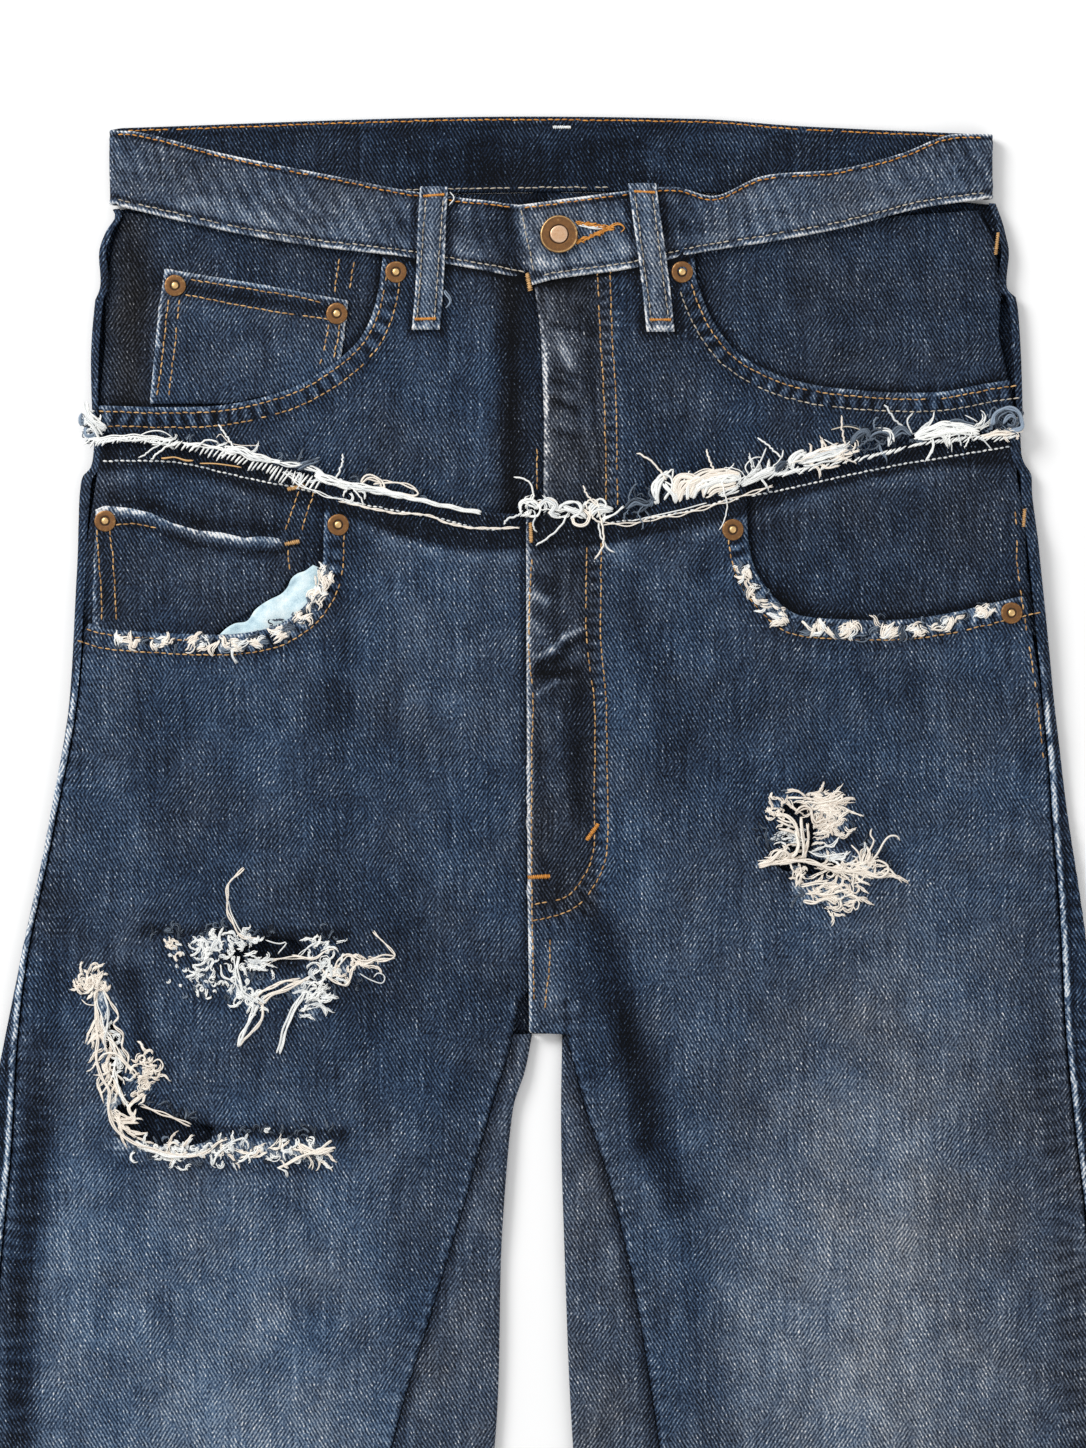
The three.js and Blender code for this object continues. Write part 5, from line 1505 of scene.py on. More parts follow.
def tubes(name, batches, sides):
    points, faces, tints, start = [], [], [], 0
    for paths, radius, tint in batches:
        count, steps = paths.shape[:2]
        run = np.gradient(paths, axis=1)
        run /= np.linalg.norm(run, axis=2, keepdims=True) + 1e-9
        aside = np.cross(run, [0.03, 0.02, 1.0])
        aside /= np.linalg.norm(aside, axis=2, keepdims=True) + 1e-9
        over = np.cross(aside, run)
        taper = np.full(steps, 1.0)
        taper[[0, -1]] = 0.5
        angles = np.linspace(0, 2 * math.pi, sides, endpoint=False)
        size = (radius[:, None] * taper)[:, :, None, None]
        ring = paths[:, :, None] + size * (np.cos(angles)[:, None] * aside[:, :, None]
                                           + np.sin(angles)[:, None] * over[:, :, None])
        number = start + np.arange(count * steps * sides).reshape(count, steps, sides)
        near, far = number[:, :-1], number[:, 1:]
        quads = np.stack([near, np.roll(near, -1, axis=2), np.roll(far, -1, axis=2), far], axis=-1)
        faces += quads.reshape(-1, 4).tolist()
        faces += number[:, 0, ::-1].tolist() + number[:, -1].tolist()
        points.append(ring.reshape(-1, 3))
        tints.append(np.repeat(tint, steps * sides))
        start += count * steps * sides
    made = makeObject(name, np.vstack(points), faces)
    paint(made, {"tint": np.concatenate(tints)})
    return made


def topOf(cloth, which):  # how high a cloth lies, for the thread on it
    return lambda x, y: cloth(x, y, which)["height"]


lowerLeftTop, lowerRightTop = topOf(lowerCloth, "left"), topOf(lowerCloth, "right")
upperLeftTop, upperRightTop = topOf(upperCloth, "left"), topOf(upperCloth, "right")


def bandTop(x, y):
    side = "left" if np.mean(x) < -5 else "right"
    return bandSize["frontZ"] + bandLift(x, y, side)[0]


def level(height):
    return lambda x, y: height + 0 * x


stitchShape = [-0.3, 0.02, 0.12, 0.02, -0.3]  # how the ends of a stitch dive into the cloth


def stitch(piece, kind, path, top, seed, length=2.7, gap=0.65, radius=0.33, missing=0.02,
           proud=0.14):
    rng = np.random.default_rng(seed)
    path = evenly(path, 0.5)
    walked = np.r_[0, np.cumsum(np.linalg.norm(np.diff(path, axis=0), axis=1))]
    starts = np.arange(0.3, walked[-1] - length, length + gap)
    starts = starts[rng.random(len(starts)) > missing]
    places = starts[:, None] + np.linspace(0, 1, 5) * length
    drift = rng.normal(0, 0.1, (len(starts), 1))
    drift = drift + rng.normal(0, 0.1, (len(starts), 1)) * np.linspace(-1, 1, 5)
    normal = beside(path, 1) - path
    x = np.interp(places, walked, path[:, 0]) + drift * np.interp(places, walked, normal[:, 0])
    y = np.interp(places, walked, path[:, 1]) + drift * np.interp(places, walked, normal[:, 1])
    z = top(x.ravel(), y.ravel()).reshape(x.shape) + proud + np.array(stitchShape)
    wind(piece, kind, np.stack([x, y, z], axis=2), radius, rng.uniform(0.25, 1, len(starts)))


def tack(piece, kind, x, y, angle, length, width, top, seed):
    # A bar tack: threads side by side across a short bar.
    rng = np.random.default_rng(seed)
    count = int(length / 0.42)
    run = np.array([math.cos(angle), math.sin(angle)])
    cross = np.array([-run[1], run[0]])
    along = (np.arange(count) / (count - 1) - 0.5) * length
    share = np.linspace(-0.5, 0.5, 5)
    wide = width * rng.uniform(0.85, 1.15, count)
    spots = (np.array([x, y]) + along[:, None, None] * run
             + (wide[:, None] * share)[..., None] * cross
             + (0.25 * np.sign(np.arange(count) % 2 - 0.5)[:, None] * share)[..., None] * run)
    z = top(spots[..., 0].ravel(), spots[..., 1].ravel()).reshape(count, 5)
    z = z.mean() * 0.5 + z * 0.5 + 0.35 + np.array(stitchShape) * 1.4
    wind(piece, kind, np.dstack([spots, z]), 0.25, rng.uniform(0.3, 1, count))


def strandAlong(piece, kind, points, top, seed, radius=0.3, lift=0.6, wander=0.25, tint=0.8,
                copies=1):
    # A loose yarn through a few given points, with others beside it.
    rng = np.random.default_rng(seed)
    path = curve(points, 1.1)
    steps = len(path)
    share = np.linspace(0, 1, steps)
    for copy in range(copies):
        phase, swing = rng.uniform(0, 6), rng.uniform(0.5, 1.5)
        side = wander * swing * np.sin(share * steps * 0.55 + phase) + wander * rng.normal(0, 1.3)
        walk = beside(path, 1) - path
        x, y = path[:, 0] + side * walk[:, 0], path[:, 1] + side * walk[:, 1]
        z = top(x, y) + radius + lift * np.sin(share * math.pi) * rng.uniform(0.6, 1.3)
        z = z + 0.3 * wander * np.cos(share * steps * 0.8 + phase)
        wind(piece, kind, np.stack([x, y, z], axis=1)[None], radius * rng.uniform(0.75, 1.1),
             np.clip(tint + rng.normal(0, 0.12), 0, 1))


def fluff(kind, path, spread, count, length, top, seed, lift, radius, lean, curl, tint, steps,
          lock):
    # Short locks of fibres lying side by side, scattered along a path; lock is how many in each.
    rng = np.random.default_rng(seed)
    path = evenly(path, 0.5)
    locks = max(1, round(count / lock))
    spot = path[rng.integers(len(path), size=locks)] + rng.normal(0, spread / 2, (locks, 2))
    heading = rng.uniform(0, 2 * math.pi, locks) if lean is None else rng.normal(lean, 0.4, locks)
    size = length * rng.uniform(0.6, 1.5, locks)
    share = np.linspace(0, 1, steps)
    angle = heading[:, None] + rng.normal(0, curl * 2.4, (locks, 1)) * share
    twist = rng.normal(0, curl * 0.8, (locks, 1))
    angle = angle + twist * np.sin(share * 5 + rng.uniform(0, 6, (locks, 1)))
    x = spot[:, :1] + (np.cos(angle) * size[:, None] / steps).cumsum(axis=1)
    y = spot[:, 1:] + (np.sin(angle) * size[:, None] / steps).cumsum(axis=1)
    rising = rng.uniform(0.2, 1.1, (locks, 1)) * np.sin(np.linspace(0.15, 1, steps) * math.pi * 0.8)
    z = top(x.ravel(), y.ravel()).reshape(x.shape) + radius + lift * rising
    lane = (np.arange(lock) - (lock - 1) / 2)[None, :, None] * radius * 1.7
    lane = lane * (1 - 0.5 * share) + rng.normal(0, radius * 0.5, (locks, lock, steps))
    slip = rng.normal(0, length * 0.12, (locks, lock, 1))
    run, cross = np.cos(angle)[:, None], np.sin(angle)[:, None]
    height = z[:, None] + rng.normal(0, radius * 0.5, (locks, lock, 1)) + 0 * lane
    fibres = np.stack([x[:, None] + slip * run - lane * cross,
                       y[:, None] + slip * cross + lane * run, height], axis=3)
    tints = rng.uniform(*tint, (locks, 1)) + rng.normal(0, 0.14, (locks, lock))
    wind("lower", kind, fibres.reshape(-1, steps, 3), radius * rng.uniform(0.7, 1.2, locks * lock),
         np.clip(tints, 0, 1).ravel())


def lay(kind, width, count, radius, lift, points, seed, top):
    # A combed lock of yarns through a few given points.
    rng = np.random.default_rng(seed)
    path = curve(points, 0.9)
    share = np.linspace(0, 1, len(path))
    walk = beside(path, 1) - path
    fan = 0.35 + 0.65 * np.sin(share * math.pi) ** 0.7
    for lane in np.linspace(-0.5, 0.5, count):
        aside = lane * width * fan + 0.28 * np.sin(share * len(path) * 0.55 + rng.uniform(0, 6))
        aside = aside + rng.normal(0, 0.2)
        x, y = path[:, 0] + aside * walk[:, 0], path[:, 1] + aside * walk[:, 1]
        z = top(x, y) + radius + lift * np.sin(share * math.pi) * (1 - 1.4 * lane * lane)
        ends = slice(rng.integers(0, 3), len(path) - rng.integers(0, 3))
        thick = radius * rng.uniform(0.75, 1.2)
        blue = kind == "blueYarn"
        tint = rng.uniform(0.1, 0.7) if blue else np.clip(0.86 + rng.normal(0, 0.15), 0, 1)
        wind("lower", kind, np.stack([x, y, z], axis=1)[None, ends], thick, tint)


def lineOf(line, start, end, shift=0.0, step=2.0):
    x = np.linspace(start, end, max(3, int(abs(end - start) / step)))
    return np.column_stack([x, line(x) + shift])


# Rows of stitches: piece, thread, cloth under them and their paths
upperLeft, upperRight = mouths["upperLeft"], mouths["upperRight"]
lowerLeft, lowerRight = mouths["lowerLeft"], mouths["lowerRight"]
onSide = {side: seamPath(lowerSeamX, side, viewFoot, 262) for side in hands}
rowsOfStitches = [
    ("upper", "gold", upperLeftTop, [beside(upperLeft, 2.8)[6:], beside(upperLeft, 9.4)[8:]]),
    ("upper", "gold", upperRightTop, [beside(upperRight, -3.1)[14:]]),
    ("upper", "beige", upperRightTop, [beside(upperRight, -8.9)[16:]]),
    ("upper", "gold", upperRightTop, [flyTurn["upperInner"], flyTurn["upperOuter"]]),
    ("upper", "gold", topOf(pieceCloth, "upperCoin"), [
        [-168, 355.3, -144.3, 351.6, -116, 346.9, -103.9, 344],
        [-170.6, 348.3, -149, 344, -125.5, 339.8, -102, 336.5],
        [-178.2, 346.4, -180.2, 326.6, -182.4, 307.8, -183.8, 299],
        [-173, 346.4, -174.8, 326.6, -177.2, 307.8, -178.1, 298.5],
        [-102.6, 334.6, -104.6, 324.3, -107, 314], [-97.4, 334.6, -98.6, 326.6, -100.6, 317]]),
    ("upper", "gold", topOf(pieceCloth, "upperFacing"), [
        [-97.8, 365.7, -100.1, 349.5], [-90.7, 364.2, -93.6, 348.5]]),
    ("lower", "gold", lowerLeftTop, [beside(lowerLeft, 9.6)[22:], beside(lowerLeft, 3.0)[112:]]),
    ("lower", "gold", lowerRightTop, [
        beside(lowerRight, -9.4)[28:], flyTurn["lowerInner"], flyTurn["lowerOuter"][8:],
        curve(pairs([-7.3, 224, -8.2, 204.4, -8.6, 181.9, -6.6, 159.3, -7.2, 133.9, -7.4,
         100.6, -7.2, 77.5, -7, 53.6, -6, 14])), curve(pairs([1.4, 45.1, 0.9, 30.5, -1.4, 10]))]),
    ("lower", "gold", topOf(pieceCloth, "lowerCoin"), [
        [-211.6, 237.8, -210.6, 223.2, -209.6, 209.1, -209.1, 195],
        [-205.4, 237.8, -204, 223.2, -203, 209.1, -202.6, 194.1],
        [-203, 239.8, -193.6, 240.3, -181.4, 238]]),
    ("lower", "gold", topOf(pieceCloth, "lowerFacing"), [
        [-116.6, 256, -120.3, 245.8, -123.6, 236.5], [-109.5, 256, -112.8, 245.8, -116.1, 235]]),
    ("lower", "gold", topOf(pieceCloth, "lowerCoin"), [[-121.7, 228.4, -121.2, 217.5]]),
    ("band", "orange", bandTop, [
        lineOf(bandUpper["left"], -202, -16, -1.9), lineOf(bandUpper["right"], -11, 205, -1.9)]),
    ("band", "beige", bandTop, [
        lineOf(bandLower["left"], -202, -9, 3.0), lineOf(bandLower["right"], -5, 206, 3.0)]),
    ("upper", "gold", upperLeftTop, [[-4.7, 276, -4.7, 255]]),
    ("band", "beige", bandTop, [[-12.2, 388, -6.0, 357]]),
    ("band", "orange", level(3.95), [lineOf(bandBackUpper, -198, 202, -1.7)]),
    ("band", "beige", level(3.95), [lineOf(bandBackLower, -70, 30, 2.0)]),
    ("lowerBand", "cotton", topOf(pieceCloth, "lowerFacing"), [
        curve(pairs([-209, 269.8, -185.6, 269.8, -170.6, 268.8, -153.2, 264.6, -131.6, 259.9,
                     -120.8, 258, -108, 254.6]))]),
    ("lowerBand", "cotton", lowerLeftTop, [
        curve(pairs([-103, 253.3, -83.2, 248.6, -59.7, 244.4, -51.7, 243, -30.1, 237.8,
                     -13.6, 238.3]))]),
    ("lowerBand", "cotton", lowerRightTop, [
        curve(pairs([29.6, 240.6, 45.6, 242.5, 64.9, 245.8, 81.3, 250.5, 92, 252.4]))]),
    ("lowerBand", "cotton", topOf(pieceCloth, "lowerFacing"), [
        curve(pairs([96, 253.4, 118, 258, 141.5, 263.2, 164.5, 267.9, 187.5, 271.7, 218,
         276.8]))]),
]
rowSeed = 200
for piece, kind, top, paths in rowsOfStitches:
    white = kind == "cotton"
    for path in paths:
        stitch(piece, kind, pairs(path), top, rowSeed, length=1.9 if white else 2.8,
               gap=0.8 if white else 0.5, radius=0.46 if white else 0.33,
               missing=0.01 if white else 0.03, proud=0.3 if white else 0.14)
        rowSeed += 1
for side, (top, foot) in frontLoops.items():
    for shift in (-4.1, 4.1):
        line = np.array([[foot[0] + shift, foot[1] + 4], [top[0] + shift, top[1] - 4]])
        rests = float(bandLower[side](line[:, 0].mean()))
        stitch("band", "beige", line, lambda x, y: loopBow(y, rests) + 0.1, int(260 + shift),
               radius=0.28)
stitch("lower", "gold", onSide["right"][::-1][2:18] - [2.2, 0], lowerRightTop, 300,
       missing=0.4)

tacks = [  # piece, thread, x, y, angle, length, width, cloth under it
    ("band", "cotton", 7, 427.4, 0.0, 8, 1.6, level(4.0)),
    ("band", "orange", -53.1, 394.2, 0.08, 9.4, 1.3, level(11.3)),
    ("band", "orange", -57.2, 336.4, 0.03, 9.6, 1.4, level(10.0)),
    ("band", "orange", 45.8, 395.8, -0.05, 9.4, 1.3, level(11.3)),
    ("band", "orange", 53.2, 336.0, 0.0, 9.6, 1.4, level(10.0)),
    ("upper", "gold", -8.6, 354, 1.75, 8, 2.2, upperRightTop),
    ("lower", "gold", -7.6, 236, 1.6, 9, 1.8, lowerRightTop),
    ("lower", "orange", 21.4, 95.4, 0.95, 9, 2.0, lowerRightTop),
    ("lower", "orange", -3.8, 74.3, 0.05, 10, 2.0, lowerRightTop),
    ("lower", "gold", -119.8, 231.4, 0.2, 6.5, 2.0, topOf(pieceCloth, "lowerCoin")),
    ("lower", "gold", -118, 257.5, 0.2, 8, 2.0, topOf(pieceCloth, "lowerFacing")),
    ("upper", "gold", 211.5, 372, 1.45, 10, 1.6, level(7.6)),
    ("lower", "gold", 224, 243, 1.5, 8, 1.6, level(9.6)),
]
for number, (piece, kind, x, y, angle, length, width, top) in enumerate(tacks):
    tack(piece, kind, x, y, angle, length, width, top, 400 + number)

buttonhole = {"eye": [14.0, 377], "tip": [31, 379.3], "wide": 5.4, "threads": 110}
rng = np.random.default_rng(31)
for number in range(buttonhole["threads"]):  # thread worked round the eye and down to the tip
    along = rng.uniform(0, 1)
    sign = rng.choice([-1, 1])
    start, end = np.array(buttonhole["eye"]), np.array(buttonhole["tip"])
    spot = end + (start - end) * (1 - along) + [0, sign * buttonhole["wide"] * (1 - along) ** 0.8]
    spot = spot - [0, sign * rng.uniform(0, 1.6)]
    heading = 0.14 - sign * 0.32 + rng.normal(0, 0.35)
    reach = rng.uniform(1.6, 3.2) * np.array([math.cos(heading), math.sin(heading)])
    path = np.linspace(spot - reach / 2, spot + reach / 2, 5)
    z = bandTop(path[:, 0], path[:, 1]) + 0.3 + 0.3 * rng.random() + np.array(stitchShape)
    wind("band", "orange", np.column_stack([path, z])[None], 0.34, rng.uniform(0.15, 1))
strandAlong("band", "cotton", pairs([15, 381, 20, 379.5, 27, 379.8]), bandTop, 32, lift=0.4,
            copies=3)
strandAlong("band", "orange", pairs([27, 378, 33, 380.6, 36, 379, 34.5, 377.4]), bandTop, 33,
            copies=2)
print("stitches laid")


# Frayed edges and rips: loose yarns, tufts of cotton and serging

def rawTop(x, y):  # the cloth on either side of the raw edge
    return 9.6 + 0 * x + 0.4 * softNoise(x, y, 9, 141) - 1.7 * rise(y - rawEdge(x), 1, 9)


def serge(start, end, reach, lean, spacing, seed, gone):
    # Slanting overlock threads hanging side by side from the raw edge.
    rng = np.random.default_rng(seed)
    x = np.arange(start, end, spacing)
    x = x + rng.normal(0, 0.16, len(x))
    x = x[rng.random(len(x)) > gone]
    share = np.linspace(-1, 0, 5)
    tall = reach * rng.uniform(0.75, 1.15, len(x))
    angle = lean + rng.normal(0, 0.1, len(x))
    px = x[:, None] + share * (tall * np.cos(angle))[:, None]
    py = rawEdge(x)[:, None] + 0.6 + share * (tall * np.sin(angle))[:, None]
    pz = rawTop(px, py) + 0.4 + 0.5 * np.sin(-share * math.pi)
    wind("lower", "cotton", np.stack([px, py, pz], axis=2), rng.uniform(0.36, 0.52, len(x)),
         rng.uniform(0.75, 1, len(x)))


yarns = [  # the cloth under them, then thread, radius, lift, how many abreast, x and y along it
    (lowerLeftTop, [  # the rip across the left thigh
        ("cream", 0.42, 2.0, 2, [-135.5, 45, -142.5, 45.5, -148, 52, -150.5, 60, -150.5, 68.5,
            -148, 74, -142.5, 78.5]),
        ("cotton", 0.3, 1.2, 1, [-141.5, 45.5, -145.5, 51, -148.5, 57.5, -150, 63]),
        ("cotton", 0.4, 1.2, 4, [-145.5, 37, -146, 30, -144.5, 24, -142.5, 19.5, -135.5, 14.5]),
        ("cream", 0.38, 1.2, 4, [-135.5, 14.5, -130.5, 18.5, -124, 21.5, -116, 25, -112, 27]),
        ("cream", 0.36, 1.4, 3, [-138, 17, -131, 21.5, -124, 24.5, -116, 26]),
        ("cotton", 0.42, 1.2, 4, [-136, 14, -140, 6.5, -143, 0.5, -145.5, -5.5]),
        ("cream", 0.4, 1.4, 3, [-134, 14, -134.5, 6.5, -140, 0.5, -145, -5]),
        ("cotton", 0.45, 1.2, 4, [-115, 18, -120.5, 9, -123.5, 0.5, -126, -9]),
        ("cotton", 0.36, 1.0, 3, [-113, 21.5, -118, 13.5, -122, 5.5]),
        ("cotton", 0.3, 1.0, 1, [-132.5, 44.5, -125.5, 43, -122.5, 43.5, -126.5, 38]),
        ("cotton", 0.32, 1.0, 2, [-117, 37, -112, 42, -108.5, 43.5, -114, 45.5]),
        ("cream", 0.34, 0.8, 2, [-120, 37, -109, 36, -104, 39, -99, 41]),
        ("cream", 0.38, 1.2, 2, [-108, 34, -102, 27, -94.5, 23.5, -91.5, 31, -87.5, 34,
            -81.5, 34.5]),
        ("cream", 0.34, 1.4, 2, [-81.5, 34.5, -75, 35, -71, 37.5, -76, 43, -81.5, 49]),
        ("cream", 0.36, 1.0, 3, [-100.5, 28, -98, 34.5, -93.5, 38, -87, 34.5, -77.5, 37,
            -71.5, 37]),
        ("cotton", 0.3, 0.8, 1, [-88, 29, -83, 26, -77.5, 24.5, -76.5, 27.5, -79.5, 29, -81.5, 27]),
        ("cotton", 0.3, 0.8, 3, [-154, 33, -153, 28, -149, 26, -146, 25]),
        ("cream", 0.3, 0.8, 2, [-136, 31, -128, 35, -118, 36, -110, 35]),
    ]),
    (lowerLeftTop, [  # the L-shaped tear below it
        ("cream", 0.34, 0.8, 1, [-219, 16.5, -216.5, 14.5, -211, 14]),
        ("cream", 0.44, 1.6, 2, [-211.5, 22, -212, 13.5, -211.5, 5.5, -211, -2.5, -211.5, -12,
            -209, -19.5, -205.5, -26.5, -205.5, -37.5, -201, -45.5, -193.5, -50.5, -184.5, -53.5,
            -175, -56, -167, -56.5, -160.5, -55, -155, -50.5, -150.5, -48.5]),
        ("cotton", 0.38, 1.4, 2, [-209, 22, -206.5, 12.5, -206.5, 5.5, -208, -1.5, -207.5, -8]),
        ("cream", 0.4, 1.6, 2, [-210, 0.5, -204, -3, -199.5, -11, -194, -17, -192.5, -20]),
        ("cream", 0.42, 2.0, 1, [-211, -11, -207.5, -8.5, -202.5, -8.5, -198, -12.5, -194.5, -17]),
        ("cotton", 0.36, 1.2, 2, [-202.5, -9, -202.5, -20, -199.5, -28, -194.5, -39]),
        ("cream", 0.38, 1.2, 2, [-210.5, 24, -205, 15.5, -201.5, 8.5, -203.5, 5, -199.5, 0.5,
            -199.5, -5.5, -197, -10, -198, -18]),
        ("cotton", 0.32, 1.4, 2, [-213, 18, -210, 6, -205.5, -3, -202.5, -11, -202, -16]),
        ("cream", 0.4, 1.4, 1, [-186, -13.5, -182.5, -11.5, -180.5, -14.5, -183, -17, -186.5, -15]),
        ("cream", 0.42, 1.2, 4, [-189.5, -27.5, -195, -31.5, -197, -34, -194.5, -39.5, -196, -41]),
        ("cream", 0.4, 0.8, 2, [-191, -33, -183.5, -36, -176.5, -38.5, -167.5, -42.5]),
        ("cotton", 0.4, 1.0, 4, [-194, -50.5, -183.5, -55, -173, -57, -163, -55.5]),
        ("cream", 0.42, 1.4, 4, [-126.5, -63, -118, -58.5, -111, -55.5, -99.5, -53]),
        ("cream", 0.4, 1.4, 3, [-117, -50.5, -114.5, -54.5, -107, -55.5, -100.5, -54]),
        ("cream", 0.4, 1.2, 3, [-116, -51.5, -108, -54, -101.5, -49.5]),
        ("cotton", 0.36, 0.9, 2, [-127, -62.5, -122.5, -64, -122.5, -67]),
        ("cream", 0.36, 0.9, 2, [-114, -55.5, -111, -60, -112, -63]),
        ("cotton", 0.36, 0.9, 3, [-157, -61, -154, -55, -147, -50, -143, -48.5]),
    ]),
    (lowerRightTop, [  # the patch worn through the right thigh
        ("cream", 0.4, 0.7, 2, [112.5, 111, 118, 111.5, 124, 111.5]),
        ("cream", 0.44, 1.0, 2, [120.5, 109.5, 124, 110.5, 128.5, 109.5, 133.5, 110.5,
            138.5, 113.5]),
        ("cream", 0.5, 2.0, 2, [116.5, 104, 118.5, 106.5, 121, 107, 123.5, 106, 124.5, 103.5,
            126.5, 99.5, 129.5, 100.5, 133.5, 101.5]),
        ("cream", 0.5, 1.5, 2, [107.5, 103.5, 112.5, 103, 116, 100.5, 117.5, 96.5, 118, 91]),
        ("cream", 0.46, 1.2, 2, [108, 101, 112.5, 99.5, 117, 97.5]),
        ("cream", 0.46, 1.2, 2, [109, 97.5, 113.5, 96.5, 117.5, 94.5]),
        ("cream", 0.5, 2.4, 3, [117.5, 96, 118, 90.5, 117.5, 86, 115, 82.5]),
        ("cream", 0.48, 2.4, 3, [119.5, 102.5, 120, 97.5, 120.5, 91, 121, 86, 120.5, 82]),
        ("cream", 0.46, 2.4, 2, [122.5, 99.5, 123, 93, 122, 88.5, 121.5, 82.5]),
        ("cream", 0.44, 1.2, 2, [99.5, 79.5, 104.5, 81.5, 109, 85, 111, 86, 113.5, 84, 109, 80.5]),
        ("cream", 0.46, 1.2, 3, [99.5, 79.5, 109, 81, 120.5, 82, 127, 80.5, 133.5, 78, 140.5, 77,
            149.5, 76.5, 156, 74.5]),
        ("cream", 0.5, 1.4, 1, [149.5, 76, 156, 74.5, 160, 77, 159.5, 80, 155, 82]),
        ("cream", 0.4, 1.8, 2, [148.5, 80, 146, 86, 143.5, 89.5]),
        ("cream", 0.44, 2.4, 1, [149, 80.5, 151, 86, 153.5, 91.5, 152, 94, 152.5, 97]),
        ("cream", 0.4, 1.8, 2, [149.5, 80, 150.5, 85, 150, 88.5]),
        ("cream", 0.46, 2.6, 1, [151, 80, 155, 85, 158, 90.5, 161, 93.5, 164.5, 93.5, 166, 91.5]),
        ("cotton", 0.36, 0.8, 1, [122.5, 86.5, 128, 84, 134, 84.5, 140.5, 85.5]),
        ("cream", 0.44, 0.8, 2, [119, 70.5, 126, 71, 132.5, 72.5]),
        ("cream", 0.44, 0.8, 2, [120.5, 63, 126, 62, 131.5, 64, 136, 61.5]),
        ("cream", 0.44, 0.8, 2, [126, 66, 134, 66.5, 143, 69]),
        ("cream", 0.44, 0.8, 2, [116.5, 70.5, 117, 75, 119, 77]),
    ]),
    (level(9.6), [  # the raw edge, left of the fly
        ("cotton", 0.5, 1.6, 3, [-218.5, 293.5, -214, 291, -211, 287, -207, 284.5]),
        ("cotton", 0.42, 1.2, 2, [-217, 295, -214.5, 290, -212.5, 285.5]),
    ]),
    (level(9.2), [
        ("blueYarn", 0.5, 1.2, 3, [-218.5, 292, -219.5, 289, -218.5, 286.5, -217, 289,
            -218.5, 291]),
        ("blueYarn", 0.45, 1.2, 3, [-217, 286, -216.5, 281.5, -213, 281, -210, 284]),
    ]),
    (rawTop, [
        ("cotton", 0.3, 1.0, 1, [-193, 280.5, -187, 283, -181, 283.5, -176, 280.5]),
        ("cream", 0.32, 1.0, 1, [-155.5, 280.5, -153.5, 282.5, -149.5, 278.5, -143.5, 277,
            -135, 277]),
        ("cotton", 0.42, 0.7, 2, [-213, 279, -200, 280, -186, 279.5, -177, 277.5]),
        ("cotton", 0.36, 1.0, 2, [-124, 264.5, -118, 259.5, -109, 255, -98.5, 251.5, -86.5, 249]),
        ("cotton", 0.5, 1.0, 4, [-91, 256, -79, 255.5, -64, 252, -49, 248.5, -31, 245]),
        ("cream", 0.42, 1.4, 2, [-81.5, 258.5, -74.5, 260, -62.5, 257, -60.5, 254, -67, 253.5,
            -79, 257.5]),
        ("cream", 0.36, 0.5, 2, [-98.5, 251.5, -86.5, 248.5, -71.5, 245.5, -56.5, 244.5, -47.5, 241,
            -35.5, 238.5, -13, 238.5]),
        ("gold", 0.34, 0.5, 2, [-181, 272, -174, 271.5, -166, 270.5]),
        ("gold", 0.3, 0.5, 1, [-163, 268.5, -153, 268, -143.5, 266.5]),
    ]),
    (rawTop, [  # and right of it
        ("cotton", 0.5, 1.6, 2, [-12.5, 245, -12, 249, -8.5, 251, -3.5, 248.5, -4.5, 244,
            -9, 243.5]),
        ("cream", 0.5, 1.4, 2, [-4.5, 250, 2, 251.5, 4.5, 247.5, 0.5, 245]),
        ("cotton", 0.52, 1.6, 2, [4, 246, 8.5, 250, 14.5, 250, 16, 246, 11, 242.5]),
        ("cream", 0.52, 1.6, 2, [11, 243.5, 12.5, 240, 18.5, 240, 20.5, 244, 16, 247]),
        ("cotton", 0.5, 1.4, 2, [19, 246.5, 25, 251.5, 27.5, 248.5, 23, 243.5]),
        ("cotton", 0.44, 1.4, 2, [25, 242, 31.5, 245, 36, 248.5]),
        ("cream", 0.36, 0.6, 2, [25.5, 240.5, 39.5, 240, 49, 242.5, 62, 244.5, 75, 248, 91, 253,
            106, 258]),
        ("cotton", 0.34, 0.6, 1, [39.5, 241.5, 50.5, 244, 62, 246.5, 75, 250]),
        ("cotton", 0.6, 1.8, 2, [50.5, 251.5, 50, 258, 54, 264, 58.5, 262.5, 59, 256.5, 55.5, 251]),
        ("cotton", 0.5, 1.6, 1, [54, 261, 59, 266, 58.5, 260.5]),
        ("cream", 0.6, 1.8, 2, [61.5, 252.5, 60, 259, 63.5, 262.5, 68, 260.5, 67, 255]),
        ("cotton", 0.6, 1.8, 2, [65.5, 251.5, 66, 258, 71, 262, 75, 259, 73.5, 253]),
        ("cream", 0.6, 1.8, 2, [73.5, 252.5, 73.5, 259.5, 78, 263, 82.5, 259.5, 80.5, 254]),
        ("cotton", 0.56, 1.6, 2, [81.5, 253, 81.5, 260.5, 87, 263.5, 91, 260.5]),
        ("cream", 0.4, 1.6, 1, [68.5, 263.5, 75, 266, 81.5, 264, 84, 259.5]),
        ("cotton", 0.44, 1.8, 1, [95, 262.5, 97.5, 265.5, 101, 271, 103, 276]),
        ("cotton", 0.4, 1.8, 1, [95, 263, 93, 267, 97, 271, 101.5, 271.5]),
        ("cotton", 0.5, 1.6, 2, [115.5, 266, 115.5, 271, 120.5, 272.5, 123, 268.5]),
        ("cream", 0.44, 1.4, 2, [123.5, 267.5, 128.5, 272.5, 135.5, 274, 141.5, 275]),
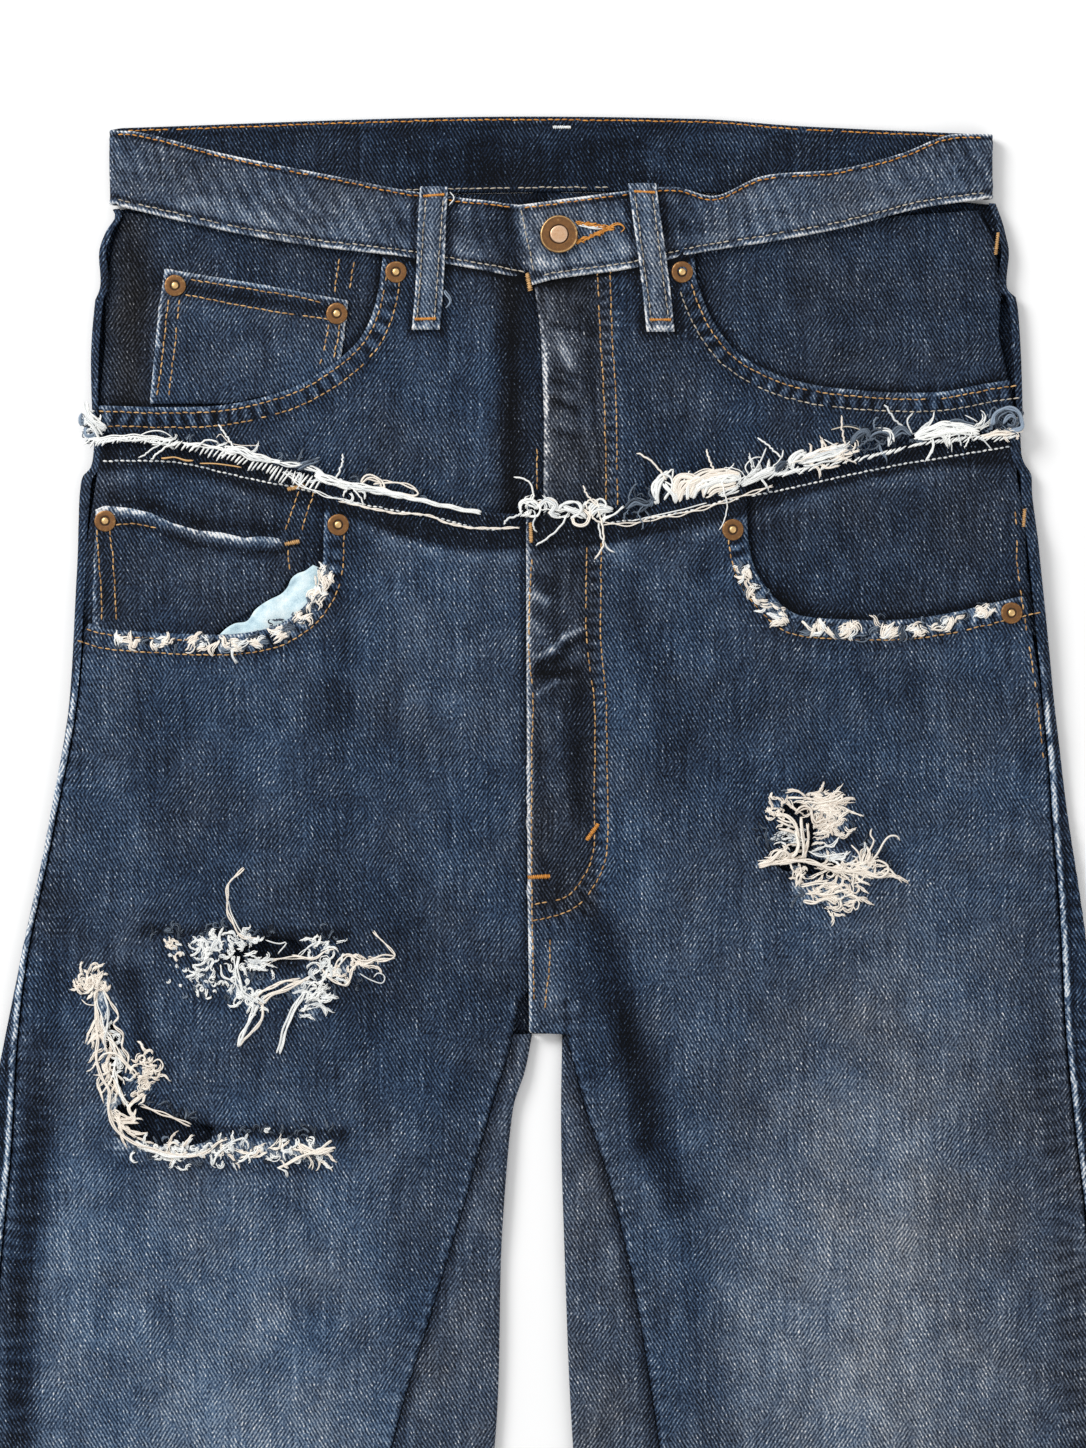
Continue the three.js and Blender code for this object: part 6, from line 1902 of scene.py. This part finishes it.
        ("cotton", 0.4, 1.4, 1, [130, 280, 138, 276, 143, 279.5]),
        ("cotton", 0.46, 1.6, 2, [154.5, 283.5, 161, 282.5, 162.5, 277.5]),
        ("beige", 0.34, 1.2, 1, [133.5, 284.5, 140, 286, 145.5, 285, 151.5, 282]),
        ("cotton", 0.4, 2.0, 1, [171.5, 282.5, 169, 288.5, 172, 292.5]),
        ("cotton", 0.4, 2.0, 1, [176.5, 283.5, 181, 288.5, 182, 293]),
        ("cotton", 0.36, 1.6, 1, [204.5, 285.5, 206.5, 291.5]),
        ("cotton", 0.36, 1.6, 1, [196.5, 291.5, 202.5, 288]),
        ("cream", 0.44, 1.0, 3, [203.5, 281, 212.5, 282.5, 223.5, 284]),
    ]),
    (level(9.4), [
        ("blueYarn", 0.7, 1.6, 3, [209.5, 286.5, 211, 292, 216.5, 294, 221.5, 291, 222.5, 285.5,
            217.5, 284.5]),
        ("blueYarn", 0.6, 1.4, 2, [214, 287, 217.5, 291, 221.5, 288.5]),
    ]),
    (lowerLeftTop, [  # loose ends elsewhere
        ("cotton", 0.34, 1.0, 3, [-147, 183, -148, 178, -146, 174.5]),
    ]),
    (bandTop, [
        ("cotton", 0.3, 1.0, 1, [-45.6, 396, -43.5, 393, -46, 389.5]),
        ("blueYarn", 0.36, 0.8, 2, [-48, 350, -45.5, 345, -47.5, 341.5]),
    ]),
]
yarnSeed = 500
for top, rows in yarns:
    for kind, radius, lift, copies, points in rows:
        strandAlong("band" if top is bandTop else "lower", kind, pairs(points), top, yarnSeed,
                    radius, lift, 0.34 if copies > 1 else 0.08, 0.86, copies)
        yarnSeed += 1

tufts = [  # the cloth under them, then thread, spread, count, length, curl, lean, lift, x and y
    (lowerLeftTop, [  # the rip across the left thigh
        ("cotton", 4.5, 130, 4.0, 0.6, None, 0.9, [-163, 44, -140, 44]),
        ("cotton", 4.0, 55, 3.6, 0.6, None, 0.8, [-161, 42, -160, 34]),
        ("cotton", 3.6, 45, 3.4, 0.6, None, 0.8, [-166, 28, -160, 22]),
        ("cream", 2.6, 35, 3.0, 0.6, None, 0.8, [-178.5, 46, -173.5, 38]),
        ("cotton", 8.0, 70, 3.2, 0.8, None, 0.6, [-160, 34, -136, 26]),
        ("blueYarn", 9.0, 80, 3.6, 0.8, None, 0.7, [-164, 32, -104, 30]),
        ("cotton", 3.0, 70, 4.6, 0.25, 0.1, 1.0, [-144, 35, -136, 32]),
        ("cotton", 4.0, 80, 4.0, 0.5, None, 1.2, [-146, 20, -137, 15]),
        ("cotton", 4.0, 70, 4.0, 0.5, None, 1.0, [-109, 33, -100, 29]),
        ("cotton", 4.6, 120, 5.0, 0.3, 0.2, 1.3, [-116, 22, -108, 19, -114, 11]),
        ("cotton", 3.0, 45, 3.6, 0.6, None, 0.8, [-112, 43, -99, 41]),
        ("cream", 3.6, 55, 4.0, 0.5, None, 0.9, [-100, 29, -84, 33]),
        ("blueYarn", 2.4, 110, 3.0, 0.5, None, 0.6, [-187, 48, -140, 49, -96, 45]),
        ("blueYarn", 2.6, 80, 3.0, 0.6, None, 0.5, [-168, 20, -146, 15, -104, 20, -78, 30]),
        ("cotton", 9.0, 35, 1.6, 0.8, None, 0.4, [-184, 45, -164, 22, -150, 17]),
    ]),
    (lowerLeftTop, [  # the L-shaped tear
        ("cream", 4.2, 135, 4.6, 0.6, None, 1.6, [-217, 26, -210, 23]),
        ("cream", 3.4, 105, 7.0, 0.25, -1.5, 1.0, [-211, 18, -208, -5, -204, -26]),
        ("cotton", 4.4, 75, 4.0, 0.6, None, 0.7, [-207, 4, -201, -14, -201, -26]),
        ("cream", 3.6, 145, 3.6, 0.8, None, 1.9, [-190, -10, -187, -15, -191, -26]),
        ("cream", 2.4, 55, 8.0, 0.1, -0.75, 0.9, [-206, -31, -204, -38, -200, -43]),
        ("cotton", 5.4, 260, 3.8, 0.6, None, 0.9, [-203, -50, -180, -56, -150, -54, -106, -55]),
        ("cream", 4.0, 95, 5.0, 0.4, 0.0, 1.0, [-196, -53, -150, -55, -108, -56]),
        ("blueYarn", 6.6, 120, 3.6, 0.7, None, 0.7, [-204, -50, -150, -54, -102, -54]),
        ("blueYarn", 2.4, 75, 3.4, 0.4, 1.6, 0.5, [-150, -46, -102, -47]),
        ("blueYarn", 2.0, 35, 3.0, 0.4, 1.2, 0.5, [-189, -32, -166, -41]),
    ]),
    (lowerRightTop, [  # the patch on the right thigh
        ("cream", 4.0, 95, 7.0, 0.2, 0.0, 0.8, [110, 110, 134, 109]),
        ("cream", 4.4, 120, 3.6, 0.5, None, 0.9, [133, 108, 137, 100]),
        ("cream", 6.6, 105, 5.0, 0.3, 0.1, 0.8, [125, 104, 130, 92]),
        ("cream", 3.0, 50, 3.4, 0.4, None, 0.7, [109, 109, 109, 103]),
        ("cream", 8.4, 145, 6.0, 0.25, 0.0, 0.7, [121, 67, 141, 67]),
        ("cream", 3.0, 45, 4.0, 0.3, 1.5, 0.8, [117, 77, 118, 70]),
        ("cream", 3.0, 105, 6.0, 0.25, -0.05, 0.9, [126, 80, 157, 75]),
        ("cream", 2.6, 55, 5.0, 0.2, 0.5, 0.9, [101, 80, 116, 83]),
        ("cream", 2.2, 35, 4.0, 0.3, 1.2, 1.2, [147, 79, 152, 80]),
        ("blueYarn", 5.0, 60, 3.6, 0.5, None, 0.5, [103, 93, 116, 92]),
        ("cotton", 4.0, 45, 5.0, 0.25, 0.1, 0.5, [104, 94, 115, 92]),
        ("cotton", 4.0, 50, 5.0, 0.25, -0.1, 0.5, [124, 85, 146, 82]),
        ("blueYarn", 3.0, 110, 3.0, 0.5, None, 0.5, [106, 113, 138, 115, 142, 98, 160, 80, 142, 62,
            118, 60, 114, 78, 98, 80]),
    ]),
    (rawTop, [  # the raw edge
        ("blueYarn", 1.6, 260, 2.6, 0.4, 1.5, 0.6, [-213, 281, -186, 283, -151, 275.5, -107, 263,
            -78, 256, -35, 247.5, 36, 247.5, 59, 257.5, 91, 262.5, 142, 271.5, 187, 281, 222, 283]),
        ("cotton", 0.8, 20, 3.0, 0.3, 0.1, 0.5, [-212, 279, -177, 278.5]),
        ("cotton", 1.4, 20, 5.0, 0.3, -0.3, 1.0, [-158, 278, -138, 271.5]),
        ("cotton", 1.0, 15, 3.6, 0.3, -0.5, 0.8, [-126, 266, -108, 259]),
        ("cotton", 1.8, 20, 4.2, 0.4, -0.5, 1.0, [-106, 260, -88, 256]),
        ("blueYarn", 1.6, 30, 6.0, 0.2, 0.5, 1.2, [-129, 269, -106, 265]),
        ("blueYarn", 1.6, 25, 4.0, 0.4, None, 1.0, [-100, 263, -86, 259]),
    ]),
    (level(9.4), [
        ("cotton", 2.4, 60, 3.6, 0.6, None, 1.4, [-217, 292.5, -209, 285]),
    ]),
    (level(9.0), [
        ("blueYarn", 2.6, 50, 3.0, 0.9, None, 1.2, [-217, 290, -214.5, 282]),
    ]),
    (rawTop, [
        ("cotton", 2.0, 40, 5.0, 0.6, None, 1.3, [-10, 246.5, 30, 246]),
        ("blueYarn", 2.0, 40, 4.0, 0.7, None, 1.0, [36, 247, 56, 252]),
        ("cotton", 2.4, 25, 6.0, 0.4, 0.6, 1.3, [56, 255, 90, 260]),
        ("blueYarn", 1.6, 90, 3.6, 0.3, 1.2, 0.8, [60, 252, 92, 257]),
        ("cotton", 2.0, 45, 6.4, 0.2, 0.35, 1.1, [93, 261.5, 112, 266.5]),
        ("cream", 2.8, 60, 6.4, 0.2, 0.35, 1.2, [117, 268, 141, 275]),
        ("blueYarn", 2.8, 60, 5.0, 0.5, None, 1.4, [141, 277, 164, 281]),
        ("cotton", 2.2, 60, 7.0, 0.2, 0.05, 1.2, [170, 283, 202, 285]),
        ("cream", 1.0, 30, 5.0, 0.2, 0.12, 0.8, [201, 282, 220, 284]),
    ]),
    (level(9.2), [
        ("blueYarn", 3.4, 40, 4.6, 0.9, None, 1.4, [208, 287, 219, 290]),
    ]),
    (lowerLeftTop, [  # the worn pocket mouths of the lower pair
        ("blueYarn", 4.0, 110, 3.0, 0.6, None, 0.6, [-208, 186, -168, 184.5, -140, 184.5, -118, 193,
            -104, 210, -101, 222]),
    ]),
    (lowerRightTop, [
        ("blueYarn", 4.0, 110, 3.0, 0.6, None, 0.6, [92, 222, 98, 206, 112, 194, 140, 190, 172, 190,
            210, 200]),
    ]),
]
tuftLook = {"count": 0.82, "length": 1.4, "curl": 1.1, "steps": 9, "lock": 3}
tuftSeed = 700
for top, rows in tufts:
    for kind, spread, count, length, curl, lean, lift, path in rows:
        blue = kind == "blueYarn"
        fluff(kind, pairs(path), spread, count * tuftLook["count"], length * tuftLook["length"],
              top, tuftSeed, lift, 0.24 if blue else 0.29, lean,
              curl * tuftLook["curl"] + 0.12, (0.0, 0.45) if blue else (0.68, 1.0),
              tuftLook["steps"], tuftLook["lock"])
        tuftSeed += 1

for row in ([-214, -174, 4.6, 0.9, 2.0, 801, 0.03], [-173, -138, 5.0, 0.85, 2.1, 802, 0.03],
            [-137, -126, 5.6, 0.95, 2.0, 803, 0.03], [-126, -104, 7.4, 1.0, 2.0, 804, 0.05],
            [92, 122, 5.6, 0.62, 2.1, 805, 0.03], [122, 170, 5.0, 0.62, 2.1, 806, 0.08],
            [170, 222, 4.8, 0.55, 2.1, 807, 0.12]):
    serge(*row)

locks = [  # thread, width, how many yarns, radius, lift, then x and y along its middle
    ("cotton", 2.6, 4, 0.55, 2.0, [-217.2, 297, -215, 290.4, -210.6, 287, -206.7, 284.8]),
    ("cotton", 2.0, 3, 0.5, 1.6, [-217.2, 290.4, -211.7, 284.8, -209.4, 280.4]),
    ("cotton", 1.2, 2, 0.45, 0.8, [-217.2, 279.5, -193.9, 281.2, -174, 279.2]),
    ("cotton", 1.0, 2, 0.42, 0.8, [-172, 278.3, -160, 277, -150.7, 275]),
    ("cotton", 3.6, 6, 0.5, 1.4, [-152, 275.6, -144.1, 274.4, -137.5, 271.4, -129, 269.8]),
    ("cotton", 2.2, 4, 0.45, 1.0, [-131, 270.2, -123.1, 268.6, -110.9, 266.6, -102, 261.5]),
    ("cotton", 3.0, 5, 0.5, 1.4, [-110, 263.5, -100.9, 260, -91, 257]),
    ("cotton", 2.6, 4, 0.5, 1.3, [-100.9, 260, -90, 258, -78, 255.5, -64, 252.5]),
    ("cream", 1.6, 3, 0.42, 1.6, [-88, 258, -84, 261.8, -78.5, 260, -77, 255.5]),
    ("blueYarn", 2.2, 4, 0.45, 1.8, [-119, 265.5, -113, 268, -106.4, 271]),
    ("cotton", 3.0, 5, 0.55, 2.0, [51.4, 249.4, 50.8, 257.1, 53.6, 261.6, 58, 264.9]),
    ("cotton", 2.4, 4, 0.5, 1.6, [54.2, 260.5, 59.7, 253.8, 60.8, 249.9]),
    ("cream", 3.0, 5, 0.55, 2.0, [60.2, 252, 60.2, 257.1, 63, 261.6, 68.6, 260.5, 66.9, 251.6]),
    ("cream", 4.0, 6, 0.55, 2.0, [61.9, 250.5, 64.1, 257.1, 71.9, 261.6, 78.5, 263.8, 90.7, 264]),
    ("cotton", 4.0, 6, 0.55, 1.8, [67.5, 251.6, 70.8, 257.1, 78.5, 260.4, 90.7, 261.5]),
    ("cream", 3.4, 5, 0.55, 1.6, [74, 253, 78.5, 256.5, 90.7, 258.8]),
    ("cotton", 3.0, 4, 0.5, 1.4, [80.6, 253.6, 90.7, 257.2]),
    ("cotton", 3.6, 6, 0.5, 1.6, [91.3, 258, 94, 260.6, 97.4, 262, 107.3, 266.4]),
    ("blueYarn", 3.0, 5, 0.5, 2.0, [107.3, 264.2, 109, 267, 113.5, 269]),
    ("cotton", 3.0, 5, 0.55, 1.8, [114.5, 266.5, 115, 270, 118.4, 273.4, 121.7, 274.5]),
    ("cotton", 6.0, 9, 0.5, 1.6, [118, 268.6, 128, 272, 135, 273.8, 142.5, 276.6]),
    ("cream", 3.0, 4, 0.45, 1.6, [121, 271.5, 131, 275, 138, 278]),
    ("blueYarn", 3.0, 5, 0.5, 2.2, [142.5, 277, 145, 281.6, 150, 283.6, 152, 279]),
    ("blueYarn", 3.0, 5, 0.5, 2.0, [150, 278, 154, 282.6, 161, 281.6, 162, 277.5]),
    ("cotton", 1.6, 3, 0.45, 2.0, [154.1, 284.4, 160.8, 283.6, 160.6, 276.5]),
    ("blueYarn", 2.6, 4, 0.5, 1.8, [160, 279, 166, 284.6, 171, 281.8]),
    ("cotton", 3.6, 6, 0.5, 1.8, [172, 280.5, 178, 283.2, 186.5, 286, 201.5, 285]),
    ("cotton", 3.0, 5, 0.5, 1.6, [174, 280, 184, 282.4, 196, 283.6, 203, 282.8]),
    ("blueYarn", 2.0, 3, 0.45, 1.4, [183, 285.5, 192, 288, 202, 286]),
    ("blueYarn", 1.8, 3, 0.45, 1.4, [211, 286, 212, 291.5, 217, 293.5, 221, 290, 219, 286,
        215, 287]),
    ("cotton", 1.6, 3, 0.5, 1.8, [-12.5, 247, -12, 250, -8.5, 251.5, -5, 249, -6, 245.5]),
    ("cotton", 1.6, 3, 0.5, 1.8, [-5, 247, 0, 251.5, 4, 249, 2, 245, 7, 243.5]),
    ("cotton", 2.6, 4, 0.5, 1.6, [6, 248.5, 13, 246, 19, 242.5]),
    ("cotton", 3.0, 5, 0.5, 1.6, [19, 243, 24, 247.5, 31, 246.5]),
    ("blueYarn", 2.4, 4, 0.45, 1.4, [36, 247, 41, 250.6, 47, 249.6, 50, 252]),
]
for number, (kind, width, count, radius, lift, points) in enumerate(locks):
    onCloth = level(9.6) if abs(points[0]) > 205 else rawTop
    lay(kind, width, count, radius, lift, pairs(points), 830 + number, onCloth)

pads = [  # the worn spots along the lower pocket mouths: x, y, angle of the edge, how worn
    [-197.3, 184.8, 0.0, 1.0], [-181.3, 184.8, 0.0, 0.8], [-164.5, 184.6, 0.0, 1.0],
    [-147.4, 183.4, 0.05, 1.2], [-135.2, 185.4, 0.2, 0.7], [-124.2, 189.2, 0.5, 1.0],
    [-115.3, 196.0, 0.8, 0.8], [-108.8, 205.1, 1.05, 1.0], [-105.0, 216.2, 1.4, 1.0],
    [91.8, 218, -1.35, 0.8], [98.6, 206.5, -1.05, 1.0], [109.2, 197.0, -0.7, 1.0],
    [125.5, 191.0, -0.15, 1.0], [142, 190.2, 0.0, 1.1], [159, 189.6, 0.03, 1.1],
    [173.5, 191.0, 0.1, 0.7], [187.5, 193.4, 0.16, 1.0], [205.5, 198.7, 0.3, 0.8],
]
for number, (x, y, angle, worn) in enumerate(pads):
    rng = np.random.default_rng(940 + number)
    onCloth = lowerLeftTop if x < 0 else lowerRightTop
    edgeRun = np.array([math.cos(angle), math.sin(angle)])
    for part in range(10):
        tilt = angle + rng.normal(0.2, 0.7)
        run = np.array([math.cos(tilt), math.sin(tilt)])
        cross = np.array([-run[1], run[0]])
        slide, rising = rng.normal(0, 3.0) * worn, rng.normal(0, 1.7) * worn
        centre = np.array([x, y]) + slide * edgeRun + rising * np.array([-edgeRun[1], edgeRun[0]])
        reach = 1 + worn * rng.uniform(1.7, 3.2)
        points = [centre + share * reach * run + rng.normal(0, 0.8) * cross
                  for share in (-1, -0.4, 0.3, 1)]
        kind = "cream" if part < 6 else "cotton" if part < 8 else "blueYarn"
        lay(kind, rng.uniform(1.0, 2.6) * worn, 3 + part % 3, 0.35, 0.9, points,
            960 + 10 * number + part, onCloth)

tangles = [  # thread, how many, length, curl, spread, then x and y along their roots
    ("cotton", 6, 16, 0.5, 2.0, [-10, 247, 32, 246]),
    ("cream", 4, 16, 0.5, 2.0, [0, 247, 32, 246]),
    ("cotton", 4, 14, 0.4, 2.4, [56, 258, 90, 261]),
    ("cream", 3, 14, 0.4, 2.4, [56, 258, 84, 261]),
    ("cotton", 3, 12, 0.35, 2.0, [96, 263, 112, 267]),
    ("cream", 3, 12, 0.35, 2.0, [118, 270, 141, 276]),
    ("cotton", 5, 12, 0.35, 2.0, [170, 284, 203, 286]),
    ("blueYarn", 8, 10, 0.5, 2.4, [142, 279, 166, 283]),
    ("blueYarn", 5, 10, 0.5, 1.6, [36, 248, 56, 253]),
    ("cotton", 4, 10, 0.4, 1.6, [-104, 260, -88, 257]),
    ("cotton", 4, 12, 0.35, 1.6, [-190, 281, -140, 273]),
]
for number, (kind, count, length, curl, spread, path) in enumerate(tangles):
    fluff(kind, pairs(path), spread, count, length, rawTop, 900 + number, 2.0, 0.42, None, curl,
          (0.75, 1.0) if kind != "blueYarn" else (0.1, 0.6), 16, 1)
print("frays laid")


for (piece, kind), batches in spool.items():
    made = tubes(piece + kind.title() + "Thread", batches, 4)
    settle(made, [], threadOf[kind], None, 0)
    print(made.name, len(made.data.polygons), "faces")


# Floor, light and camera

view = {"x": -1.9, "y": 146.2, "along": 680.6, "lens": 85, "sensor": 36}
lighting = {"sky": 0.62, "key": [(-1.5, 1.3, 1.5), 1.0, 46], "fill": [(1.6, -0.6, 1.6), 1.6, 8]}

middle = Vector(toWorld([[view["x"], view["y"], 8]])[0])
floorMesh = bpy.data.meshes.new("floor")
floorReach = 3.5
floorMesh.from_pydata([(x * floorReach, y * floorReach, 0)
                       for x, y in ((-1, -1), (1, -1), (1, 1), (-1, 1))], [], [(0, 1, 2, 3)])
floor = bpy.data.objects.new("floor", floorMesh)
floor.location.z = -0.0002
bpy.context.scene.collection.objects.link(floor)
paper = Shader("paleFloor")
tone = paper.noise(paper.node("TexCoord", {}, {}, "Object"), 3, 3)
pale = paper.node("ValToRGB", {"stops": [(0.0, srgb(247, 247, 247)), (1.0, srgb(252, 252, 252))]},
                  {0: tone})
floorMesh.materials.append(paper.finish({"Base Color": pale, "Roughness": 0.9}))

world = bpy.data.worlds.new("studio")
bpy.context.scene.world = world
world.use_nodes = True
world.node_tree.nodes["Background"].inputs["Color"].default_value = (1, 1, 1, 1)
world.node_tree.nodes["Background"].inputs["Strength"].default_value = lighting["sky"]
for name in ("key", "fill"):  # each lamp is square and looks at the middle of the garment
    offset, size, power = lighting[name]
    lamp = bpy.data.lights.new(name, "AREA")
    lamp.energy, lamp.size = power, size
    made = bpy.data.objects.new(name, lamp)
    bpy.context.scene.collection.objects.link(made)
    made.location = middle + Vector(offset)
    made.rotation_euler = (middle - made.location).to_track_quat("-Z", "Y").to_euler()

camera = bpy.data.objects.new("camera", bpy.data.cameras.new("camera"))
bpy.context.scene.collection.objects.link(camera)
camera.data.sensor_fit = "VERTICAL"
camera.data.sensor_height = view["sensor"]
camera.data.lens = view["lens"]
camera.location = middle + Vector((0, 0, view["along"] * mm / view["sensor"] * view["lens"]))
bpy.context.scene.camera = camera
bpy.context.scene.view_settings.view_transform = "Standard"
print("camera and lights set")
